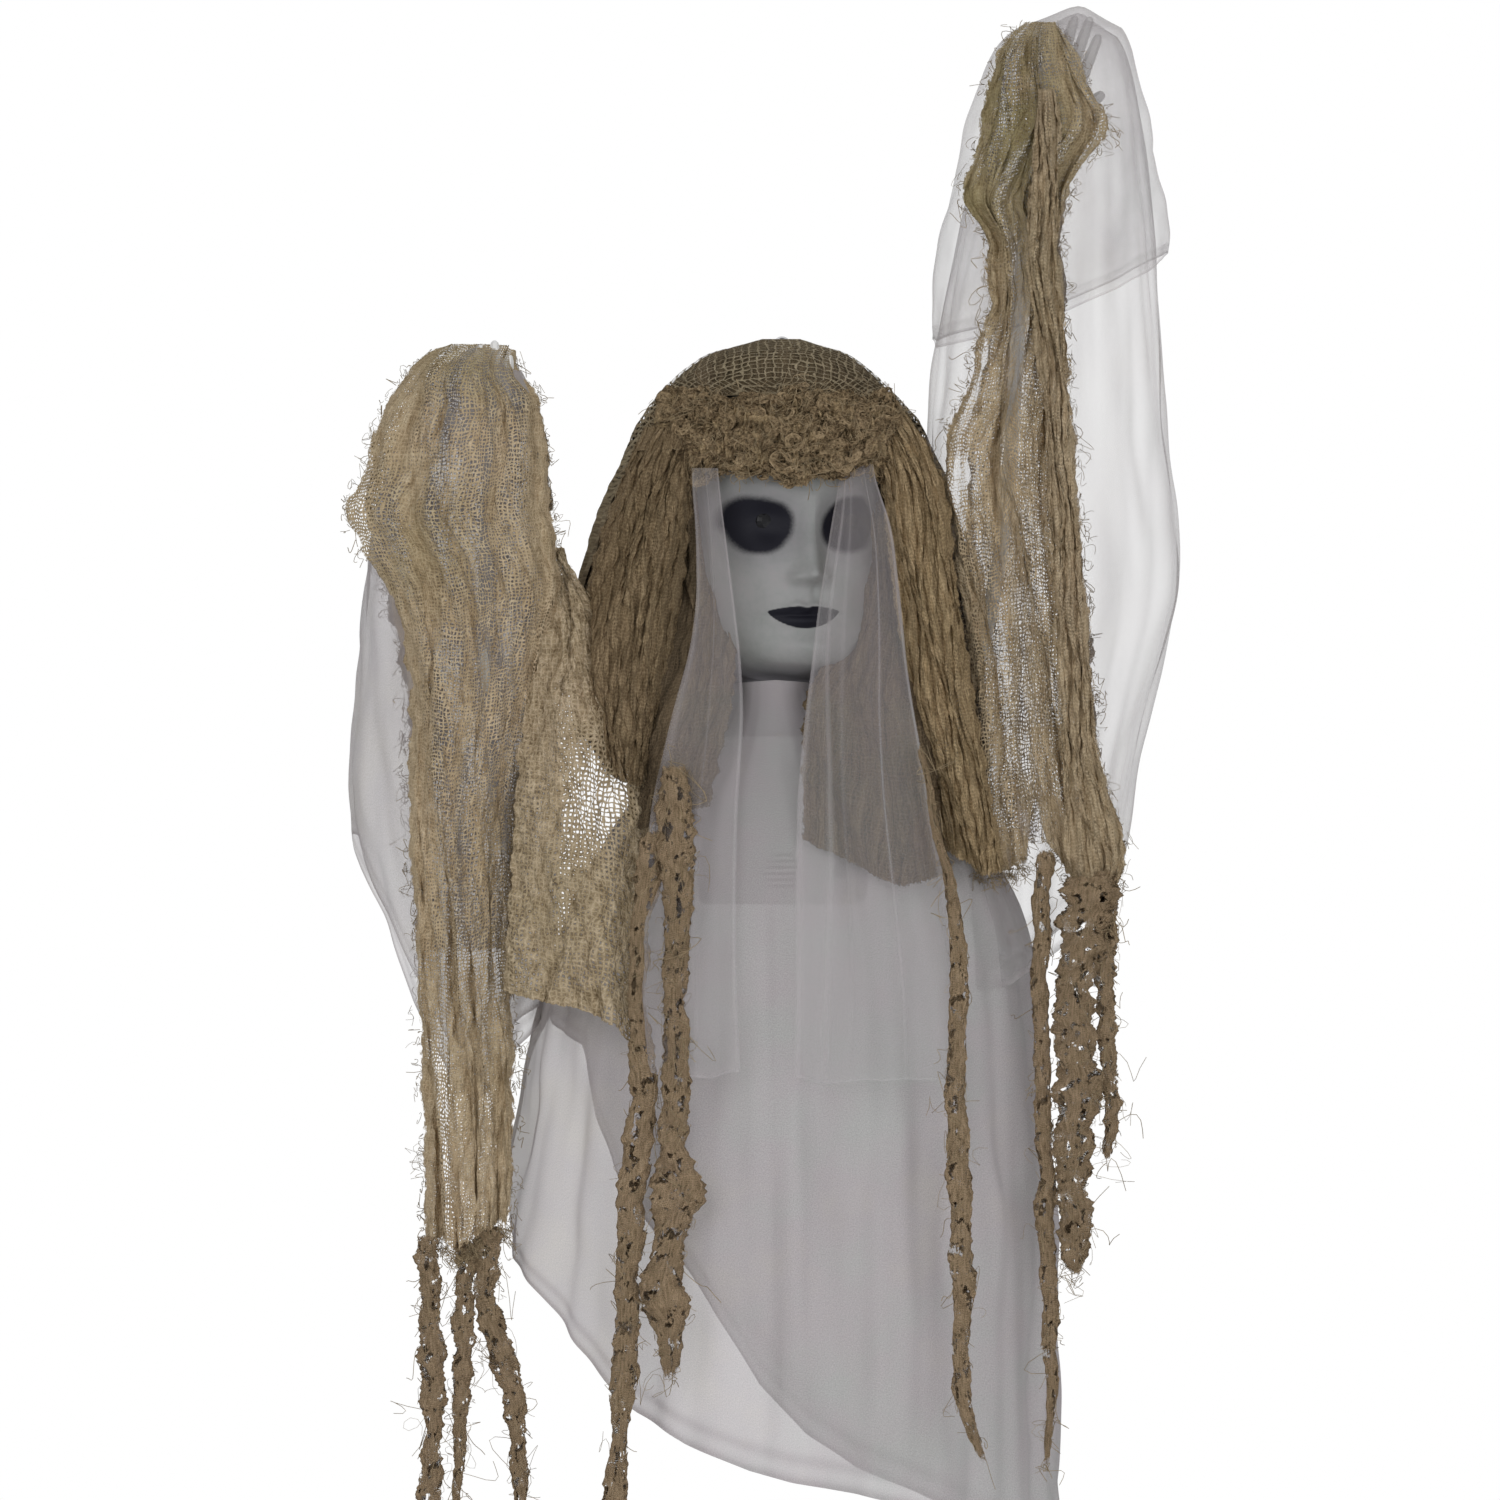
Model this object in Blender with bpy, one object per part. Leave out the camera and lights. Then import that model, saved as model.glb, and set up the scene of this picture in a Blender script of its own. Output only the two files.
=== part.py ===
"""Hanging ghost bride: a chest box that turns the head and sways two raised arms, dressed in cloth.

Metres, +Z up, the figure faces -Y. The origin is the centre of the hanging ring at the crown.
Left and right are the figure's own, so its right arm is at -X.
"""
import math

import bmesh
import bpy
import numpy as np
from mathutils import Matrix, Vector

MM = 0.001

# Clearances
SEAT_GAP = 0.3 * MM
RUN_GAP = 0.3 * MM
CUT_OVERRUN = 2 * MM

# Head
HEAD_HEIGHT = 243 * MM
HEAD_WIDTH = 155 * MM
HEAD_DEPTH = 195 * MM
HEAD_WALL = 2.5 * MM
CROWN_DROP = 10 * MM
NECK_RADIUS = 44 * MM
NECK_LENGTH = 44 * MM
HEAD_TURN = math.radians(16)
EYE_RADIUS = 11 * MM
SOCKET_DEPTH = 9 * MM
NOSE_HEIGHT = 20 * MM
LIP_HEIGHT = 5 * MM

# Hanging ring and rod
RING_RADIUS = 5.5 * MM
RING_WIRE = 1.5 * MM
ROD_RADIUS = 3 * MM

# Chest box
BOX_WIDTH = 136 * MM
BOX_HEIGHT = 134 * MM
BOX_FRONT = 38 * MM
BOX_BACK = 42 * MM
BOX_WALL = 2 * MM
BOX_CORNER = 10 * MM
COVER_DEPTH = 12 * MM
NECK_TO_BOX = 16 * MM
BOSS_RADIUS = 3.5 * MM
BOSS_INSET = 8 * MM

# Drive
GEAR_CLEARANCE = 3.625 * MM
GEAR_TEETH = 24
PINION_TEETH = 10
GEAR_THICK = 6 * MM
GEAR_FRONT = 13 * MM
AXLE_DROP = 60 * MM
AXLE_RADIUS = 2.5 * MM
BUSH_WALL = 2 * MM
BUSH_FLANGE = 1.5 * MM
HEAD_MODULE = 1.5 * MM
HEAD_TEETH = 24
HEAD_PINION_TEETH = 8
HEAD_GEAR_THICK = 5 * MM
BACKLASH = 0.3 * MM
NECK_TUBE_RADIUS = 12 * MM
NECK_TUBE_WALL = 2 * MM
NECK_TUBE_RISE = 60 * MM
FLANGE_THICK = 3 * MM
HUB_RADIUS = 9 * MM
HUB_THICK = 14 * MM
MOTOR_SIDE = 26 * MM
HEAD_MOTOR_SIDE = 20 * MM
HEAD_MOTOR_HEIGHT = 26 * MM
SHAFT_RADIUS = 2 * MM
SHAFT_SEAT = 4 * MM
BAR_HEIGHT = 8 * MM
BAR_DEPTH = 12 * MM
SCREW_RADIUS = 1.5 * MM
SCREW_HEAD = 2.8 * MM
SCREW_HEAD_THICK = 1.8 * MM
SCREW_LENGTH = 10 * MM
EDGE_BEVEL = 1 * MM

# Electrics
SPEAKER_RADIUS = 18 * MM
SPEAKER_DEPTH = 10 * MM
SPEAKER_DROP = 107 * MM
SLOT_WIDTH = 2.4 * MM
SLOT_PITCH = 5 * MM
SLOT_COUNT = 6
BOARD_HEIGHT = 34 * MM
BOARD_THICK = 1.6 * MM
CHIP_HEIGHT = 3 * MM
LENS_RADIUS = 6 * MM
LENS_EDGE = 22 * MM
CELL_RADIUS = 7.2 * MM
CELL_LENGTH = 50 * MM
CELL_COUNT = 3
CELL_PITCH = 15 * MM
TRAY_WALL = 1.5 * MM
CONTACT_THICK = 0.5 * MM
DOOR_THICK = 2 * MM
DOOR_EDGE = 13 * MM
SWITCH_WIDTH = 6 * MM
SWITCH_HEIGHT = 4 * MM
SWITCH_TRAVEL = 4 * MM
SWITCH_EDGE = 20 * MM
SWITCH_DROP = 24 * MM
SWITCH_PROUD = 2.5 * MM

# Arms
ARM_RADIUS = 6 * MM
HAND_LENGTH = 112 * MM
HAND_WIDTH = 44 * MM
HAND_THICK = 17 * MM
FINGER_RADIUS = 5.5 * MM

# Cloth
PATTERN = 100 * MM
CLOTH = 1.6 * MM
LAYER_GAP = 5 * MM
TIP_STEP = 1.9 * MM
ROBE_SHIFT = 4 * MM
ROBE_FOLD = 9 * MM
ROBE_PLEATS = 9
HEM_SLANT_SHARE = 0.6
HOOD_FOLD = 4 * MM
SLEEVE_FOLD = 4 * MM
VEIL_FOLD = 4 * MM
BAND_HEIGHT = 70 * MM
BAND_THICK = 32 * MM
BAND_REACH = math.radians(50)
BAND_STEPS = 24
BAND_SINK = 0.9 * MM
STRIP_LENGTH = 340 * MM

# Colours (base colour, roughness, metallic)
FINISHES = {
    "white_plastic": ((0.62, 0.63, 0.66), 0.45, 0.0),
    "black_eye": ((0.02, 0.02, 0.03), 0.25, 0.0),
    "grey_plastic": ((0.12, 0.12, 0.13), 0.5, 0.0),
    "steel": ((0.55, 0.55, 0.56), 0.35, 1.0),
    "brass": ((0.66, 0.50, 0.24), 0.35, 1.0),
    "gear_plastic": ((0.80, 0.79, 0.74), 0.45, 0.0),
    "board_green": ((0.04, 0.22, 0.09), 0.5, 0.0),
    "cell_jacket": ((0.10, 0.12, 0.16), 0.4, 0.0),
    "sheer": ((0.70, 0.69, 0.70), 0.85, 0.0),
    "gauze": ((0.27, 0.21, 0.14), 0.95, 0.0),
}

# Places worked out from the sizes above
EYE_SPACING = HEAD_WIDTH * 0.413
GEAR_MODULE = (BOX_WIDTH / 2 - BOX_WALL - GEAR_CLEARANCE) / (GEAR_TEETH + 0.95)
CROWN_Z = -CROWN_DROP
CHIN_Z = CROWN_Z - HEAD_HEIGHT
NECK_Z = CHIN_Z - NECK_LENGTH
BOX_TOP = NECK_Z - NECK_TO_BOX
BOX_BOTTOM = BOX_TOP - BOX_HEIGHT
BOX_MIDDLE = (BOX_TOP + BOX_BOTTOM) / 2
AXLE_Z = BOX_TOP - AXLE_DROP
AXLE_X = GEAR_MODULE * GEAR_TEETH / 2
PINION_Z = AXLE_Z - GEAR_MODULE * (GEAR_TEETH + PINION_TEETH) / 2
HEAD_PINION_Y = HEAD_MODULE * (HEAD_TEETH + HEAD_PINION_TEETH) / 2
HEAD_GEAR_TOP = BOX_TOP - BOX_WALL - RUN_GAP - BUSH_FLANGE
HEAD_GEAR_LOW = HEAD_GEAR_TOP - HEAD_GEAR_THICK
BAR_TOP = HEAD_GEAR_LOW - RUN_GAP - ROD_RADIUS
INNER_BACK = BOX_BACK - BOX_WALL
INNER_FRONT = BOX_FRONT - BOX_WALL
INNER_SIDE = BOX_WIDTH / 2 - BOX_WALL
COVER_RIM = BOX_FRONT - COVER_DEPTH
GEAR_BACK_Y = -GEAR_FRONT + GEAR_THICK
HUB_Y = BOX_BACK + BUSH_FLANGE + RUN_GAP
RING_LOW = -RING_RADIUS - RING_WIRE
HEAD_HOLE = ROD_RADIUS + 2 * RUN_GAP
ROBE_TOP = BOX_TOP + SEAT_GAP + CLOTH / 2
HOOD_BROW_SHARE = 2.655
HOOD_TOP = RING_RADIUS + RING_WIRE + SEAT_GAP + CLOTH
BAND_Z = CROWN_Z - HEAD_HEIGHT * 0.26
BAND_LOW = BAND_Z - BAND_HEIGHT * 0.58


def clear_scene():
    for item in list(bpy.data.objects):
        bpy.data.objects.remove(item, do_unlink=True)


def make_finish(name):
    """One Principled material from the table of finishes."""
    if name in bpy.data.materials:
        return bpy.data.materials[name]
    colour, rough, metal = FINISHES[name]
    finish = bpy.data.materials.new(name)
    finish.use_nodes = True
    shader = finish.node_tree.nodes["Principled BSDF"]
    shader.inputs["Base Color"].default_value = (*colour, 1)
    shader.inputs["Roughness"].default_value = rough
    shader.inputs["Metallic"].default_value = metal
    finish.diffuse_color = (*colour, 1)
    return finish


def add_object(name, mesh, finish, origin=(0, 0, 0), smooth=True):
    """Link a mesh given in world places, with its origin moved to the given point."""
    mesh.transform(Matrix.Translation(-Vector(origin)))
    part = bpy.data.objects.new(name, mesh)
    part.location = origin
    bpy.context.collection.objects.link(part)
    mesh.materials.append(make_finish(finish))
    if smooth:
        mesh.shade_smooth()
        mesh.set_sharp_from_angle(angle=math.radians(35))
    return part


def mesh_from(name, points, faces):
    """A mesh with its doubles merged and its faces pointing out."""
    mesh = bpy.data.meshes.new(name)
    shape = bmesh.new()
    corners = [shape.verts.new(point) for point in points]
    for face in faces:
        if len(set(face)) > 2:
            shape.faces.new([corners[index] for index in face])
    bmesh.ops.remove_doubles(shape, verts=shape.verts, dist=MM / 1000)
    bmesh.ops.dissolve_degenerate(shape, edges=shape.edges, dist=MM / 1000)
    bmesh.ops.recalc_face_normals(shape, faces=shape.faces)
    shape.to_mesh(mesh)
    shape.free()
    return mesh


def loft_mesh(name, loops, capped=True, joined=False):
    """Skin a list of equal loops; capped closes both ends, joined ties the last loop to the first."""
    count = len(loops[0])
    points = [tuple(point) for loop in loops for point in loop]
    faces = []
    last = len(loops) if joined else len(loops) - 1
    for row in range(last):
        low, high = row * count, (row + 1) % len(loops) * count
        for step in range(count):
            after = (step + 1) % count
            faces.append((low + step, low + after, high + after, high + step))
    if capped and not joined:
        faces.append(tuple(range(count)))
        faces.append(tuple((len(loops) - 1) * count + step for step in range(count)))
    return mesh_from(name, points, faces)


def turned_mesh(name, profile, centre, axis, sides):
    """Turn a closed profile of (radius, distance along the axis) pairs about an axis."""
    turn = Vector((0, 0, 1)).rotation_difference(Vector(axis)).to_matrix()
    loops = []
    for radius, along in profile:
        loop = []
        for step in range(sides):
            angle = math.tau * step / sides
            spot = Vector((radius * math.cos(angle), radius * math.sin(angle), along))
            loop.append(turn @ spot + Vector(centre))
        loops.append(loop)
    hollow = min(radius for radius, along in profile) > 0
    return loft_mesh(name, loops, capped=False, joined=hollow)


def solid_profile(radius, low, high):
    return [(0, low), (radius, low), (radius, high), (0, high)]


def tube_profile(inner, outer, low, high):
    return [(inner, low), (outer, low), (outer, high), (inner, high)]


def box_mesh(name, low, high):
    """A block between two opposite corners."""
    loops = [[(low[0], low[1], z), (high[0], low[1], z), (high[0], high[1], z), (low[0], high[1], z)]
             for z in (low[2], high[2])]
    return loft_mesh(name, loops)


def rounded_loop(width, height, radius, centre, y):
    """A rounded rectangle in the XZ plane at depth y."""
    loop = []
    steps = 4
    for corner in range(4):
        side = 1 if corner in (0, 3) else -1
        rise = 1 if corner in (0, 1) else -1
        for step in range(steps + 1):
            angle = math.pi / 2 * (corner + step / steps)
            loop.append((centre[0] + side * (width / 2 - radius) + radius * math.cos(angle), y,
                         centre[1] + rise * (height / 2 - radius) + radius * math.sin(angle)))
    return loop


def combine(part, tool_mesh, operation):
    """Cut a tool out of a part, or join it on, with an exact Boolean."""
    tool = bpy.data.objects.new(f"{part.name}_{operation.lower()}_{len(part.modifiers)}", tool_mesh)
    bpy.context.collection.objects.link(tool)
    tool.hide_render = True
    tool.display_type = "WIRE"
    change = part.modifiers.new(operation.title(), "BOOLEAN")
    change.operation = operation
    change.solver = "EXACT"
    change.object = tool
    return part


def cut(part, tool_mesh):
    return combine(part, tool_mesh, "DIFFERENCE")


def join(part, tool_mesh):
    return combine(part, tool_mesh, "UNION")


def bevel_edges(part, width):
    softened = part.modifiers.new("Bevel", "BEVEL")
    softened.width = width
    softened.segments = 2
    softened.limit_method = "ANGLE"
    return part


def smooth_rows(table, places):
    """Read a table of rows at fractional places, along a smooth curve through the rows."""
    table = np.asarray(table, float)
    places = np.clip(places, 0, len(table) - 1)
    start = np.minimum(places.astype(int), len(table) - 2)
    share = (places - start)[..., None]
    before = table[np.maximum(start - 1, 0)]
    first, second = table[start], table[start + 1]
    after = table[np.minimum(start + 2, len(table) - 1)]
    return 0.5 * (2 * first + (second - before) * share
                  + (2 * before - 5 * first + 4 * second - after) * share ** 2
                  + (3 * (first - second) + after - before) * share ** 3)


def hill(value, centre, width):
    """A smooth hill, 1 at its centre."""
    return np.exp(-((value - centre) / width) ** 2)


# Head rings from the chin's underside to the crown:
# front height, front reach, back height, back reach, half width. Heights are shares of the head's
# height below the crown, reaches of its depth, widths of half its width.
HEAD_RING_SHARES = (
    (1.06, -0.235, 0.93, 0.245, 0.64),
    (1.035, -0.34, 0.86, 0.27, 0.70),
    (1.01, -0.435, 0.79, 0.31, 0.76),
    (0.965, -0.470, 0.73, 0.35, 0.81),
    (0.90, -0.462, 0.67, 0.39, 0.86),
    (0.83, -0.470, 0.62, 0.42, 0.90),
    (0.75, -0.466, 0.57, 0.45, 0.935),
    (0.66, -0.462, 0.51, 0.475, 0.965),
    (0.56, -0.455, 0.45, 0.49, 0.985),
    (0.46, -0.470, 0.38, 0.50, 1.0),
    (0.34, -0.470, 0.30, 0.495, 0.995),
    (0.22, -0.435, 0.21, 0.465, 0.945),
    (0.12, -0.370, 0.12, 0.40, 0.83),
    (0.05, -0.265, 0.05, 0.29, 0.62),
    (0.012, -0.145, 0.012, 0.16, 0.35),
)
BACK_COLUMNS = 11
EYE_LINE_SHARE = 0.545
EYE_Z = CROWN_Z - HEAD_HEIGHT * EYE_LINE_SHARE
NOSE_TIP_SHARE = 0.70
NOSE_ROOT_SHARE = 0.50
MOUTH_SHARE = 0.835


def head_rings():
    """The ring table in metres, with the neck and the rod hole in the crown added."""
    half = HEAD_WIDTH / 2
    rows = [(NECK_Z, -NECK_RADIUS, NECK_Z, NECK_RADIUS, NECK_RADIUS),
            (CHIN_Z - NECK_LENGTH / 2, -NECK_RADIUS, CHIN_Z, NECK_RADIUS, NECK_RADIUS)]
    for front_z, front_y, back_z, back_y, wide in HEAD_RING_SHARES:
        rows.append((CROWN_Z - HEAD_HEIGHT * front_z, HEAD_DEPTH * front_y,
                     CROWN_Z - HEAD_HEIGHT * back_z, HEAD_DEPTH * back_y, half * wide))
    rows.append((CROWN_Z, -HEAD_HOLE, CROWN_Z, HEAD_HOLE, HEAD_HOLE))
    return rows


def head_points(angle, place):
    """The straight head's surface: rings leaning from front to back, with the features raised on it.

    The angle runs around from 0 at the front to pi at the back, the place along the ring table.
    """
    rows = smooth_rows(head_rings(), place)
    front_z, front_y, back_z, back_y, half = (rows[..., index] for index in range(5))
    across = np.sin(angle)
    toward = np.cos(angle)
    flat = 1 - 0.10 * np.abs(across * toward) * 2 * (half > NECK_RADIUS * 1.05)
    x = half * across / flat ** 0.5
    y = (front_y + back_y) / 2 + (front_y - back_y) / 2 * toward
    z = (front_z + back_z) / 2 + (front_z - back_z) / 2 * toward
    drop = (CROWN_Z - z) / HEAD_HEIGHT
    side = np.abs(x) / HEAD_WIDTH
    facing = np.clip(toward, 0, 1) ** 0.5
    eye = EYE_SPACING / 2 / HEAD_WIDTH
    nose_run = np.clip((drop - NOSE_ROOT_SHARE) / (NOSE_TIP_SHARE - NOSE_ROOT_SHARE), 0, 1)
    nose_end = hill(np.maximum(drop, NOSE_TIP_SHARE), NOSE_TIP_SHARE, 0.028)
    nose = NOSE_HEIGHT * nose_run ** 1.2 * nose_end * hill(side, 0, 0.045 + 0.03 * nose_run)
    socket = SOCKET_DEPTH * hill(side, eye, 0.105) * hill(drop, EYE_LINE_SHARE, 0.062)
    brow = SOCKET_DEPTH / 4 * hill(side, eye, 0.12) * hill(drop, EYE_LINE_SHARE - 0.11, 0.04)
    cheek = SOCKET_DEPTH / 3 * hill(side, 0.27, 0.10) * hill(drop, 0.68, 0.07)
    lips = LIP_HEIGHT * hill(side, 0, 0.13) * (hill(drop, MOUTH_SHARE - 0.021, 0.016)
                                               + hill(drop, MOUTH_SHARE + 0.026, 0.020))
    chin = LIP_HEIGHT * hill(side, 0, 0.12) * hill(drop, 0.955, 0.04)
    y = y - facing * (nose + brow + cheek + lips + chin - socket)
    return np.stack([x, y, z], axis=-1)


def surface_normals(shape, first, second):
    """Unit normals of a surface function by small steps along its two parameters."""
    step = 1e-3
    along = shape(first + step, second) - shape(first - step, second)
    up = shape(first, second + step) - shape(first, second - step)
    normal = np.cross(along, up)
    return normal / np.maximum(np.linalg.norm(normal, axis=-1, keepdims=True), 1e-12)


def shell_mesh(name, outer, inner, around=False):
    """Close two matching grids of points into one thin body; around ties the last column to the first."""
    rows, columns = outer.shape[:2]
    points = [tuple(point) for point in np.concatenate([outer.reshape(-1, 3), inner.reshape(-1, 3)])]
    skin = rows * columns
    faces = []
    last = columns if around else columns - 1
    for row in range(rows - 1):
        for column in range(last):
            beside = (column + 1) % columns
            ring = (row * columns + column, row * columns + beside,
                    (row + 1) * columns + beside, (row + 1) * columns + column)
            faces.append(ring)
            faces.append(tuple(skin + index for index in reversed(ring)))
    rims = [[column for column in range(columns)],
            [(rows - 1) * columns + column for column in range(columns)]]
    for edge in rims:
        pairs = zip(edge, edge[1:] + edge[:1]) if around else zip(edge, edge[1:])
        faces += [(first, second, skin + second, skin + first) for first, second in pairs]
    if not around:
        for column in (0, columns - 1):
            edge = [row * columns + column for row in range(rows)]
            faces += [(first, second, skin + second, skin + first) for first, second in zip(edge, edge[1:])]
    return mesh_from(name, points, faces)


def cloth_mesh(name, grid, around=False):
    """Give a grid of points the cloth's thickness, half to each side."""
    padded = np.concatenate([grid[:, -1:], grid, grid[:, :1]], axis=1) if around else grid
    along = np.gradient(padded, axis=1)
    down = np.gradient(padded, axis=0)
    normal = np.cross(along, down)
    length = np.linalg.norm(normal, axis=-1, keepdims=True)
    normal = normal / np.maximum(length, 1e-12)
    if around:
        normal = normal[:, 1:-1]
    return shell_mesh(name, grid + normal * CLOTH / 2, grid - normal * CLOTH / 2, around)


def make_head_shells(pivot):
    """The face mask and the back of the skull, two shells that meet at the ears."""
    rings = len(head_rings()) - 1
    seam = RUN_GAP / HEAD_WIDTH
    front = np.linspace(-1, 1, 23)
    front = (math.pi / 2 - seam) * (0.62 * front + 0.38 * front ** 3)
    back = np.linspace(math.pi / 2 + seam, math.pi * 3 / 2 - seam, BACK_COLUMNS)
    places = np.array([0, 1, 2, 3, 4, 4.6, 5.3, 5.9, 6.4, 6.9, 7.4, 7.9, 8.4, 8.9, 9.3, 9.7, 10.1, 10.5,
                       11, 11.6, 12.4, 13.3, 14.2, 15.1, 16, rings])
    for name, angles in (("face_mask", front), ("skull_back", back)):
        angle, place = np.meshgrid(angles, places)
        outer = head_points(angle, place)
        normal = surface_normals(head_points, angle, np.clip(place, 1e-3, rings - 2e-3))
        outward = np.sign(np.sum(normal * (outer - outer.mean(axis=(0, 1))), axis=-1).mean())
        inner = outer - outward * normal * HEAD_WALL
        inner[0, :, 2] = outer[0, :, 2]
        mesh = shell_mesh(name, outer, inner)
        part = add_object(name, mesh, "white_plastic")
        part.parent = pivot
        if name == "face_mask":
            for side in (-1, 1):
                start = (side * EYE_SPACING / 2, -HEAD_DEPTH / 4 - HEAD_DEPTH / 32, EYE_Z)
                hole = turned_mesh("eye_hole", solid_profile(EYE_RADIUS, 0, HEAD_DEPTH / 4), start, (0, -1, 0), 16)
                hole.transform(pivot.matrix_basis)
                cut(part, hole)


def face_front(x, z):
    """How far forward the straight face stands at a place, read from its surface."""
    angle, place = np.meshgrid(np.linspace(-1.2, 1.2, 161), np.linspace(2, len(head_rings()) - 2, 241))
    points = head_points(angle, place)
    miss = (points[..., 0] - x) ** 2 + (points[..., 2] - z) ** 2
    return points.reshape(-1, 3)[miss.argmin(), 1]


def make_eyes(pivot):
    """Domed eyes seated in the sockets' holes."""
    radius = EYE_RADIUS - SEAT_GAP
    dome = radius / 3
    for name, side in (("right_eye", -1), ("left_eye", 1)):
        front = -face_front(side * EYE_SPACING / 2, EYE_Z)
        profile = [(0, front - EYE_RADIUS / 2), (radius, front - EYE_RADIUS / 2), (radius, front - dome / 2),
                   (radius * 0.92, front), (radius * 0.6, front + dome * 0.6), (0, front + dome)]
        mesh = turned_mesh(name, profile, (side * EYE_SPACING / 2, 0, EYE_Z), (0, -1, 0), 16)
        add_object(name, mesh, "black_eye").parent = pivot


def make_neck(pivot):
    """The tube that turns the head, with the flange that holds the neck and the gear below it."""
    tube_low = HEAD_GEAR_LOW
    flange_z = NECK_Z + HEAD_WALL
    inner = NECK_TUBE_RADIUS - NECK_TUBE_WALL
    flat = math.cos(math.pi / 2 / (BACK_COLUMNS - 1))
    neck_inner = (NECK_RADIUS - HEAD_WALL) * flat - SEAT_GAP
    profile = [(inner, tube_low), (NECK_TUBE_RADIUS, tube_low), (NECK_TUBE_RADIUS, flange_z),
               (neck_inner, flange_z), (neck_inner, flange_z + FLANGE_THICK),
               (NECK_TUBE_RADIUS, flange_z + FLANGE_THICK), (NECK_TUBE_RADIUS, flange_z + NECK_TUBE_RISE),
               (inner, flange_z + NECK_TUBE_RISE)]
    mesh = turned_mesh("neck_tube", profile, (0, 0, 0), (0, 0, 1), 24)
    add_object("neck_tube", mesh, "grey_plastic").parent = pivot
    bush = tube_profile(NECK_TUBE_RADIUS + RUN_GAP, NECK_TUBE_RADIUS + RUN_GAP + BUSH_WALL,
                        BOX_TOP - BOX_WALL - BUSH_FLANGE, BOX_TOP + BUSH_FLANGE)
    add_object("neck_bush", turned_mesh("neck_bush", bush, (0, 0, 0), (0, 0, 1), 24), "brass")


def gear_outline(teeth, module, turn):
    """A toothed outline: each tooth rises from the root on two rounded flanks to a narrow tip."""
    pitch = module * teeth / 2
    root, tip = pitch - 1.2 * module, pitch + 0.95 * module
    quarter = math.tau / teeth / 4 - BACKLASH / 2 / pitch
    flank = math.tan(math.radians(20))
    outline = []
    for tooth in range(teeth):
        middle = turn + math.tau * tooth / teeth
        wide = quarter + (pitch - root) * flank / pitch * 0.8
        narrow = quarter - (tip - pitch) * flank / pitch * 1.15
        for radius, offset in ((root, -wide), (pitch, -quarter), (tip, -narrow),
                               (tip, narrow), (pitch, quarter), (root, wide)):
            outline.append((radius * math.cos(middle + offset), radius * math.sin(middle + offset)))
    return outline


def gear_mesh(name, teeth, module, thick, centre, axis, turn):
    """A spur gear between two planes along its axis."""
    way = Vector((0, 0, 1)).rotation_difference(Vector(axis)).to_matrix()
    loops = [[way @ Vector((x, y, along)) + Vector(centre) for x, y in gear_outline(teeth, module, turn)]
             for along in (0, thick)]
    return loft_mesh(name, loops)


def make_head_drive(pivot):
    """Head gear on the neck tube, its pinion and the small motor that turns it."""
    gear = gear_mesh("head_gear", HEAD_TEETH, HEAD_MODULE, HEAD_GEAR_THICK - SEAT_GAP,
                     (0, 0, HEAD_GEAR_LOW), (0, 0, 1), math.pi / 2 - HEAD_TURN)
    part = add_object("head_gear", gear, "gear_plastic", smooth=False)
    part.parent = pivot
    hole = NECK_TUBE_RADIUS + SEAT_GAP
    tool = turned_mesh("hole", solid_profile(hole, HEAD_GEAR_LOW - CUT_OVERRUN, HEAD_GEAR_TOP + CUT_OVERRUN),
                       (0, 0, 0), (0, 0, 1), 24)
    cut(part, tool)
    place = (0, HEAD_PINION_Y, HEAD_GEAR_LOW)
    turn = -math.pi / 2 + math.pi / HEAD_PINION_TEETH
    pinion = gear_mesh("head_pinion", HEAD_PINION_TEETH, HEAD_MODULE, HEAD_GEAR_THICK - SEAT_GAP,
                       place, (0, 0, 1), turn)
    part = add_object("head_pinion", pinion, "gear_plastic", place, smooth=False)
    motor_top = HEAD_GEAR_LOW - RUN_GAP - SHAFT_RADIUS
    shaft_low = motor_top - SHAFT_SEAT
    join(part, turned_mesh("shaft", solid_profile(SHAFT_RADIUS, shaft_low, HEAD_GEAR_LOW + HEAD_GEAR_THICK / 2),
                           (0, HEAD_PINION_Y, 0), (0, 0, 1), 12))
    half = HEAD_MOTOR_SIDE / 2
    low = (-half, HEAD_PINION_Y - half, motor_top - HEAD_MOTOR_HEIGHT)
    high = (half, INNER_BACK - SEAT_GAP, motor_top)
    motor = bevel_edges(add_object("head_motor", box_mesh("head_motor", low, high), "grey_plastic"), EDGE_BEVEL)
    cut(motor, turned_mesh("bore", solid_profile(SHAFT_RADIUS + RUN_GAP, shaft_low - RUN_GAP,
                                                 motor_top + CUT_OVERRUN),
                           (0, HEAD_PINION_Y, 0), (0, 0, 1), 12))


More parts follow.
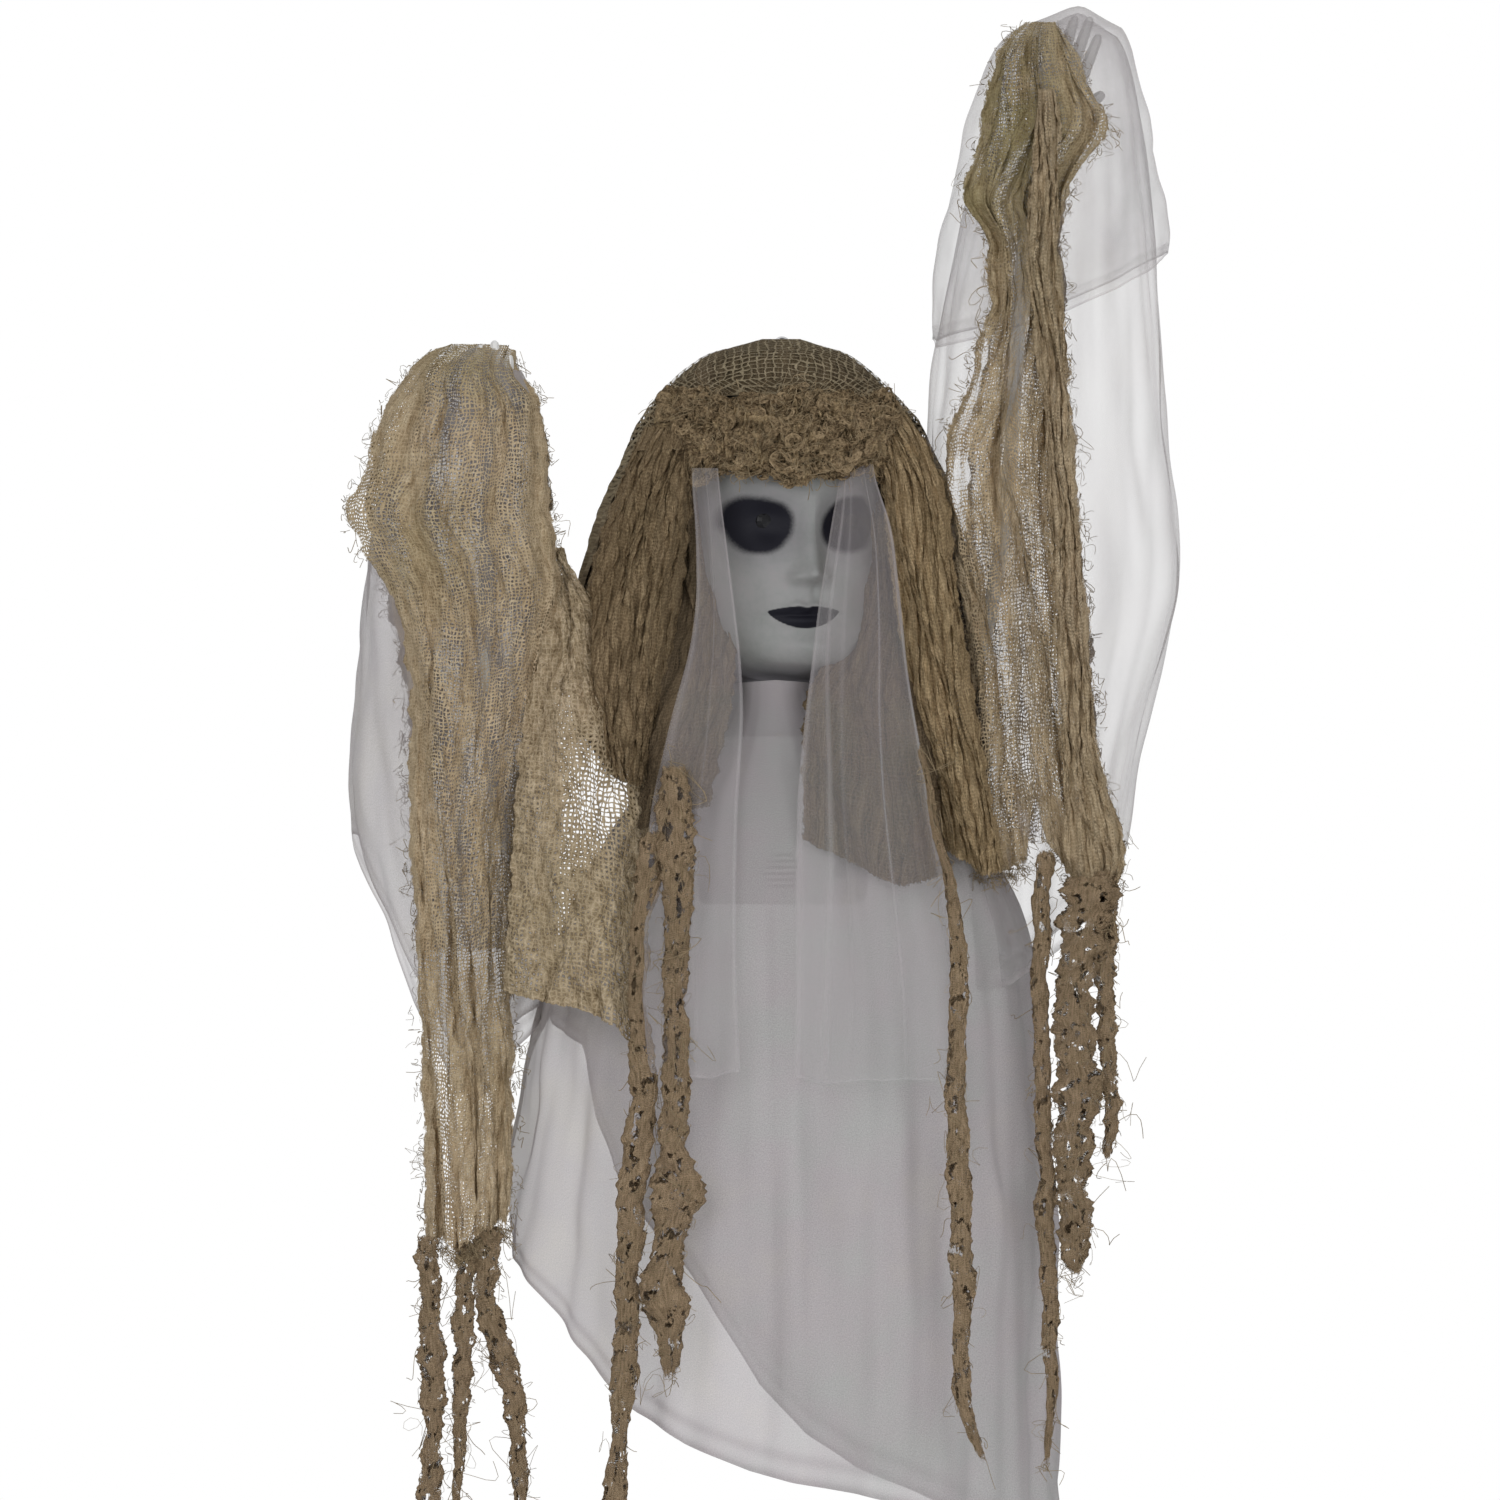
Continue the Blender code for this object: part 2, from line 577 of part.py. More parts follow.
def make_arm_drive():
    """Arm pinion under the right gear and the motor behind it."""
    place = (-AXLE_X, -GEAR_FRONT, PINION_Z)
    turn = math.pi / 2 + math.pi / PINION_TEETH
    pinion = gear_mesh("arm_pinion", PINION_TEETH, GEAR_MODULE, GEAR_THICK, place, (0, 1, 0), turn)
    part = add_object("arm_pinion", pinion, "gear_plastic", place, smooth=False)
    motor_front = INNER_BACK - SEAT_GAP - MOTOR_SIDE
    shaft = solid_profile(SHAFT_RADIUS, GEAR_BACK_Y - GEAR_THICK / 2, motor_front + SHAFT_SEAT)
    join(part, turned_mesh("shaft", shaft, (-AXLE_X, 0, PINION_Z), (0, 1, 0), 12))
    half = MOTOR_SIDE / 2
    low = (-AXLE_X - half, motor_front, PINION_Z - half)
    high = (-AXLE_X + half, INNER_BACK - SEAT_GAP, PINION_Z + half)
    motor = bevel_edges(add_object("arm_motor", box_mesh("arm_motor", low, high), "grey_plastic"), EDGE_BEVEL)
    cut(motor, turned_mesh("bore", solid_profile(SHAFT_RADIUS + RUN_GAP, motor_front - CUT_OVERRUN,
                                                 motor_front + SHAFT_SEAT + RUN_GAP),
                           (-AXLE_X, 0, PINION_Z), (0, 1, 0), 12))


def make_arm_gears():
    """The two meshed arm gears with their axles, hubs and bushes."""
    for name, side in (("right", -1), ("left", 1)):
        origin = (side * AXLE_X, 0, AXLE_Z)
        turn = 0 if side < 0 else math.pi + math.pi / GEAR_TEETH
        gear = gear_mesh(f"{name}_gear", GEAR_TEETH, GEAR_MODULE, GEAR_THICK,
                         (origin[0], -GEAR_FRONT, AXLE_Z), (0, 1, 0), turn)
        part = add_object(f"{name}_gear", gear, "gear_plastic", origin, smooth=False)
        hole = solid_profile(AXLE_RADIUS + SEAT_GAP, -GEAR_FRONT - CUT_OVERRUN, GEAR_BACK_Y + CUT_OVERRUN)
        cut(part, turned_mesh("hole", hole, origin, (0, 1, 0), 16))
        axle = solid_profile(AXLE_RADIUS, -BOX_FRONT, HUB_Y + HUB_THICK)
        mesh = turned_mesh(f"{name}_axle", axle, origin, (0, 1, 0), 16)
        add_object(f"{name}_axle", mesh, "steel", origin)
        hub = tube_profile(AXLE_RADIUS + SEAT_GAP, HUB_RADIUS, HUB_Y, HUB_Y + HUB_THICK)
        add_object(f"{name}_hub", turned_mesh(f"{name}_hub", hub, origin, (0, 1, 0), 16), "grey_plastic", origin)
        bore = AXLE_RADIUS + RUN_GAP
        bush = tube_profile(bore, bore + BUSH_WALL, INNER_BACK - BUSH_FLANGE, BOX_BACK + BUSH_FLANGE)
        add_object(f"{name}_bush", turned_mesh(f"{name}_bush", bush, origin, (0, 1, 0), 16), "brass")


def corner_places():
    """The four corners that hold the cover screws."""
    return [(side * (BOX_WIDTH / 2 - BOSS_INSET), BOX_MIDDLE + rise * (BOX_HEIGHT / 2 - BOSS_INSET))
            for side in (-1, 1) for rise in (-1, 1)]


def tray_mesh(name, open_y, closed_y):
    """A rounded tray, open at one end of its depth and closed by a wall at the other."""
    centre = (0, BOX_MIDDLE)
    floor = closed_y - math.copysign(BOX_WALL, closed_y - open_y)
    inner = (BOX_WIDTH - 2 * BOX_WALL, BOX_HEIGHT - 2 * BOX_WALL, BOX_CORNER - BOX_WALL)
    loops = [rounded_loop(*inner, centre, floor), rounded_loop(*inner, centre, open_y),
             rounded_loop(BOX_WIDTH, BOX_HEIGHT, BOX_CORNER, centre, open_y),
             rounded_loop(BOX_WIDTH, BOX_HEIGHT, BOX_CORNER, centre, closed_y)]
    return loft_mesh(name, loops)


def door_sizes():
    """The battery door's left, right, lower and upper edges, from the cells behind it."""
    right = INNER_SIDE - DOOR_EDGE
    left = right - CELL_LENGTH
    low = BOX_BOTTOM + BOX_WALL + DOOR_EDGE
    return left, right, low, low + CELL_PITCH * CELL_COUNT


def make_box():
    """The chest box: rear shell, front cover and what is built into them."""
    rear = add_object("rear_shell", tray_mesh("rear_shell", -COVER_RIM + SEAT_GAP, BOX_BACK), "white_plastic")
    cover = add_object("front_cover", tray_mesh("front_cover", -COVER_RIM, -BOX_FRONT), "white_plastic")
    neck_hole = NECK_TUBE_RADIUS + RUN_GAP + BUSH_WALL + SEAT_GAP
    cut(rear, turned_mesh("neck_hole", solid_profile(neck_hole, BOX_TOP - BOX_WALL - CUT_OVERRUN,
                                                     BOX_TOP + CUT_OVERRUN), (0, 0, 0), (0, 0, 1), 24))
    bush_hole = AXLE_RADIUS + RUN_GAP + BUSH_WALL + SEAT_GAP
    for side in (-1, 1):
        spot = (side * AXLE_X, 0, AXLE_Z)
        cut(rear, turned_mesh("axle_hole", solid_profile(bush_hole, INNER_BACK - CUT_OVERRUN,
                                                         BOX_BACK + CUT_OVERRUN), spot, (0, 1, 0), 16))
        cut(cover, turned_mesh("axle_hole", solid_profile(AXLE_RADIUS + RUN_GAP, -BOX_FRONT - CUT_OVERRUN,
                                                          -INNER_FRONT + CUT_OVERRUN), spot, (0, 1, 0), 16))
    boss_front = -COVER_RIM + SEAT_GAP
    for x, z in corner_places():
        join(rear, turned_mesh("boss", solid_profile(BOSS_RADIUS, boss_front, INNER_BACK + BOX_WALL / 2),
                               (x, 0, z), (0, 1, 0), 12))
        cut(rear, turned_mesh("pilot", solid_profile(SCREW_RADIUS + SEAT_GAP, boss_front - CUT_OVERRUN,
                                                     boss_front + SCREW_LENGTH), (x, 0, z), (0, 1, 0), 12))
        cut(cover, turned_mesh("screw_hole", solid_profile(SCREW_RADIUS + SEAT_GAP, -BOX_FRONT - CUT_OVERRUN,
                                                           -INNER_FRONT + CUT_OVERRUN), (x, 0, z), (0, 1, 0), 12))
    make_anchor(rear)
    make_speaker(cover)
    make_sensor(cover)
    make_battery_bay(rear)
    make_switch(rear)


def make_anchor(rear):
    """A steel bar across the box carries the hanger rod; a screw through each side wall holds it."""
    middle = BAR_TOP - BAR_HEIGHT / 2
    reach = INNER_SIDE - SEAT_GAP
    bar = add_object("anchor_bar", box_mesh("anchor_bar", (-reach, -BAR_DEPTH / 2, BAR_TOP - BAR_HEIGHT),
                                            (reach, BAR_DEPTH / 2, BAR_TOP)), "steel", smooth=False)
    cut(bar, turned_mesh("rod_seat", solid_profile(ROD_RADIUS + SEAT_GAP, BAR_TOP - BAR_HEIGHT - CUT_OVERRUN,
                                                   BAR_TOP + CUT_OVERRUN), (0, 0, 0), (0, 0, 1), 16))
    for name, side in (("right", -1), ("left", 1)):
        bore = solid_profile(SCREW_RADIUS + SEAT_GAP, BOX_WIDTH / 2 - BOX_WALL - SCREW_LENGTH,
                             BOX_WIDTH / 2 + CUT_OVERRUN)
        cut(bar, turned_mesh("screw_seat", bore, (0, 0, middle), (side, 0, 0), 12))
        cut(rear, turned_mesh("screw_hole", bore, (0, 0, middle), (side, 0, 0), 12))
        head = BOX_WIDTH / 2 + SEAT_GAP
        profile = [(0, head - SCREW_LENGTH), (SCREW_RADIUS, head - SCREW_LENGTH), (SCREW_RADIUS, head),
                   (SCREW_HEAD, head), (SCREW_HEAD, head + SCREW_HEAD_THICK), (0, head + SCREW_HEAD_THICK)]
        mesh = turned_mesh("screw", profile, (0, 0, middle), (side, 0, 0), 12)
        add_object(f"{name}_anchor_screw", mesh, "steel")


def make_hanger():
    """The fixed rod through the neck and crown, with the ring that the figure hangs by."""
    collar = ROD_RADIUS + BUSH_FLANGE
    low = BAR_TOP - BAR_HEIGHT - SEAT_GAP
    profile = [(0, low - BUSH_FLANGE), (collar, low - BUSH_FLANGE), (collar, low), (ROD_RADIUS, low),
               (ROD_RADIUS, RING_LOW - SEAT_GAP), (0, RING_LOW - SEAT_GAP)]
    add_object("hanger_rod", turned_mesh("hanger_rod", profile, (0, 0, 0), (0, 0, 1), 16), "steel")
    wire = [(RING_RADIUS + RING_WIRE * math.cos(math.tau * step / 8), RING_WIRE * math.sin(math.tau * step / 8))
            for step in range(8)]
    add_object("hang_ring", turned_mesh("hang_ring", wire, (0, 0, 0), (0, 1, 0), 20), "steel")


def make_speaker(cover):
    """The speaker behind its slots in the front cover."""
    middle = BOX_TOP - SPEAKER_DROP
    face = INNER_FRONT - SEAT_GAP
    for index in range(SLOT_COUNT):
        rise = (index - (SLOT_COUNT - 1) / 2) * SLOT_PITCH
        reach = math.sqrt(max((SPEAKER_RADIUS - SLOT_WIDTH) ** 2 - rise ** 2, SLOT_WIDTH ** 2))
        low = (-reach, -BOX_FRONT - CUT_OVERRUN, middle + rise - SLOT_WIDTH / 2)
        high = (reach, -INNER_FRONT + CUT_OVERRUN / 2, middle + rise + SLOT_WIDTH / 2)
        cut(cover, box_mesh("slot", low, high))
    magnet = SPEAKER_RADIUS / 2
    profile = [(0, face - SPEAKER_DEPTH), (magnet, face - SPEAKER_DEPTH), (magnet, face - SPEAKER_DEPTH / 2),
               (SPEAKER_RADIUS, face - SPEAKER_DEPTH / 4), (SPEAKER_RADIUS, face),
               (SPEAKER_RADIUS * 0.85, face), (magnet, face - SPEAKER_DEPTH / 4), (0, face - SPEAKER_DEPTH / 3)]
    add_object("speaker", turned_mesh("speaker", profile, (0, 0, middle), (0, -1, 0), 24), "grey_plastic")


def make_sensor(cover):
    """A sensor lens in the cover and the circuit board beside it."""
    middle = BOX_TOP - SPEAKER_DROP
    spot = (BOX_WIDTH / 2 - LENS_EDGE, 0, middle)
    cut(cover, turned_mesh("lens_hole", solid_profile(LENS_RADIUS, INNER_FRONT - CUT_OVERRUN,
                                                      BOX_FRONT + CUT_OVERRUN), spot, (0, -1, 0), 16))
    rim = LENS_RADIUS - SEAT_GAP
    profile = [(0, INNER_FRONT - BOX_WALL), (rim, INNER_FRONT - BOX_WALL), (rim, BOX_FRONT),
               (rim * 0.75, BOX_FRONT + rim / 3), (0, BOX_FRONT + rim / 2)]
    add_object("sensor_lens", turned_mesh("sensor_lens", profile, spot, (0, -1, 0), 16), "black_eye")
    back = -INNER_FRONT + SEAT_GAP + BOARD_THICK
    right = -SPEAKER_RADIUS - DOOR_THICK
    low = BOX_BOTTOM + BOX_WALL + BOSS_INSET + BOSS_RADIUS
    left = -INNER_SIDE + BOX_CORNER
    board = add_object("circuit_board", box_mesh("board", (left, -INNER_FRONT + SEAT_GAP, low),
                                                 (right, back, low + BOARD_HEIGHT - BOSS_INSET)),
                       "board_green", smooth=False)
    chip = (right - left) / 3
    join(board, box_mesh("chip", (left + chip, back - BOARD_THICK / 2, low + chip),
                         (left + 2 * chip, back + CHIP_HEIGHT, low + chip * 1.6)))


def make_battery_bay(rear):
    """Cells in a tray behind a door that swings down on its lower edge."""
    left, right, low, high = door_sizes()
    cut(rear, box_mesh("door_hole", (left - RUN_GAP, INNER_BACK - CUT_OVERRUN / 2, low - RUN_GAP),
                       (right + RUN_GAP, BOX_BACK + CUT_OVERRUN, high + RUN_GAP)))
    tray_back = INNER_BACK - SEAT_GAP
    tray_front = tray_back - 2 * CELL_RADIUS - TRAY_WALL - SEAT_GAP
    outer_low = (left - CONTACT_THICK * 2 - TRAY_WALL, tray_front, low - TRAY_WALL)
    outer_high = (right + CONTACT_THICK * 2 + TRAY_WALL, tray_back, high + TRAY_WALL)
    tray = add_object("battery_tray", box_mesh("tray", outer_low, outer_high), "grey_plastic", smooth=False)
    cut(tray, box_mesh("bay", (left - CONTACT_THICK * 2, tray_front + TRAY_WALL, low),
                       (right + CONTACT_THICK * 2, tray_back + CUT_OVERRUN, high)))
    cell_y = tray_front + TRAY_WALL + SEAT_GAP + CELL_RADIUS
    length = CELL_LENGTH - SEAT_GAP
    tip = CELL_RADIUS / 3
    for index in range(CELL_COUNT):
        z = low + CELL_PITCH * (index + 0.5)
        way = 1 if index % 2 else -1
        profile = [(0, -length / 2), (CELL_RADIUS, -length / 2), (CELL_RADIUS, length / 2 - BUSH_FLANGE),
                   (tip, length / 2 - BUSH_FLANGE), (tip, length / 2), (0, length / 2)]
        mesh = turned_mesh("cell", profile, ((left + right) / 2, cell_y, z), (way, 0, 0), 14)
        add_object(f"battery_cell_{index + 1}", mesh, "cell_jacket")
    for name, end in (("right", left - CONTACT_THICK - SEAT_GAP), ("left", right + SEAT_GAP)):
        plate = box_mesh("contact", (end, cell_y - tip * 2, low + SEAT_GAP),
                         (end + CONTACT_THICK, cell_y + tip * 2, high - SEAT_GAP))
        add_object(f"{name}_contact", plate, "brass", smooth=False)
    middle_y = BOX_BACK - DOOR_THICK / 2
    hinge_z = low + DOOR_THICK / 2
    loops = []
    for x in (left, right):
        loop = [(x, middle_y + DOOR_THICK / 2, high), (x, middle_y - DOOR_THICK / 2, high)]
        for step in range(7):
            angle = math.pi + math.pi * step / 6
            loop.append((x, middle_y + DOOR_THICK / 2 * math.cos(angle), hinge_z + DOOR_THICK / 2 * math.sin(angle)))
        loops.append(loop)
    add_object("battery_door", loft_mesh("battery_door", loops), "white_plastic",
               ((left + right) / 2, middle_y, hinge_z), smooth=False)


def make_switch(rear):
    """A slide switch: the knob stands out of a slot and its plate runs between wall and body."""
    z = BOX_TOP - SWITCH_DROP
    x = SWITCH_EDGE - BOX_WIDTH / 2
    slot_x = (SWITCH_WIDTH + SWITCH_TRAVEL) / 2 + RUN_GAP
    slot_z = SWITCH_HEIGHT / 2 + RUN_GAP
    cut(rear, box_mesh("switch_slot", (x - slot_x, INNER_BACK - CUT_OVERRUN / 2, z - slot_z),
                       (x + slot_x, BOX_BACK + CUT_OVERRUN, z + slot_z)))
    plate_back = INNER_BACK - RUN_GAP
    plate_front = plate_back - BUSH_FLANGE
    plate_x = SWITCH_WIDTH / 2 + SWITCH_TRAVEL / 2
    rest_x = x - SWITCH_TRAVEL / 2
    plate = box_mesh("plate", (rest_x - plate_x, plate_front, z - SWITCH_HEIGHT * 0.8),
                     (rest_x + plate_x, plate_back, z + SWITCH_HEIGHT * 0.8))
    knob = add_object("power_switch", plate, "black_eye", (rest_x, BOX_BACK, z), smooth=False)
    join(knob, box_mesh("knob", (rest_x - SWITCH_WIDTH / 2, plate_back - BUSH_FLANGE / 2, z - SWITCH_HEIGHT / 2),
                        (rest_x + SWITCH_WIDTH / 2, BOX_BACK + SWITCH_PROUD, z + SWITCH_HEIGHT / 2)))
    room_x = plate_x + SWITCH_TRAVEL / 2 + RUN_GAP
    room_z = SWITCH_HEIGHT * 0.8 + RUN_GAP
    wall = BUSH_FLANGE
    body = box_mesh("switch_body", (x - room_x - wall, plate_front - RUN_GAP - SWITCH_HEIGHT, z - room_z - wall),
                    (x + room_x + wall, INNER_BACK - SEAT_GAP, z + room_z + wall))
    body = add_object("switch_body", body, "grey_plastic", smooth=False)
    cut(body, box_mesh("room", (x - room_x, plate_front - RUN_GAP, z - room_z),
                       (x + room_x, INNER_BACK + CUT_OVERRUN, z + room_z)))


# Arm routes from the hub to the wrist, as shares of the arm's span across, forward and up.
ARM_ACROSS = 235 * MM
ARM_FORWARD = 150 * MM
RIGHT_ARM_RISE = 290 * MM
LEFT_ARM_RISE = 545 * MM
RIGHT_ARM_SHARES = ((0, 0, 0), (0.14, 0, 0), (0.42, -0.02, -0.11), (0.70, -0.15, -0.20), (0.93, -0.42, -0.10),
                    (1.0, -0.72, 0.30), (1.0, -0.95, 0.62), (0.98, -1.08, 0.90))
LEFT_ARM_SHARES = ((0, 0, 0), (0.14, 0, 0), (0.40, -0.04, 0.05), (0.62, -0.22, 0.22), (0.73, -0.40, 0.45),
                   (0.77, -0.50, 0.70), (0.81, -0.54, 0.88), (0.85, -0.56, 0.97))
RIGHT_HAND_LEAN = (-0.02, -0.16, 1.0)
LEFT_HAND_LEAN = (0.34, -0.05, 1.0)


def arm_points(side, shares, rise):
    """A smooth route through the shares of an arm, starting clear of its hub."""
    table = np.asarray(shares) * np.array([ARM_ACROSS - AXLE_X, ARM_FORWARD, rise])
    table[0, 0] = HUB_RADIUS + BUSH_FLANGE
    points = smooth_rows(table, np.linspace(0, len(table) - 1, 18))
    return points * np.array([side, 1, 1]) + np.array([side * AXLE_X, HUB_Y + HUB_THICK / 2, AXLE_Z])


def make_rod(name, points, radius, finish, origin):
    """A round rod along a route, as a curve with filled ends."""
    route = bpy.data.curves.new(name, "CURVE")
    route.dimensions = "3D"
    route.bevel_depth = radius
    route.bevel_resolution = 2
    route.use_fill_caps = True
    spline = route.splines.new("POLY")
    spline.points.add(len(points) - 1)
    for spot, point in zip(spline.points, points):
        spot.co = (*(np.asarray(point) - np.asarray(origin)), 1)
    part = bpy.data.objects.new(name, route)
    part.location = origin
    bpy.context.collection.objects.link(part)
    route.materials.append(make_finish(finish))
    return part


def capsule_loops(start, end, radius, thin, sides):
    """Rounded rings along a finger from its base to its tip."""
    way = (end - start).normalized()
    beside = way.orthogonal().normalized()
    over = way.cross(beside)
    length = (end - start).length
    loops = []
    for share, size in ((0, 0.7), (0.06, 1), (0.5, (1 + thin) / 2), (0.88, thin), (0.97, thin * 0.75), (1, thin * 0.3)):
        middle = start + way * length * share
        loops.append([middle + (beside * math.cos(math.tau * step / sides)
                                + over * math.sin(math.tau * step / sides)) * radius * size
                      for step in range(sides)])
    return loops


# Palm: height, width and thickness. Fingers: offset, base and tip. Thumb: the same with its tip's offset.
PALM_SHARES = ((0, 0.08, 0.15), (0.03, 0.42, 0.8), (0.08, 0.46, 0.95), (0.22, 0.80, 1), (0.42, 1, 1),
               (0.54, 0.97, 0.85), (0.58, 0.80, 0.5))
FINGER_SHARES = ((-0.38, 0.50, 0.86), (-0.13, 0.52, 0.97), (0.13, 0.52, 1.0), (0.38, 0.50, 0.90))
THUMB_SHARE = (-0.46, 0.20, -0.80, 0.52)


def make_hand(name, side, wrist, lean, origin):
    """A plain hand: a flat palm with four fingers and a thumb joined on."""
    up = Vector(lean).normalized()
    across = Vector((1, 0, 0)) - up * up.x
    across.normalize()
    away = up.cross(across)
    base = Vector(wrist) + up * SEAT_GAP
    loops = []
    for share, wide, thick in PALM_SHARES:
        middle = base + up * HAND_LENGTH * share
        loops.append([middle + across * math.cos(math.tau * step / 12) * HAND_WIDTH / 2 * wide
                      + away * math.sin(math.tau * step / 12) * HAND_THICK / 2 * thick for step in range(12)])
    part = add_object(name, loft_mesh(name, loops), "white_plastic", origin)
    for offset, low, high in FINGER_SHARES:
        start = base + across * HAND_WIDTH * offset * 0.86 + up * HAND_LENGTH * low
        end = base + across * HAND_WIDTH * offset + up * HAND_LENGTH * high
        finger = loft_mesh("finger", capsule_loops(start, end, FINGER_RADIUS, 0.75, 7))
        join(part, finger)
    offset, low, reach, high = THUMB_SHARE
    start = base + across * HAND_WIDTH * -offset * side * 0.7 + up * HAND_LENGTH * low
    end = base + across * HAND_WIDTH * -reach * side + up * HAND_LENGTH * high
    join(part, loft_mesh("thumb", capsule_loops(start, end, FINGER_RADIUS, 0.8, 7)))
    return base + up * HAND_LENGTH


def make_arms():
    """Both arm rods and hands; returns the fingertip height of each side."""
    tips = {}
    for name, side, shares, rise, lean in (("right", -1, RIGHT_ARM_SHARES, RIGHT_ARM_RISE, RIGHT_HAND_LEAN),
                                           ("left", 1, LEFT_ARM_SHARES, LEFT_ARM_RISE, LEFT_HAND_LEAN)):
        origin = (side * AXLE_X, 0, AXLE_Z)
        points = arm_points(side, shares, rise)
        make_rod(f"{name}_arm", points, ARM_RADIUS, "white_plastic", origin)
        way = Vector(points[-1] - points[-2]).normalized()
        wrist = Vector(points[-1]) + way * SEAT_GAP
        tips[name] = make_hand(f"{name}_hand", side, wrist, lean, origin)
    return tips


# Cloth outlines, drawn on the pattern grid from the piece that carries each cloth.
# Robe: drop, half width and half depth, from the collar that lies on the box.
ROBE_SHARES = ((0, 0.26, 0.26), (0, 0.50, 0.36), (0, 0.80, 0.50), (0.20, 1.08, 0.68), (1.15, 1.38, 0.88),
               (2.2, 1.80, 1.02), (3.4, 2.05, 1.12), (4.5, 2.16, 1.18), (5.55, 2.20, 1.20))
# Where the robe starts, as a row of the robe's table, by the angle from its front or back in degrees.
ARMHOLE_SHARES = ((0, 0), (10, 0), (20, 1.9), (30, 2.6), (40, 3.4), (50, 4.35), (90, 4.35))
# Hood: drop, half width, half depth, from the ring that it lies on.
HOOD_SHARES = ((0, 0, 0), (0.09, 0.50, 0.42), (0.37, 0.83, 0.82), (0.60, 1.10, 1.06), (1.02, 1.25, 1.22),
               (1.35, 1.37, 1.27), (1.85, 1.56, 1.31), (2.9, 1.68, 1.31), (4.35, 1.62, 1.31))
# Sleeves: drop, outer reach, inner reach, back, half depth, from the fingertip.
RIGHT_SLEEVE_SHARES = ((0, 0, 0, 0, 0), (0.03, 0.13, -0.13, 0, 0.12), (0.13, 0.29, -0.25, 0.02, 0.26), (0.39, 0.52, -0.37, 0.07, 0.42),
                       (0.89, 0.72, -0.47, 0.19, 0.52), (1.6, 0.92, -0.53, 0.36, 0.56),
                       (2.6, 1.07, -0.58, 0.78, 0.62), (3.6, 1.12, -0.63, 1.24, 0.70),
                       (4.5, 1.07, -0.61, 1.44, 0.78), (5.8, 0.77, -0.23, 1.44, 0.80), (6.8, 0.40, -0.06, 1.44, 0.80))
LEFT_SLEEVE_SHARES = ((0, 0, 0, 0, 0), (0.03, 0.13, -0.16, 0, 0.12), (0.16, 0.27, -0.35, 0, 0.24), (0.52, 0.42, -0.52, 0, 0.36),
                      (1.12, 0.53, -0.75, 0, 0.46), (1.8, 0.59, -0.95, 0.02, 0.50), (2.6, 0.64, -1.18, 0.10, 0.55),
                      (3.1, 0.67, -1.18, 0.13, 0.57), (3.5, 0.71, -1.02, 0.18, 0.59), (4.3, 0.80, -0.75, 0.35, 0.62),
                      (5.2, 0.63, -0.90, 0.47, 0.65), (6.1, 0.40, -0.90, 0.53, 0.70), (7.0, 0.22, -0.70, 0.53, 0.72),
                      (8.0, -0.05, -0.36, 0.53, 0.75))
# How many steps above the sleeve the cloths over it lie at the fingertip.
DRAPE_LIFT_SHARE = 0.25
RIGHT_GAUZE_LIFT_SHARE = 0.8
LEFT_GAUZE_LIFT_SHARE = 1.3
RIGHT_HEM_SHARES = (7.35, 10)
LEFT_HEM_SHARES = (11.1, 13)
DRAPE_HEM_SHARES = (5.25, 5.95)
# Arm gauze: drop, inner edge, outer edge along the front, then over the hand and down the back.
RIGHT_GAUZE_FRONT_SHARES = ((7.25, -0.17, 0.57), (6.2, -0.17, 0.60), (5.2, -0.16, 0.61), (4.1, -0.18, 0.64),
                            (3.0, -0.35, 0.66), (2.2, -0.50, 0.70), (1.35, -0.55, 1.12), (0.68, -0.48, 0.97),
                            (0.22, -0.40, 0.78))
RIGHT_GAUZE_BACK_SHARES = ((0.30, -0.38, 0.70), (1.4, -0.50, 0.88), (3.0, -0.52, 0.80), (4.4, -0.5, 0.70))
LEFT_GAUZE_FRONT_SHARES = ((6.9, -0.35, 0.29), (6.0, -0.42, 0.17), (5.0, -0.52, 0.09), (3.8, -0.90, -0.01),
                           (3.0, -1.00, -0.09), (2.0, -0.75, -0.13), (1.15, -0.94, 0.05), (0.72, -0.88, 0.24),
                           (0.30, -0.72, 0.02))
LEFT_GAUZE_BACK_SHARES = ((0.35, -0.70, 0.04), (1.4, -0.80, 0.10), (2.8, -0.85, 0.05))
# Veils: drop, inner edge, outer edge, forward, from the band's lower edge; curtains by angle.
RIGHT_VEIL_SHARES = ((0, 0.32, 0.60, 1.20), (0.9, 0.32, 0.62, 1.24), (2.2, 0.22, 0.68, 1.28), (3.4, 0.12, 0.68, 1.30),
                     (4.75, 0.03, 0.68, 1.30))
LEFT_VEIL_SHARES = ((0, 0.48, 0.72, 1.16), (0.9, 0.27, 0.92, 1.24), (1.8, 0.12, 1.14, 1.28), (3.4, 0.07, 1.34, 1.30),
                    (4.75, 0.05, 1.42, 1.30))
# Curtains: inner edge at the top and hem, outer edge at the top and hem, as angles from the front,
# and the two ends of the stretch of band that they hang from.
CURTAIN_TOP_SHARES = (0.58, 0.78)
RIGHT_CURTAIN_EDGE_SHARES = (0.63, 0.50, 0.98, 1.02)
LEFT_CURTAIN_EDGE_SHARES = (0.63, 0.80, 0.98, 1.30)
# Panel hem: inner edge, outer edge, forward, inner drop and outer drop.
PANEL_HEM_SHARES = (1.16, 2.05, 1.22, 2.35, 1.75)
# Torn strips: width along the length.
STRIP_SIZE_SHARES = (0.9, 1.0, 0.75, 1.0, 0.8, 0.95, 0.6, 0.8, 0.25)


def pattern(values):
    return np.asarray(values, float) * PATTERN


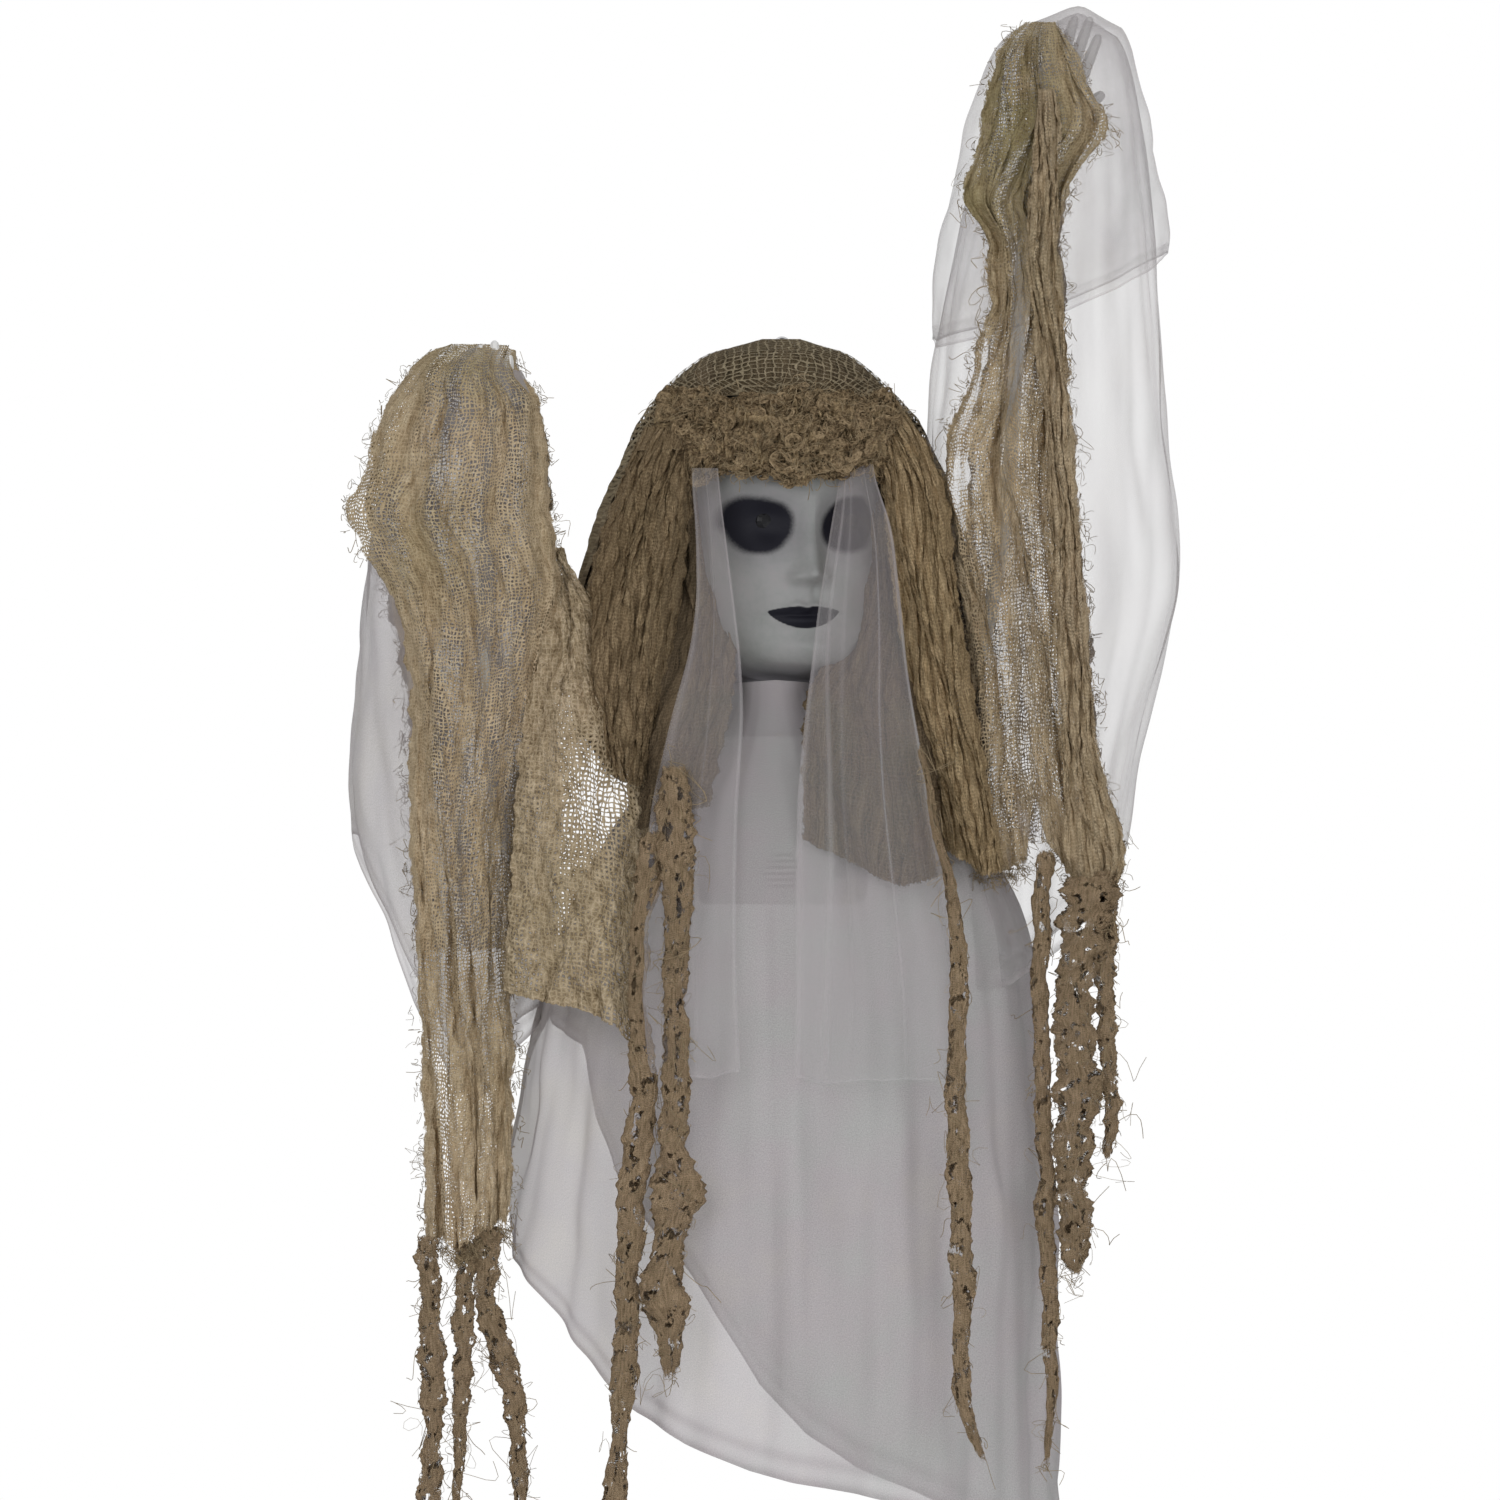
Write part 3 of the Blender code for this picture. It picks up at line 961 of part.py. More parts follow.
def fold_wave(angle, count, phase=0):
    """Rounded pleats around a hanging cloth."""
    wave = np.cos(count * angle + phase)
    return wave + 0.25 * np.cos(2 * count * angle + 1.7 * phase + 0.8)


def read_rows(table, places):
    """Read a table of shares straight between its rows, in metres."""
    table = pattern(table)
    steps = np.arange(len(table))
    return [np.interp(places, steps, table[:, index]) for index in range(table.shape[1])]


def make_robe():
    """The robe: a pleated tube from a flat collar on the box, open at the arms, with a slanted hem."""
    columns = 36
    angle = np.arange(columns) * math.tau / columns
    turn_from_face = np.degrees(np.arcsin(np.abs(np.sin(angle))))
    start = np.interp(turn_from_face, *np.transpose(ARMHOLE_SHARES))
    rows = np.arange(len(ROBE_SHARES))[:, None]
    places = np.minimum(np.maximum(rows, start + 0.03 * rows), rows[-1])
    drop, half, deep = read_rows(ROBE_SHARES, places)
    share = np.clip(drop / pattern(ROBE_SHARES[-1][0]), 0, 1)
    swell = ROBE_FOLD * share ** 0.6 * fold_wave(angle, ROBE_PLEATS) / 1.25
    x = (half + swell) * np.sin(angle)
    y = ROBE_SHIFT - (deep + swell) * np.cos(angle)
    z = ROBE_TOP - drop - HEM_SLANT_SHARE * x * share ** 1.5
    add_object("robe", cloth_mesh("robe", np.stack([x, y, z], axis=-1), around=True), "sheer")


def make_hood():
    """The hood: a gauze dome on the ring, short over the forehead and long at the sides and back."""
    columns = 32
    angle = np.arange(columns) * math.tau / columns
    turn = np.degrees(np.where(angle > math.pi, angle - math.tau, angle))
    end = np.where(np.abs(turn) < 60, HOOD_BROW_SHARE, 8.0)
    end = np.where((turn > 60) & (turn < 118), 5.65, end)
    end = np.where((turn < -60) & (turn > -118), 7.3, end)
    rows = np.linspace(0, 1, 12)[:, None]
    places = end * rows
    drop, half, deep = read_rows(HOOD_SHARES, places)
    share = np.clip(drop / pattern(HOOD_SHARES[-1][0]), 0, 1)
    swell = HOOD_FOLD * share ** 0.5 * fold_wave(angle, 8, 0.6) / 1.25
    grid = np.stack([(half + swell) * np.sin(angle), -(deep + swell) * np.cos(angle), HOOD_TOP - drop], axis=-1)
    grid[0] = (0, 0, HOOD_TOP)
    add_object("hood", cloth_mesh("hood", grid, around=True), "gauze")


def forehead_reach(angle):
    """The turned forehead's radius in a direction, angle 0 towards the front."""
    half, front = HEAD_WIDTH / 2, HEAD_DEPTH * 0.47 + SOCKET_DEPTH / 4
    straight = angle - HEAD_TURN
    return half * front / np.sqrt((half * np.cos(straight)) ** 2 + (front * np.sin(straight)) ** 2)


def band_grid():
    """Rings of the bunched roll, from the right end to the left: eight points around each."""
    step = np.arange(BAND_STEPS + 1)[:, None]
    turn = math.tau * np.arange(8) / 8
    angle = BAND_REACH * (2 * step / BAND_STEPS - 1)
    taper = np.minimum(1, 0.35 + 3.2 * np.minimum(step, BAND_STEPS - step) / BAND_STEPS)
    lump = 1 + 0.10 * np.sin(5.3 * step) + 0.06 * np.sin(2.1 * step)
    outer = np.where(np.cos(turn) > 0, lump, 1)
    radius = forehead_reach(angle) - BAND_SINK + BAND_THICK / 2 * (1 + np.cos(turn) * taper * outer)
    middle = BAND_Z - BAND_HEIGHT * 0.08 * np.cos(angle * 1.5)
    height = middle + BAND_HEIGHT / 2 * taper * (0.94 + 0.06 * lump) * np.sin(turn)
    return np.stack([radius * np.sin(angle), -radius * np.cos(angle), height], axis=-1)


def make_band():
    """The bunched roll of gauze across the forehead."""
    add_object("head_band", loft_mesh("head_band", list(band_grid())), "gauze")


def band_underside(angle, below):
    """Points under the band's lowest line, at angles from the front."""
    low = band_grid()[:, 6]
    around = np.arctan2(low[:, 0], -low[:, 1])
    points = np.stack([np.interp(angle, around, low[:, axis]) for axis in range(3)], axis=-1)
    points[..., 2] -= below
    return points


def make_curtains():
    """Gauze curtains that hang from the band on both sides of the face."""
    hems = {}
    for name, side, low, edges in (("right_curtain", -1, 7.4, RIGHT_CURTAIN_EDGE_SHARES),
                                   ("left_curtain", 1, 7.81, LEFT_CURTAIN_EDGE_SHARES)):
        rows = np.linspace(4.0, low, 9)[:, None]
        share = (rows - rows[0]) / (rows[-1] - rows[0])
        top_inner, low_inner, top_outer, low_outer = edges
        inner = top_inner + (low_inner - top_inner) * share
        outer = top_outer + (low_outer - top_outer) * share
        angle = inner + (outer - inner) * np.linspace(0, 1, 9)
        drop, half, deep = read_rows(HOOD_SHARES, rows + 0 * angle)
        swell = HOOD_FOLD * (2 + share * fold_wave(np.linspace(0, math.tau, 9), 2) / 1.25)
        x = (half + swell) * np.sin(angle)
        y = -(deep + swell) * np.cos(angle)
        grid = np.stack([side * x, y, HOOD_TOP - drop], axis=-1)
        grid[0] = band_underside(side * np.linspace(*CURTAIN_TOP_SHARES, 9), SEAT_GAP + CLOTH * 0.6)
        add_object(name, cloth_mesh(name, grid), "gauze")
        hems[name] = grid[-1]
    return hems


def panel_grid(table, side, top, columns, rows, fold, count):
    """A hanging panel between two edges: drop, inner edge, outer edge and forward place by row."""
    places = np.linspace(0, len(table) - 1, rows)[:, None]
    drop, inner, outer, forward = read_rows(table, places)
    across = np.linspace(0, 1, columns)
    share = drop / drop.max()
    y = -forward + fold * (0.3 + 0.7 * share) * np.sin(across * math.tau * count)
    x = inner + (outer - inner) * across
    return np.stack([side * x, y, top - drop + 0 * x], axis=-1)


def make_veils():
    """The parted veil: a sheer panel on each side of the face, down over the chest."""
    top = BAND_LOW - SEAT_GAP
    for name, side, table in (("right_veil", -1, RIGHT_VEIL_SHARES), ("left_veil", 1, LEFT_VEIL_SHARES)):
        grid = panel_grid(table, side, top, 12, 8, VEIL_FOLD, 3)
        grid[0] = band_underside(np.arctan2(grid[0, :, 0], -grid[0, :, 1]), SEAT_GAP + CLOTH / 4)
        add_object(name, cloth_mesh(name, grid), "sheer")


def make_panel(hem):
    """The gauze panel that goes on from the right curtain's hem towards the right arm."""
    rows = np.linspace(0, 1, 6)[:, None, None]
    columns = np.linspace(0, 1, 8)
    steps = np.linspace(0, 1, len(hem))
    top = np.stack([np.interp(columns, steps, hem[:, axis]) for axis in range(3)], axis=-1)
    top[:, 2] -= SEAT_GAP + CLOTH / 4
    inner, outer, forward, inner_drop, outer_drop = pattern(PANEL_HEM_SHARES)
    low = np.stack([-(inner + (outer - inner) * columns), -forward + VEIL_FOLD * np.sin(columns * math.tau * 2),
                    top[:, 2] - inner_drop - (outer_drop - inner_drop) * columns], axis=-1)
    grid = top + (low - top) * rows
    add_object("right_panel", cloth_mesh("right_panel", grid), "gauze")
    return grid[-1]


def layer_rise(layers):
    """How far above the fingertip a cloth lies, by the number of cloths under it."""
    return SEAT_GAP * 2.4 + CLOTH / 2 + layers * TIP_STEP


def sleeve_grid(table, side, tip, hem, grow, turns, columns, rows, fold, lift):
    """Cloth hung over a hand: sections around the arm from the fingertip down to a slanted hem.

    The angle runs from the outer side; turns below 1 leave the inner side open for the arm.
    """
    reach = math.pi * turns
    angle = (np.linspace(-reach, reach, columns) if turns < 1
             else np.arange(columns) * math.tau / columns - math.pi)
    toward = (1 - np.cos(angle)) / 2
    places = (hem[0] + (hem[1] - hem[0]) * toward) * np.linspace(0, 1, rows)[:, None]
    drop, outer, inner, back, deep = read_rows(table, places)
    share = np.clip(drop / pattern(table[-1][0]), 0, 1)
    swell = grow * np.clip(places, 0, 1) + fold * share * fold_wave(angle, 6)
    middle, half = (outer + inner) / 2, (outer - inner) / 2
    x = tip[0] + side * (middle + (half + swell) * np.cos(angle))
    y = tip[1] + back - (deep + swell) * np.sin(angle) * -side
    z = tip[2] + lift - drop
    return np.stack([x, y, z], axis=-1)


def make_sleeves(tips):
    """Sheer sleeves over both arms and the short over-drape on the left hand."""
    lift = layer_rise(0)
    for name, side, table, hem in (("right_sleeve", -1, RIGHT_SLEEVE_SHARES, RIGHT_HEM_SHARES),
                                   ("left_sleeve", 1, LEFT_SLEEVE_SHARES, LEFT_HEM_SHARES)):
        grid = sleeve_grid(table, side, tips[name.split("_")[0]], hem, 0, 0.84, 21, 11, SLEEVE_FOLD, lift)
        add_object(name, cloth_mesh(name, grid), "sheer", (side * AXLE_X, 0, AXLE_Z))
    grid = sleeve_grid(LEFT_SLEEVE_SHARES, 1, tips["left"], DRAPE_HEM_SHARES, LAYER_GAP, 1, 18, 7,
                       SLEEVE_FOLD, layer_rise(DRAPE_LIFT_SHARE))
    add_object("left_drape", cloth_mesh("left_drape", grid, around=True), "sheer", (AXLE_X, 0, AXLE_Z))


def gauze_grid(front, back, sleeve, side, tip, layers, rise):
    """Gauze laid over a hand: up the front of the sleeve, across the fingertip and down its back."""
    drops = [row[0] for row in front] + [0, 0] + [row[0] for row in back]
    inner = [row[1] for row in front] + [-0.28, -0.28] + [row[1] for row in back]
    outer = [row[2] for row in front] + [0.42, 0.42] + [row[2] for row in back]
    steps = np.arange(len(drops))
    places = steps[:, None]
    drop = np.interp(places, steps, pattern(drops))
    left = np.interp(places, steps, pattern(inner))
    right = np.interp(places, steps, pattern(outer))
    table = pattern(sleeve)
    middle = np.interp(drop, table[:, 0], table[:, 3])
    deep = np.interp(drop, table[:, 0], table[:, 4])
    face = np.clip((places - (len(front) + 0.5)) * 2, -1, 1)
    clear = SLEEVE_FOLD * 1.4 + LAYER_GAP * layers
    near_top = np.clip(1 - drop / pattern(0.3), 0, 1)
    across = np.linspace(0, 1, 9)
    y = tip[1] + middle + face * (deep + clear) + SLEEVE_FOLD * 0.5 * np.sin(across * math.tau * 2.5) * (1 - near_top)
    x = tip[0] + side * (left + (right - left) * across)
    z = tip[2] + layer_rise(rise) - drop + 0 * x
    return np.stack([x, y, z], axis=-1)


def strip_mesh(name, top, shifts, length, size, forward=0):
    """A torn strip that twists as it hangs: small flattened rings from its top to a ragged tip."""
    loops = []
    count = len(STRIP_SIZE_SHARES)
    drift = np.interp(np.linspace(0, len(shifts) - 1, count), np.arange(len(shifts)), pattern(shifts))
    for index, scale in enumerate(STRIP_SIZE_SHARES):
        share = index / (count - 1)
        x = top[0] + drift[index]
        y = top[1] - forward * (0.5 + 0.5 * min(1, share * 4))
        turn = 1.1 * index
        loops.append([(x + size * scale * math.cos(math.tau * step / 6 + turn),
                       y + size * scale * 0.45 * math.sin(math.tau * step / 6 + turn), top[2] - length * share)
                      for step in range(6)])
    return loft_mesh(name, loops)


def make_gauzes(tips):
    """Gauze over both arms, each torn into three strips at its hem."""
    right = gauze_grid(RIGHT_GAUZE_FRONT_SHARES, RIGHT_GAUZE_BACK_SHARES, RIGHT_SLEEVE_SHARES, -1,
                       tips["right"], 1, RIGHT_GAUZE_LIFT_SHARE)
    left = gauze_grid(LEFT_GAUZE_FRONT_SHARES, LEFT_GAUZE_BACK_SHARES, LEFT_SLEEVE_SHARES, 1,
                      tips["left"], 2, LEFT_GAUZE_LIFT_SHARE)
    for name, side, grid, strips in (("right_gauze", -1, right, RIGHT_STRIP_SHARES),
                                     ("left_gauze", 1, left, LEFT_STRIP_SHARES)):
        part = add_object(name, cloth_mesh(name, grid), "gauze", (side * AXLE_X, 0, AXLE_Z))
        hem = grid[0]
        for share, shifts, long_share, wide_share in strips:
            size = STRIP_WIDTH * wide_share
            spot = np.array([np.interp(share, np.linspace(0, 1, len(hem)), hem[:, axis]) for axis in range(3)])
            spot[2] += size
            join(part, strip_mesh("strip", spot, shifts, STRIP_LENGTH * long_share, size))


# Strips torn from a hem: place along it, sideways drift, length and half width as shares.
STRIP_WIDTH = 8 * MM
RIGHT_STRIP_SHARES = ((0.17, (0, 0.12, 0.22, 0.29, 0.33), 1.02, 1.0), (0.50, (0, -0.02, 0.01, -0.06), 0.80, 0.8),
                      (0.83, (0, 0.02, 0.03, 0, 0.02), 1.0, 1.1))
LEFT_STRIP_SHARES = ((0.15, (0, -0.02, 0.01, 0.03), 1.38, 0.65), (0.52, (0, -0.04, 0.02, 0.05), 0.94, 1.6),
                     (0.86, (0, 0.02, 0.05, 0.04), 0.60, 0.8))
# Front strips: node, hem that it hangs from, then the same shares and how far it stands forward.
FRONT_STRIP_SHARES = (("right_front_strip", "panel", 0.06, (0, -0.08, -0.12, -0.18, -0.14), 1.48, 1.3, 0.128),
                      ("middle_front_strip", "right_curtain", 0.05, (0, -0.02, 0, -0.12, -0.06), 1.28, 1.5, 0.168),
                      ("left_front_strip", "left_curtain", 0.04, (0, 0.16, 0.24, 0.22, 0.26, 0.5), 1.55, 0.85, 0.10))


def make_front_strips(hems):
    """The three torn strips that hang in front of the robe from the hems above them."""
    for name, hem, share, shifts, long_share, wide_share, forward in FRONT_STRIP_SHARES:
        row = hems[hem]
        size = STRIP_WIDTH * wide_share
        spot = np.array([np.interp(share, np.linspace(0, 1, len(row)), row[:, axis]) for axis in range(3)])
        spot[2] -= SEAT_GAP
        mesh = strip_mesh(name, spot, shifts, STRIP_LENGTH * long_share, size, pattern(forward))
        add_object(name, mesh, "gauze")


def main():
    clear_scene()
    pivot = bpy.data.objects.new("head_pivot", None)
    pivot.rotation_euler = (0, 0, HEAD_TURN)
    bpy.context.collection.objects.link(pivot)
    make_head_shells(pivot)
    make_eyes(pivot)
    make_neck(pivot)
    make_head_drive(pivot)
    make_hanger()
    make_box()
    make_arm_drive()
    make_arm_gears()
    tips = make_arms()
    make_robe()
    make_hood()
    make_band()
    hems = make_curtains()
    hems["panel"] = make_panel(hems["right_curtain"])
    make_veils()
    make_sleeves(tips)
    make_gauzes(tips)
    make_front_strips(hems)


main()
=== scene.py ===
import math
import bpy
import numpy as np
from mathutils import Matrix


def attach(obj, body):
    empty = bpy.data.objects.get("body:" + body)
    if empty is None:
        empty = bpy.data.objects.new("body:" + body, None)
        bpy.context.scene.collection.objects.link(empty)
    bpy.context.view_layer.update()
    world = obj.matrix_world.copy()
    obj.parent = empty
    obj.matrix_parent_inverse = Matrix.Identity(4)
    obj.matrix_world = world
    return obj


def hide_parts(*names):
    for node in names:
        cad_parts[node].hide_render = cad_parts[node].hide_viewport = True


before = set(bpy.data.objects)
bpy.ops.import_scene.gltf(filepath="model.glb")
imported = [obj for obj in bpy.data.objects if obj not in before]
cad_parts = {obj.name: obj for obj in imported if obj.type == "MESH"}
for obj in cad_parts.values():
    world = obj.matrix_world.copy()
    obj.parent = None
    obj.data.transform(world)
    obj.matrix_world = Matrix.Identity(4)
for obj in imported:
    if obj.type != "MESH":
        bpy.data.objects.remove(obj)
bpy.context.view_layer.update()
print("frame loaded:", len(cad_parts), "nodes")

# The photograph's framing: metres per pixel, the pixel column and row of the hanging ring, camera distance.
view = {"scale": 0.0008, "ringColumn": 782, "ringRow": 345, "middle": 750, "distance": 10.0, "sensor": 36.0}
middleX = (view["middle"] - view["ringColumn"]) * view["scale"]
middleZ = (view["ringRow"] - view["middle"]) * view["scale"]
imageWidth = 1500 * view["scale"]


def spot(column, row, depth=0.0):
    # A place in metres under a pixel of the photograph, at a depth along Y: scaled by its distance.
    reach = (view["distance"] + depth) / view["distance"] * view["scale"]
    return np.stack(np.broadcast_arrays(middleX + (np.asarray(column, float) - view["middle"]) * reach, depth,
                                        middleZ + (view["middle"] - np.asarray(row, float)) * reach), axis=-1)


def smoothRows(table, places):
    # A table of rows read at fractional places: the Catmull-Rom curve through the rows.
    table = np.asarray(table, float)
    places = np.clip(np.asarray(places, float), 0, len(table) - 1)
    start = np.minimum(places.astype(int), len(table) - 2)
    share = (places - start)[..., None]
    before, first = table[np.maximum(start - 1, 0)], table[start]
    second, after = table[start + 1], table[np.minimum(start + 2, len(table) - 1)]
    return 0.5 * (2 * first + (second - before) * share
                  + (2 * before - 5 * first + 4 * second - after) * share ** 2
                  + (3 * (first - second) + after - before) * share ** 3)


def hill(value, centre, width):
    # A smooth bump of height 1: e to the power of minus the squared distance over the squared width.
    return np.exp(-((value - centre) / width) ** 2)


def ripple(u, v, seed, scale=(6, 3), octaves=4, waves=3):
    # Seeded smooth noise on a sheet, about -1 to 1: a sum of crossed sines whose pitch doubles.
    rng = np.random.default_rng(seed)
    total, weight = 0, 0
    for octave in range(octaves):
        size = 2 ** octave
        for wave in range(waves):
            a, b = rng.uniform(0.5, 1, 2) * size * np.array(scale) * rng.choice([-1, 1], 2)
            total = total + np.sin(math.tau * (a * u + b * v) + rng.uniform(0, math.tau)) / size
            weight += 0.6 / size  # crossed sines seldom peak together
    return total / weight


def pleats(u, v, count, seed, drift=0.35, sharp=0.7, parts=3, closed=False):
    # Hanging folds: sines across the sheet whose phase drifts down it, with the ridges made rounder.
    rng = np.random.default_rng(seed)
    total = 0
    pitches = (1, 2, 3) if closed else (1.0, 1.9, 3.3)
    for share, pitch in list(zip((1.0, 0.5, 0.28), pitches))[:parts]:
        phase = rng.uniform(0, math.tau)
        wander = drift * np.sin(math.tau * (rng.uniform(0.4, 1.1) * v + rng.uniform(0, 1)))
        wave = np.sin(math.tau * (count * pitch * u + wander) + phase)
        total = total + share * np.sign(wave) * np.abs(wave) ** sharp
    return total / 1.6


def arcLengths(points, axis):
    # Distance run along one axis of a grid of points, starting at 0.
    steps = np.linalg.norm(np.diff(points, axis=axis), axis=-1)
    runs = np.cumsum(steps, axis=axis)
    return np.concatenate([np.zeros_like(np.take(runs, [0], axis=axis)), runs], axis=axis)


def addPiece(name, mesh, material=None):
    piece = bpy.data.objects.new(name, mesh)
    bpy.context.collection.objects.link(piece)
    if material:
        mesh.materials.append(material)
    return piece


def gridMesh(name, points, around=False, gather=1.0, marks=None, material=None):
    # A sheet from a rows x columns grid of points; its UV map is the flat cloth in metres, u across times
    # gather, v down, and each mark is a float attribute with a value for each point.
    rows, columns = points.shape[:2]
    if around:
        points = np.concatenate([points, points[:, :1]], axis=1)
        marks = {key: np.concatenate([value, value[:, :1]], axis=1) for key, value in (marks or {}).items()}
        columns += 1
    index = np.arange(rows * columns).reshape(rows, columns)
    quads = np.stack([index[:-1, :-1], index[:-1, 1:], index[1:, 1:], index[1:, :-1]], axis=-1).reshape(-1, 4)
    mesh = bpy.data.meshes.new(name)
    mesh.vertices.add(rows * columns)
    mesh.vertices.foreach_set("co", points.reshape(-1))
    mesh.loops.add(quads.size)
    mesh.loops.foreach_set("vertex_index", quads.reshape(-1))
    mesh.polygons.add(len(quads))
    mesh.polygons.foreach_set("loop_start", np.arange(0, quads.size, 4))
    mesh.update(calc_edges=True)
    u = arcLengths(points, 1).mean(axis=0)[None, :] * gather + 0 * points[..., 0]
    v = arcLengths(points, 0).mean(axis=1)[:, None] + 0 * points[..., 0]
    flat = np.stack([u, v], axis=-1).reshape(-1, 2)
    layer = mesh.uv_layers.new(name="cloth")
    layer.data.foreach_set("uv", flat[quads.reshape(-1)].reshape(-1))
    for key, value in (marks or {}).items():
        held = mesh.attributes.new(key, "FLOAT", "POINT")
        held.data.foreach_set("value", np.broadcast_to(value, (rows, columns)).astype(np.float32).reshape(-1))
    mesh.polygons.foreach_set("use_smooth", np.ones(len(quads), bool))
    return addPiece(name, mesh, material)


def sheetPiece(name, points, marks, material, body, nodes, around=False, gather=1.0):
    # A sheet that rides on a body and stands for its CAD nodes.
    piece = gridMesh(name, points, around=around, gather=gather, marks=marks, material=material)
    if body:
        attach(piece, body)
    if nodes:
        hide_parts(*nodes)
    return piece


def foldDensity(points, high, steep=1.4):
    # How much a sheet turns away from the front, 0 flat on to 1 edge on, from its own normals.
    normal = np.cross(np.gradient(points, axis=1), np.gradient(points, axis=0))
    length = np.maximum(np.linalg.norm(normal, axis=-1), 1e-12)
    tilt = 1 - np.abs(normal[..., 1]) / length
    return high * np.clip(tilt * steep, 0, 1)


def tubeMesh(name, routes, radii, sides=3, material=None):
    # Many thin tubes in one mesh: rings of a few points around each route, swept along it.
    vertices, faces, base = [], [], 0
    turn = math.tau * np.arange(sides) / sides
    askew = np.array([0.31, 0.95, 0.05])  # no thread runs along this way
    for route, radius in zip(routes, radii):
        route = np.asarray(route, float)
        count = len(route)
        along = np.gradient(route, axis=0)
        along /= np.maximum(np.linalg.norm(along, axis=1, keepdims=True), 1e-12)
        side = np.cross(along, askew)
        side /= np.maximum(np.linalg.norm(side, axis=1, keepdims=True), 1e-12)
        over = np.cross(along, side)
        size = np.broadcast_to(radius, (count,))[:, None, None]
        ring = (side[:, None] * np.cos(turn)[None, :, None] + over[:, None] * np.sin(turn)[None, :, None]) * size
        vertices.append((route[:, None] + ring).reshape(-1, 3))
        index = base + np.arange(count * sides).reshape(count, sides)
        after = np.roll(index, -1, axis=1)
        faces.append(np.stack([index[:-1], after[:-1], after[1:], index[1:]], axis=-1).reshape(-1, 4))
        base += count * sides
    mesh = bpy.data.meshes.new(name)
    mesh.from_pydata(np.concatenate(vertices), [], np.concatenate(faces).tolist())
    mesh.polygons.foreach_set("use_smooth", np.ones(len(mesh.polygons), bool))
    return addPiece(name, mesh, material)


# Shader node groups shared by the materials.
def nodeGroup(name, inputs, outputs):
    # An empty group with its sockets: (name, kind, default) for each input and (name, kind) for each
    # output.
    group = bpy.data.node_groups.new(name, "ShaderNodeTree")
    for label, kind, default in inputs:
        held = group.interface.new_socket(label, in_out="INPUT", socket_type=kind)
        if default is not None:
            held.default_value = default
    for label, kind in outputs:
        group.interface.new_socket(label, in_out="OUTPUT", socket_type=kind)
    return group, group.nodes.new("NodeGroupInput"), group.nodes.new("NodeGroupOutput")


def addNode(tree, kind, links=None, **values):
    # A node with its settings: a value goes on the socket or the property of its name; a link joins an
    # input.
    node = tree.nodes.new(kind)
    for key, value in values.items():
        setattr(node, key, value)
    for socket, source in (links or {}).items():
        if isinstance(source, bpy.types.NodeSocket):
            tree.links.new(source, node.inputs[socket])
        else:
            node.inputs[socket].default_value = source
    return node


def mathNode(tree, operation, first, second=0.5, third=None, clamp=False):
    links = {0: first, 1: second}
    if third is not None:
        links[2] = third
    return addNode(tree, "ShaderNodeMath", links, operation=operation, use_clamp=clamp).outputs[0]


def noiseNode(tree, vector, scale, detail=2.0, rough=0.5, colour=False):
    node = addNode(tree, "ShaderNodeTexNoise", {"Vector": vector, "Scale": scale, "Detail": detail,
                                                "Roughness": rough})
    return node.outputs["Color" if colour else "Fac"]


def rampNode(tree, value, stops, smooth=False):
    # A colour ramp: (place, colour) stops, colour a grey or red, green and blue.
    node = addNode(tree, "ShaderNodeValToRGB", {"Fac": value})
    ramp = node.color_ramp
    ramp.interpolation = "EASE" if smooth else "LINEAR"
    while len(ramp.elements) < len(stops):
        ramp.elements.new(0.5)
    for element, (place, colour) in zip(ramp.elements, stops):
        element.position = place
        element.color = (*((colour,) * 3 if isinstance(colour, (int, float)) else colour), 1)
    return node.outputs["Color"]


def mixNode(tree, share, first, second, blend="MIX"):
    node = tree.nodes.new("ShaderNodeMix")
    node.data_type, node.blend_type = "RGBA", blend
    for socket, source in ((node.inputs[0], share), (node.inputs[6], first), (node.inputs[7], second)):
        if isinstance(source, bpy.types.NodeSocket):
            tree.links.new(source, socket)
        else:
            socket.default_value = source if isinstance(source, (int, float)) else (*source, 1)
    return node.outputs[2]


def rangeNode(tree, value, low, high, outLow=0.0, outHigh=1.0, smooth=True):
    node = addNode(tree, "ShaderNodeMapRange", {0: value, 1: low, 2: high, 3: outLow, 4: outHigh})
    node.interpolation_type = "SMOOTHSTEP" if smooth else "LINEAR"
    return node.outputs[0]


weaveShape = {"wander": ((45.0, 2.0, 1.0), (300.0, 1.0, 0.22)), "thickScale": 140.0, "thickSpread": 0.30,
              "fillShare": 0.45, "sharp": 9.0, "round": 4.0, "holeScale": 60.0, "holeRough": 0.65, "tearShare": 0.5,
              "tornFrom": 0.12, "tornTo": 0.17}


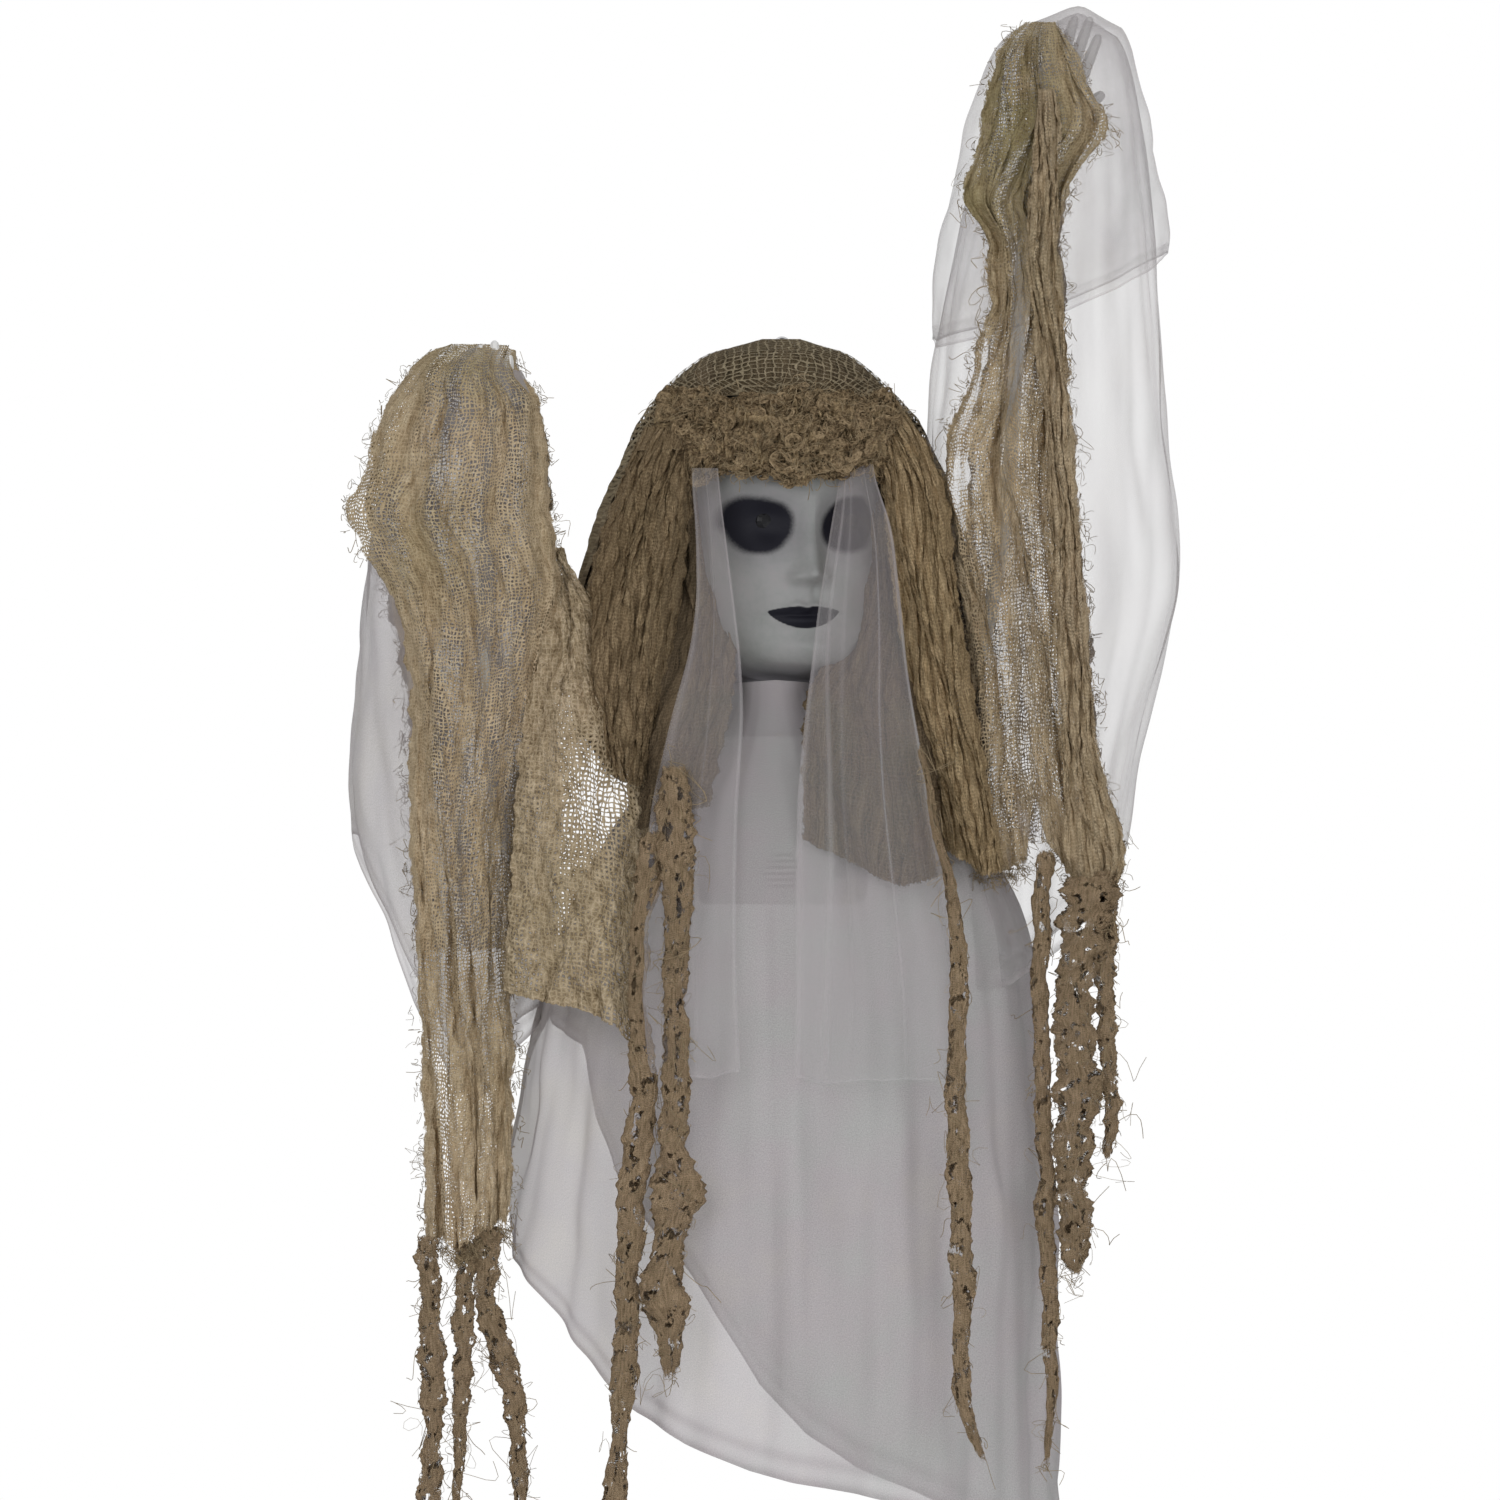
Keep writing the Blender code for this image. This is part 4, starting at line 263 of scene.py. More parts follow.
def makeWeave():
    # Open weave in the cloth's own metres: two sets of wandering threads. Cover is 1 on a thread, Height
    # its round section; Density widens the threads until the holes close, Tear opens ragged holes.
    inputs = [("Vector", "NodeSocketVector", None), ("Cell", "NodeSocketFloat", 0.0042),
              ("Thread", "NodeSocketFloat", 0.15), ("Warp", "NodeSocketFloat", 0.004),
              ("Density", "NodeSocketFloat", 0.0), ("Tear", "NodeSocketFloat", 0.0)]
    group, start, end = nodeGroup("weave", inputs, [("Cover", "NodeSocketFloat"), ("Height", "NodeSocketFloat")])
    vector = start.outputs["Vector"]
    moved = vector
    shape = weaveShape
    for scale, detail, share in shape["wander"]:
        shift = addNode(group, "ShaderNodeVectorMath", {0: noiseNode(group, vector, scale, detail, colour=True),
                                                        1: (0.5, 0.5, 0.5)}, operation="SUBTRACT").outputs[0]
        size = mathNode(group, "MULTIPLY", start.outputs["Warp"], share * 2)
        shift = addNode(group, "ShaderNodeVectorMath", {0: shift, "Scale": size}, operation="SCALE").outputs[0]
        moved = addNode(group, "ShaderNodeVectorMath", {0: moved, 1: shift}, operation="ADD").outputs[0]
    parts = addNode(group, "ShaderNodeSeparateXYZ", {0: moved})
    thick = mathNode(group, "MULTIPLY_ADD", noiseNode(group, vector, shape["thickScale"]),
                     shape["thickSpread"], -shape["thickSpread"] / 2)
    thick = mathNode(group, "ADD", mathNode(group, "ADD", start.outputs["Thread"], thick),
                     mathNode(group, "MULTIPLY", start.outputs["Density"], shape["fillShare"]))
    covers, heights = [], []
    for axis in range(2):
        place = mathNode(group, "DIVIDE", parts.outputs[axis], start.outputs["Cell"])
        away = mathNode(group, "PINGPONG", place, 0.5)
        inside = mathNode(group, "SUBTRACT", thick, away)
        covers.append(mathNode(group, "MULTIPLY_ADD", inside, shape["sharp"], 0.5, clamp=True))
        fall = mathNode(group, "MULTIPLY", away, shape["round"])
        heights.append(mathNode(group, "SUBTRACT", 1.0, fall, clamp=True))
    cover = mathNode(group, "MAXIMUM", covers[0], covers[1])
    holes = noiseNode(group, vector, shape["holeScale"], 3.0, shape["holeRough"])
    torn = mathNode(group, "MULTIPLY", start.outputs["Tear"], shape["tearShare"])
    kept = rangeNode(group, mathNode(group, "SUBTRACT", holes, torn), shape["tornFrom"], shape["tornTo"])
    group.links.new(mathNode(group, "MULTIPLY", cover, kept), end.inputs["Cover"])
    group.links.new(mathNode(group, "MAXIMUM", heights[0], heights[1]), end.inputs["Height"])
    return group


blotchShape = {"detail": 3.0, "rough": 0.6, "fineTimes": 9.0, "fineShare": 0.38, "low": 0.32, "high": 0.68}


def makeBlotch():
    # Uneven dye or dirt: broad and fine noise added together, about 0 to 1.
    group, start, end = nodeGroup("blotch", [("Vector", "NodeSocketVector", None),
                                             ("Scale", "NodeSocketFloat", 20.0)],
                                  [("Value", "NodeSocketFloat")])
    vector, scale = start.outputs["Vector"], start.outputs["Scale"]
    shape = blotchShape
    broad = noiseNode(group, vector, scale, shape["detail"], shape["rough"])
    fineScale = mathNode(group, "MULTIPLY", scale, shape["fineTimes"])
    fine = noiseNode(group, vector, fineScale, shape["detail"], shape["rough"])
    total = mathNode(group, "ADD", mathNode(group, "MULTIPLY", broad, 1 - shape["fineShare"]),
                     mathNode(group, "MULTIPLY", fine, shape["fineShare"]))
    group.links.new(rangeNode(group, total, shape["low"], shape["high"], smooth=False), end.inputs["Value"])
    return group


def makeGrain():
    # Fine even grain for colour, roughness and bump.
    group, start, end = nodeGroup("grain", [("Vector", "NodeSocketVector", None),
                                            ("Scale", "NodeSocketFloat", 900.0)],
                                  [("Value", "NodeSocketFloat")])
    group.links.new(noiseNode(group, start.outputs["Vector"], start.outputs["Scale"], 2.0, 0.7),
                    end.inputs["Value"])
    return group


weaveGroup, blotchGroup, grainGroup = makeWeave(), makeBlotch(), makeGrain()


def useGroup(tree, group, **links):
    node = tree.nodes.new("ShaderNodeGroup")
    node.node_tree = group
    for socket, source in links.items():
        if isinstance(source, bpy.types.NodeSocket):
            tree.links.new(source, node.inputs[socket])
        else:
            node.inputs[socket].default_value = source
    return node.outputs


def newMaterial(name):
    # A material with its tree, its Principled node, and the Object and cloth coordinates.
    material = bpy.data.materials.new(name)
    material.use_nodes = True
    tree = material.node_tree
    shader = tree.nodes["Principled BSDF"]
    place = addNode(tree, "ShaderNodeTexCoord").outputs["Object"]
    cloth = addNode(tree, "ShaderNodeUVMap", uv_map="cloth").outputs[0]
    return material, tree, shader, place, cloth


def readMark(tree, name):
    return addNode(tree, "ShaderNodeAttribute", attribute_name=name).outputs["Fac"]


def bumpNode(tree, shader, height, strength, distance):
    bump = addNode(tree, "ShaderNodeBump", {"Height": height, "Strength": strength, "Distance": distance})
    tree.links.new(bump.outputs[0], shader.inputs["Normal"])


def makeGauze(name, look):
    # Open-weave creepy cloth: alpha from the weave, closed by the density mark, ragged by the edge mark.
    material, tree, shader, place, cloth = newMaterial(name)
    density, edge = readMark(tree, "fill"), readMark(tree, "edge")
    clumps = useGroup(tree, blotchGroup, Vector=place, Scale=look["clump"])["Value"]
    total = mathNode(tree, "ADD", density,
                     mathNode(tree, "MULTIPLY_ADD", clumps, look["uneven"], -look["uneven"] / 2))
    weave = useGroup(tree, weaveGroup, Vector=cloth, Cell=look["cell"], Thread=look["thread"], Warp=look["warp"],
                     Density=total, Tear=look["tear"])
    frayNoise = noiseNode(tree, cloth, look["fray"], 4.0, 0.75)
    frayed = rangeNode(tree, mathNode(tree, "SUBTRACT", edge, frayNoise), *look["frayed"])
    alpha = mathNode(tree, "MULTIPLY", weave["Cover"], frayed)
    tree.links.new(alpha, shader.inputs["Alpha"])
    fine = useGroup(tree, blotchGroup, Vector=cloth, Scale=look["fine"])["Value"]
    stretched = addNode(tree, "ShaderNodeVectorMath", {0: cloth, 1: (1, look["streakRun"], 1)},
                        operation="MULTIPLY")
    streak = useGroup(tree, blotchGroup, Vector=stretched.outputs[0], Scale=look["streakScale"])["Value"]
    soft = mixNode(tree, look["streak"], fine, streak)
    # Part of the colour follows the weave's Height: lighter along each thread's middle and darker at its sides, a
    # painted shade of the round threads.
    value = mathNode(tree, "ADD", mathNode(tree, "MULTIPLY", soft, 1 - look["threadShade"]),
                     mathNode(tree, "MULTIPLY", weave["Height"], look["threadShade"]))
    colour = rampNode(tree, value, tuple(zip(look["stops"], (look["dark"], look["mid"], look["light"]))))
    broad = useGroup(tree, blotchGroup, Vector=place, Scale=look["broadScale"])["Value"]
    olive = mixNode(tree, look["oliveShare"], colour, look["olive"], "MULTIPLY")
    stain = mathNode(tree, "MULTIPLY", readMark(tree, "stain"), rangeNode(tree, clumps, *look["stained"]),
                     clamp=True)
    colour = mixNode(tree, mathNode(tree, "MULTIPLY_ADD", broad, look["broadStain"], stain, clamp=True), colour,
                     olive)
    tree.links.new(colour, shader.inputs["Base Color"])
    shader.inputs["Roughness"].default_value = look["rough"]
    shader.inputs["Specular IOR Level"].default_value = look["specular"]
    height = mathNode(tree, "ADD", weave["Height"], mathNode(tree, "MULTIPLY", fine, look["fineBump"]))
    bumpNode(tree, shader, height, look["bump"], look["bumpDistance"])
    return material


def makeSheer(name, look):
    # Fine sheer fabric: alpha rises in folds and hems by the fold mark, with a faint tint across the cloth.
    material, tree, shader, place, cloth = newMaterial(name)
    fold = readMark(tree, "fold")
    fine = useGroup(tree, grainGroup, Vector=cloth, Scale=look["grain"])["Value"]
    cloud = useGroup(tree, blotchGroup, Vector=place, Scale=look["cloudScale"])["Value"]
    tint = rampNode(tree, cloud, tuple(zip(look["stops"], (look["cool"], look["base"], look["warm"]))))
    specks = rampNode(tree, fine, tuple(zip(look["speckStops"], (look["speck"], 1.0))))
    shade = mixNode(tree, 1.0, tint, specks, "MULTIPLY")
    tree.links.new(shade, shader.inputs["Base Color"])
    alpha = mathNode(tree, "MULTIPLY_ADD", fold, look["foldAlpha"], look["alpha"])
    thin = mathNode(tree, "MULTIPLY_ADD", fine, look["thinning"], -look["thinning"] / 2)
    alpha = mathNode(tree, "ADD", alpha, thin, clamp=True)
    tree.links.new(alpha, shader.inputs["Alpha"])
    shader.inputs["Roughness"].default_value = look["rough"]
    shader.inputs["Sheen Weight"].default_value = look["sheen"]
    shader.inputs["Specular IOR Level"].default_value = look["specular"]
    bumpNode(tree, shader, fine, look["bump"], look["bumpDistance"])
    return material


gauzeLook = {"cell": 0.0032, "thread": 0.20, "warp": 0.0052, "tear": 0.30, "fray": 150.0, "fine": 90.0,
             "clump": 26.0, "uneven": 0.55, "bump": 0.6, "streak": 0.45, "streakScale": 110.0, "streakRun": 0.10,
             "dark": (0.25, 0.18, 0.105), "mid": (0.60, 0.46, 0.30), "light": (0.84, 0.70, 0.50),
             "olive": (0.46, 0.50, 0.34), "oliveShare": 0.75, "stained": (-0.3, 0.5), "broadScale": 7.0,
             "broadStain": 0.35, "frayed": (-0.16, -0.04), "threadShade": 0.25, "stops": (0.12, 0.45, 0.85),
             "rough": 0.95, "specular": 0.1, "fineBump": 1.5, "bumpDistance": 0.0018}
gauze = makeGauze("gauzeCloth", gauzeLook)
netLook = {**gauzeLook, "cell": 0.0042, "thread": 0.13, "tear": 0.1, "uneven": 0.25, "warp": 0.0036, "streak": 0.2}
# The hair gauzes are darker copies of the arm gauze. Their darkening is painted shade for the lesser light round
# the head.
shadedHairLook = {**gauzeLook, "thread": 0.24, "tear": 0.1, "streak": 0.85, "streakScale": 170.0, "streakRun": 0.05,
            "dark": (0.08, 0.055, 0.031), "mid": (0.305, 0.22, 0.13), "light": (0.58, 0.44, 0.28)}
shadedHair = makeGauze("gauzeShadedHair", shadedHairLook)
web = makeGauze("gauzeWeb", {**netLook, "dark": (0.17, 0.12, 0.065), "mid": (0.50, 0.39, 0.255),
                             "light": (0.80, 0.66, 0.48)})
paleHair = makeGauze("gauzePaleHair", {**shadedHairLook, "dark": (0.12, 0.085, 0.05), "mid": (0.46, 0.335, 0.195),
                                       "light": (0.78, 0.60, 0.37)})
torn = makeGauze("gauzeTorn", {**gauzeLook, "dark": (0.17, 0.115, 0.065), "mid": (0.64, 0.455, 0.285),
                               "light": (0.92, 0.70, 0.48), "streak": 0.8, "streakScale": 420.0, "streakRun": 0.16,
                               "cell": 0.0017, "thread": 0.30, "uneven": 0.9, "tear": 0.55, "warp": 0.006,
                               "fine": 240.0, "clump": 60.0, "bump": 0.9})
# The hood's net is a darker copy as well: painted shade over the crown.
crownLook = {**netLook, "dark": (0.13, 0.10, 0.07), "mid": (0.33, 0.265, 0.185), "light": (0.56, 0.46, 0.33),
             "cell": 0.0068, "thread": 0.10, "warp": 0.006, "uneven": 0.2}
crown = makeGauze("gauzeCrown", crownLook)
# A closed, near-black gauze for the sheets under the hood and behind the curtains: painted shade.
shadeLiningLook = {**shadedHairLook, "thread": 0.6, "tear": 0.0, "dark": (0.06, 0.046, 0.031), "mid": (0.17, 0.125, 0.08),
              "light": (0.30, 0.225, 0.145)}
shadeLining = makeGauze("gauzeShadeLining", shadeLiningLook)
sheerLook = {"grain": 1100.0, "base": (0.61, 0.565, 0.585), "cool": (0.585, 0.585, 0.58),
             "warm": (0.66, 0.615, 0.59), "speck": 0.70, "alpha": 0.73, "foldAlpha": 0.26, "cloudScale": 2.2,
             "stops": (0.15, 0.5, 0.85), "speckStops": (0.3, 0.7), "thinning": 0.16, "rough": 0.85, "sheen": 0.15,
             "specular": 0.15, "bump": 0.15, "bumpDistance": 0.0006}
sheer = makeSheer("sheerCloth", sheerLook)
thinSheer = makeSheer("sheerThin", {**sheerLook, "alpha": 0.15, "foldAlpha": 0.48})
drapeSheer = makeSheer("sheerDrape", {**sheerLook, "alpha": 0.11, "foldAlpha": 0.48})
midSheer = makeSheer("sheerMiddle", {**sheerLook, "alpha": 0.42, "foldAlpha": 0.42})
veilCloth = makeSheer("veilCloth", {**sheerLook, "alpha": 0.25, "foldAlpha": 0.44})
print("cloth materials made")

# Stage: a pale floor under the figure, a white surround seen by the camera, soft lights from the front.
stageLook = {"floorZ": -1.17, "floorRadius": 2.3, "floorGrey": (0.84, 0.88), "dustScale": 1.5, "ambient": 0.36,
             "key": ((-1.3, -3.4, 0.7), 2.0, 37.0), "fill": ((1.7, -3.2, -0.5), 2.0, 28.0),
             "top": ((0.3, 0.6, 2.4), 1.6, 9.0)}
scene = bpy.context.scene
scene.view_settings.view_transform = "Standard"
scene.cycles.transparent_max_bounces = 32
world = bpy.data.worlds.new("surround")
scene.world = world
world.use_nodes = True
tree = world.node_tree
path = addNode(tree, "ShaderNodeLightPath").outputs
seen = mathNode(tree, "MAXIMUM", path["Is Camera Ray"], mathNode(tree, "MAXIMUM", path["Is Glossy Ray"],
                                                                path["Is Transmission Ray"]))
background = tree.nodes["Background"]
background.inputs["Color"].default_value = (1, 1, 1, 1)
tree.links.new(mathNode(tree, "MULTIPLY_ADD", seen, 1 - stageLook["ambient"], stageLook["ambient"]),
               background.inputs["Strength"])


def addFloor():
    turns = np.linspace(0, math.tau, 96, endpoint=False)
    ring = np.stack([np.cos(turns), np.sin(turns), 0 * turns], axis=-1)
    points = np.stack([ring * stageLook["floorRadius"] * share for share in (1.0, 0.5, 0.0)])
    points[..., 2] = stageLook["floorZ"]
    floor = gridMesh("floor", points[:, ::-1], around=True)
    material, tree, shader, place, cloth = newMaterial("floorPaint")
    dust = useGroup(tree, blotchGroup, Vector=place, Scale=stageLook["dustScale"])["Value"]
    greys = tuple(zip((0.0, 1.0), stageLook["floorGrey"]))
    tree.links.new(rampNode(tree, dust, greys), shader.inputs["Base Color"])
    shader.inputs["Roughness"].default_value = 0.9
    floor.data.materials.append(material)


def addLight(name, place, size, power):
    lamp = bpy.data.lights.new(name, "AREA")
    lamp.size, lamp.energy = size, power
    held = bpy.data.objects.new(name, lamp)
    held.location = place
    way = np.array([middleX, 0, middleZ]) - np.array(place)
    held.rotation_euler = (math.atan2(math.hypot(way[0], way[1]), -way[2]), 0, math.atan2(-way[0], way[1]))
    bpy.context.collection.objects.link(held)


addFloor()
for name in ("key", "fill", "top"):
    addLight(name, *stageLook[name])
lens = bpy.data.cameras.new("camera")
lens.lens = view["sensor"] * view["distance"] / imageWidth
lens.sensor_width = view["sensor"]
lens.clip_end = 60
camera = bpy.data.objects.new("camera", lens)
camera.location = (middleX, -view["distance"], middleZ)
camera.rotation_euler = (math.pi / 2, 0, 0)
bpy.context.collection.objects.link(camera)
scene.camera = camera
print("stage made")


# Finishes of the CAD nodes, one for each slot of the record.
wearLook = {"scale": 60.0, "grainScale": 2400.0, "wornTo": 0.6, "uneven": 0.08, "bump": 0.12,
            "bumpDistance": 0.0003}


def makeHard(name, base, dark, rough, metal=0.0, shine=0.5):
    material, tree, shader, place, cloth = newMaterial(name)
    wear = useGroup(tree, blotchGroup, Vector=place, Scale=wearLook["scale"])["Value"]
    fine = useGroup(tree, grainGroup, Vector=place, Scale=wearLook["grainScale"])["Value"]
    tree.links.new(rampNode(tree, wear, ((0.0, dark), (wearLook["wornTo"], base))), shader.inputs["Base Color"])
    spread = rangeNode(tree, fine, 0.2, 0.8, rough - wearLook["uneven"], rough + wearLook["uneven"], smooth=False)
    tree.links.new(spread, shader.inputs["Roughness"])
    shader.inputs["Metallic"].default_value = metal
    shader.inputs["Specular IOR Level"].default_value = shine
    bumpNode(tree, shader, mathNode(tree, "ADD", fine, wear), wearLook["bump"], wearLook["bumpDistance"])
    return material


# slot: colour, worn colour, roughness, then metal and shine where they differ
hardLooks = {"white_plastic": ((0.84, 0.84, 0.83), (0.76, 0.75, 0.73), 0.5),
             "grey_plastic": ((0.62, 0.61, 0.60), (0.50, 0.49, 0.48), 0.55),
             "black_eye": ((0.012, 0.012, 0.014), (0.006, 0.006, 0.006), 0.22, 0.0, 0.12),
             "steel": ((0.55, 0.55, 0.56), (0.36, 0.35, 0.34), 0.32, 1.0),
             "brass": ((0.62, 0.44, 0.18), (0.40, 0.28, 0.12), 0.3, 1.0),
             "gear_plastic": ((0.68, 0.66, 0.60), (0.55, 0.52, 0.46), 0.4),
             "board_green": ((0.02, 0.16, 0.06), (0.01, 0.08, 0.03), 0.4),
             "cell_jacket": ((0.10, 0.10, 0.11), (0.42, 0.24, 0.08), 0.3)}
hardMaterials = {slotName: makeHard(slotName + "Finish", *values) for slotName, values in hardLooks.items()}
hardMaterials["gauze"] = gauze
hardMaterials["sheer"] = sheer
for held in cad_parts.values():
    for socket in held.material_slots:
        socket.material = hardMaterials[socket.material.name.split(".")[0]]
print("finishes set")


# Outlines are rows of pixels of the photograph: row, left column, right column, then depths in metres. They are
# read straight between rows, or as the mean of five reads spread over smooth pixels each way.
def rowsAt(table, row, smooth=0.0):
    table = np.asarray(table, float)
    if not smooth:
        return [np.interp(row, table[:, 0], table[:, index]) for index in range(1, table.shape[1])]
    shares = (-1.0, -0.5, 0.0, 0.5, 1.0)
    reads = [[np.interp(row + smooth * share, table[:, 0], table[:, index]) for share in shares]
             for index in range(1, table.shape[1])]
    return [np.mean(read, axis=0) for read in reads]


def makeRobe():
    look = {"columns": 340, "rows": 200, "middle": 0.012, "fold": 0.0055, "pleats": 15, "smooth": 30, "fall": 0.95,
            "foldsFrom": 704, "foldsGrow": 500, "still": 0.04, "swell": 0.006, "lean": 0.8, "toward": 2.2,
            "foldMark": 0.55, "waveMark": 0.30, "hemMark": (1.0, 0.009), "seamMark": (0.970, 0.008, 0.5),
            "creaseStart": 60,
            "creases": ((537, 1010, 0.42, 11, 0.55), (568, 1010, 0.26, 8, 0.5), (718, 1290, 0.86, 12, 0.25),
                        (770, 900, 0.02, 3, 0.35), (800, 1000, 0.02, 4, 0.3), (942, 1150, -0.05, 7, 0.35)),
            "sides": ((668, 726, 824, 0.074, 0.050), (700, 724, 828, 0.074, 0.052), (735, 706, 858, 0.076, 0.060),
                      (765, 664, 900, 0.078, 0.070), (800, 628, 948, 0.088, 0.078), (870, 590, 1004, 0.096, 0.084),
                      (950, 556, 1036, 0.102, 0.092), (1050, 530, 1046, 0.108, 0.100),
                      (1200, 508, 1052, 0.114, 0.106), (1400, 502, 1058, 0.118, 0.110),
                      (1640, 500, 1060, 0.120, 0.114)),
            "top": ((0, 680), (60, 684), (75, 702), (81, 760), (86, 850), (90, 905)),
            "front": ((480, 1190), (500, 1225), (516, 1250), (542, 1291), (572, 1337), (613, 1391), (631, 1411),
                      (686, 1445), (749, 1471), (792, 1483), (858, 1494), (930, 1512), (1000, 1540), (1070, 1575)),
            "back": ((480, 985), (540, 1012), (575, 1045), (598, 1120), (632, 1205), (689, 1268), (719, 1318),
                     (759, 1384), (806, 1434), (858, 1468), (930, 1500), (1000, 1535), (1070, 1570))}
    angle = np.linspace(-math.pi, math.pi, look["columns"], endpoint=False)[None, :]
    face = -np.cos(angle)
    turn = np.degrees(np.arcsin(np.clip(np.abs(np.sin(angle)), 0, 1)))
    top = np.interp(turn, *np.transpose(look["top"]))
    share = np.linspace(0, 1, look["rows"])[:, None] ** look["fall"]
    hem = np.full_like(angle, 1250.0)
    for step in range(6):  # the hem depends on the column, and the column on the hem's row
        left, right, deep, back = rowsAt(look["sides"], hem)
        column = (left + right) / 2 - (right - left) / 2 * np.sin(angle)
        toward = np.clip(face * look["toward"] + 0.5, 0, 1)
        toward = toward ** 2 * (3 - 2 * toward)
        front, behind = (np.interp(column, *np.transpose(look[key])) for key in ("front", "back"))
        hem = behind + (front - behind) * (1 - toward)
    row = top + (hem - top) * share
    left, right, front, back = rowsAt(look["sides"], row, smooth=look["smooth"])
    column = (left + right) / 2 - (right - left) / 2 * np.sin(angle)
    long = np.clip((row - look["foldsFrom"]) / look["foldsGrow"], 0, 1)
    wave = pleats(angle / math.tau, share, look["pleats"], 11, drift=0.5, sharp=0.9, closed=True)
    soft = ripple(angle / math.tau, share, 12, (5, 2.5), 3)
    swell = look["fold"] * (look["still"] + (1 - look["still"]) * long) * wave + look["swell"] * soft * long
    deep = np.where(face < 0, front, back) + swell
    depth = look["middle"] + face * deep
    points = spot(column, row, depth)
    points[..., 0] -= swell * np.sin(angle) * look["lean"]
    fold = foldDensity(points, look["foldMark"]) + look["waveMark"] * np.clip(wave, 0, 1) ** 2 * long
    edge = hill(share, *look["hemMark"]) + hill(share, *look["seamMark"][:2]) * look["seamMark"][2]
    for column0, row0, lean, wide, strength in look["creases"]:
        away = column - column0 - (row - row0) * lean
        below = np.clip((row - row0) / look["creaseStart"] + 0.5, 0, 1)
        edge = edge + strength * hill(away, 0, wide) * below * (face > 0)
    points = points[:, ::-1]
    marks = {"fold": (fold + edge)[:, ::-1]}
    return sheetPiece("robeCloth", points, marks, sheer, "chassis", ["robe"],
                      around=True)


sleeveShape = {"fall": 1.15, "smooth": 14, "foldsGrow": 260, "lean": 0.7, "foldMark": 0.5, "waveMark": 0.28,
               "hemWide": 0.008, "seam": 0.4, "thickTo": 60}


def sleeveTube(name, look, body, node, material):
    # Cloth hung over a hand: rings from the fingertip down to a slanted hem, closed on top.
    columns, rows = look["columns"], look["rows"]
    angle = np.linspace(-math.pi, math.pi, columns, endpoint=False)[None, :]
    face = -np.cos(angle)
    share = np.linspace(0, 1, rows)[:, None] ** sleeveShape["fall"]
    top = look["sides"][0][0]
    hem = np.full_like(angle, look["sides"][-1][0] - 60.0)
    for step in range(8):  # as for the robe's hem
        left, right, middle, deep = rowsAt(look["sides"], hem)
        column = (left + right) / 2 - (right - left) / 2 * np.sin(angle)
        hem = np.interp(column, *np.transpose(look["hem"])) - look["lift"] * np.clip(face + 0.3, 0, 1)
    row = top + (hem - top) * share
    left, right, middle, deep = rowsAt(look["sides"], row, smooth=sleeveShape["smooth"])
    close = np.sqrt(np.clip((row - top) / look["dome"], 0, 1))
    long = np.clip((row - top) / sleeveShape["foldsGrow"], 0, 1)
    wave = pleats(angle / math.tau, share, look["pleats"], look["seed"], drift=0.45, sharp=0.9, closed=True)
    soft = ripple(angle / math.tau, share, look["seed"] + 1, (4, 2.5), 3)
    swell = (look["fold"] * wave + look["soft"] * soft) * long
    column = (left + right) / 2 - (right - left) / 2 * close * np.sin(angle)
    depth = middle + face * (deep * close + swell)
    points = spot(column, row, depth)
    points[..., 0] -= swell * np.sin(angle) * sleeveShape["lean"]
    fold = foldDensity(points, sleeveShape["foldMark"]) + sleeveShape["waveMark"] * np.clip(wave, 0, 1) ** 2 * long
    hemLine, seamLine = (hill(share, place, sleeveShape["hemWide"]) for place in (1.0, 0.97))
    fold = fold + hemLine + sleeveShape["seam"] * seamLine
    fold = fold + look.get("thick", 0.0) * hill(row, top, sleeveShape["thickTo"])
    points = points[:, ::-1]
    return sheetPiece(name, points, {"fold": fold[:, ::-1]}, material, body, [node],
                      around=True)


rightSleeve = {"columns": 200, "rows": 170, "seed": 21, "pleats": 7, "fold": 0.0040, "soft": 0.004, "dome": 26.0,
               "lift": 30, "rests": ["right_hand"],
               "sides": ((346, 452, 506, -0.118, 0.010), (365, 440, 520, -0.112, 0.028),
                         (400, 412, 536, -0.108, 0.040), (450, 393, 545, -0.098, 0.050),
                         (520, 374, 548, -0.082, 0.053), (600, 363, 550, -0.052, 0.058),
                         (680, 356, 552, -0.012, 0.062), (760, 351, 556, 0.010, 0.070),
                         (830, 351, 560, 0.020, 0.076), (950, 366, 552, 0.022, 0.078),
                         (1190, 392, 520, 0.022, 0.070)),
               "hem": ((346, 832), (355, 853), (376, 909), (394, 950), (414, 1001), (455, 1085), (480, 1100),
                       (510, 1060), (566, 990))}
leftSleeve = {"columns": 200, "rows": 200, "seed": 31, "pleats": 8, "fold": 0.0042, "soft": 0.004, "dome": 24.0,
              "lift": 20, "rests": ["left_hand"],
              "sides": ((13, 1062, 1096, -0.036, 0.010), (36, 1022, 1120, -0.036, 0.024),
                        (70, 1000, 1132, -0.036, 0.036), (115, 988, 1140, -0.036, 0.044),
                        (200, 968, 1150, -0.034, 0.050), (300, 945, 1158, -0.026, 0.055),
                        (357, 935, 1163, -0.022, 0.057), (438, 926, 1168, -0.014, 0.060),
                        (500, 926, 1176, -0.004, 0.063), (554, 930, 1182, 0.004, 0.065),
                        (597, 936, 1180, 0.010, 0.067), (663, 945, 1163, 0.016, 0.070),
                        (712, 950, 1148, 0.017, 0.072), (768, 956, 1134, 0.017, 0.073),
                        (825, 962, 1126, 0.017, 0.074), (900, 972, 1112, 0.017, 0.075),
                        (1010, 980, 1100, 0.017, 0.075)),
              "hem": ((960, 1000), (1010, 985), (1060, 950), (1095, 910), (1112, 893), (1130, 850))}
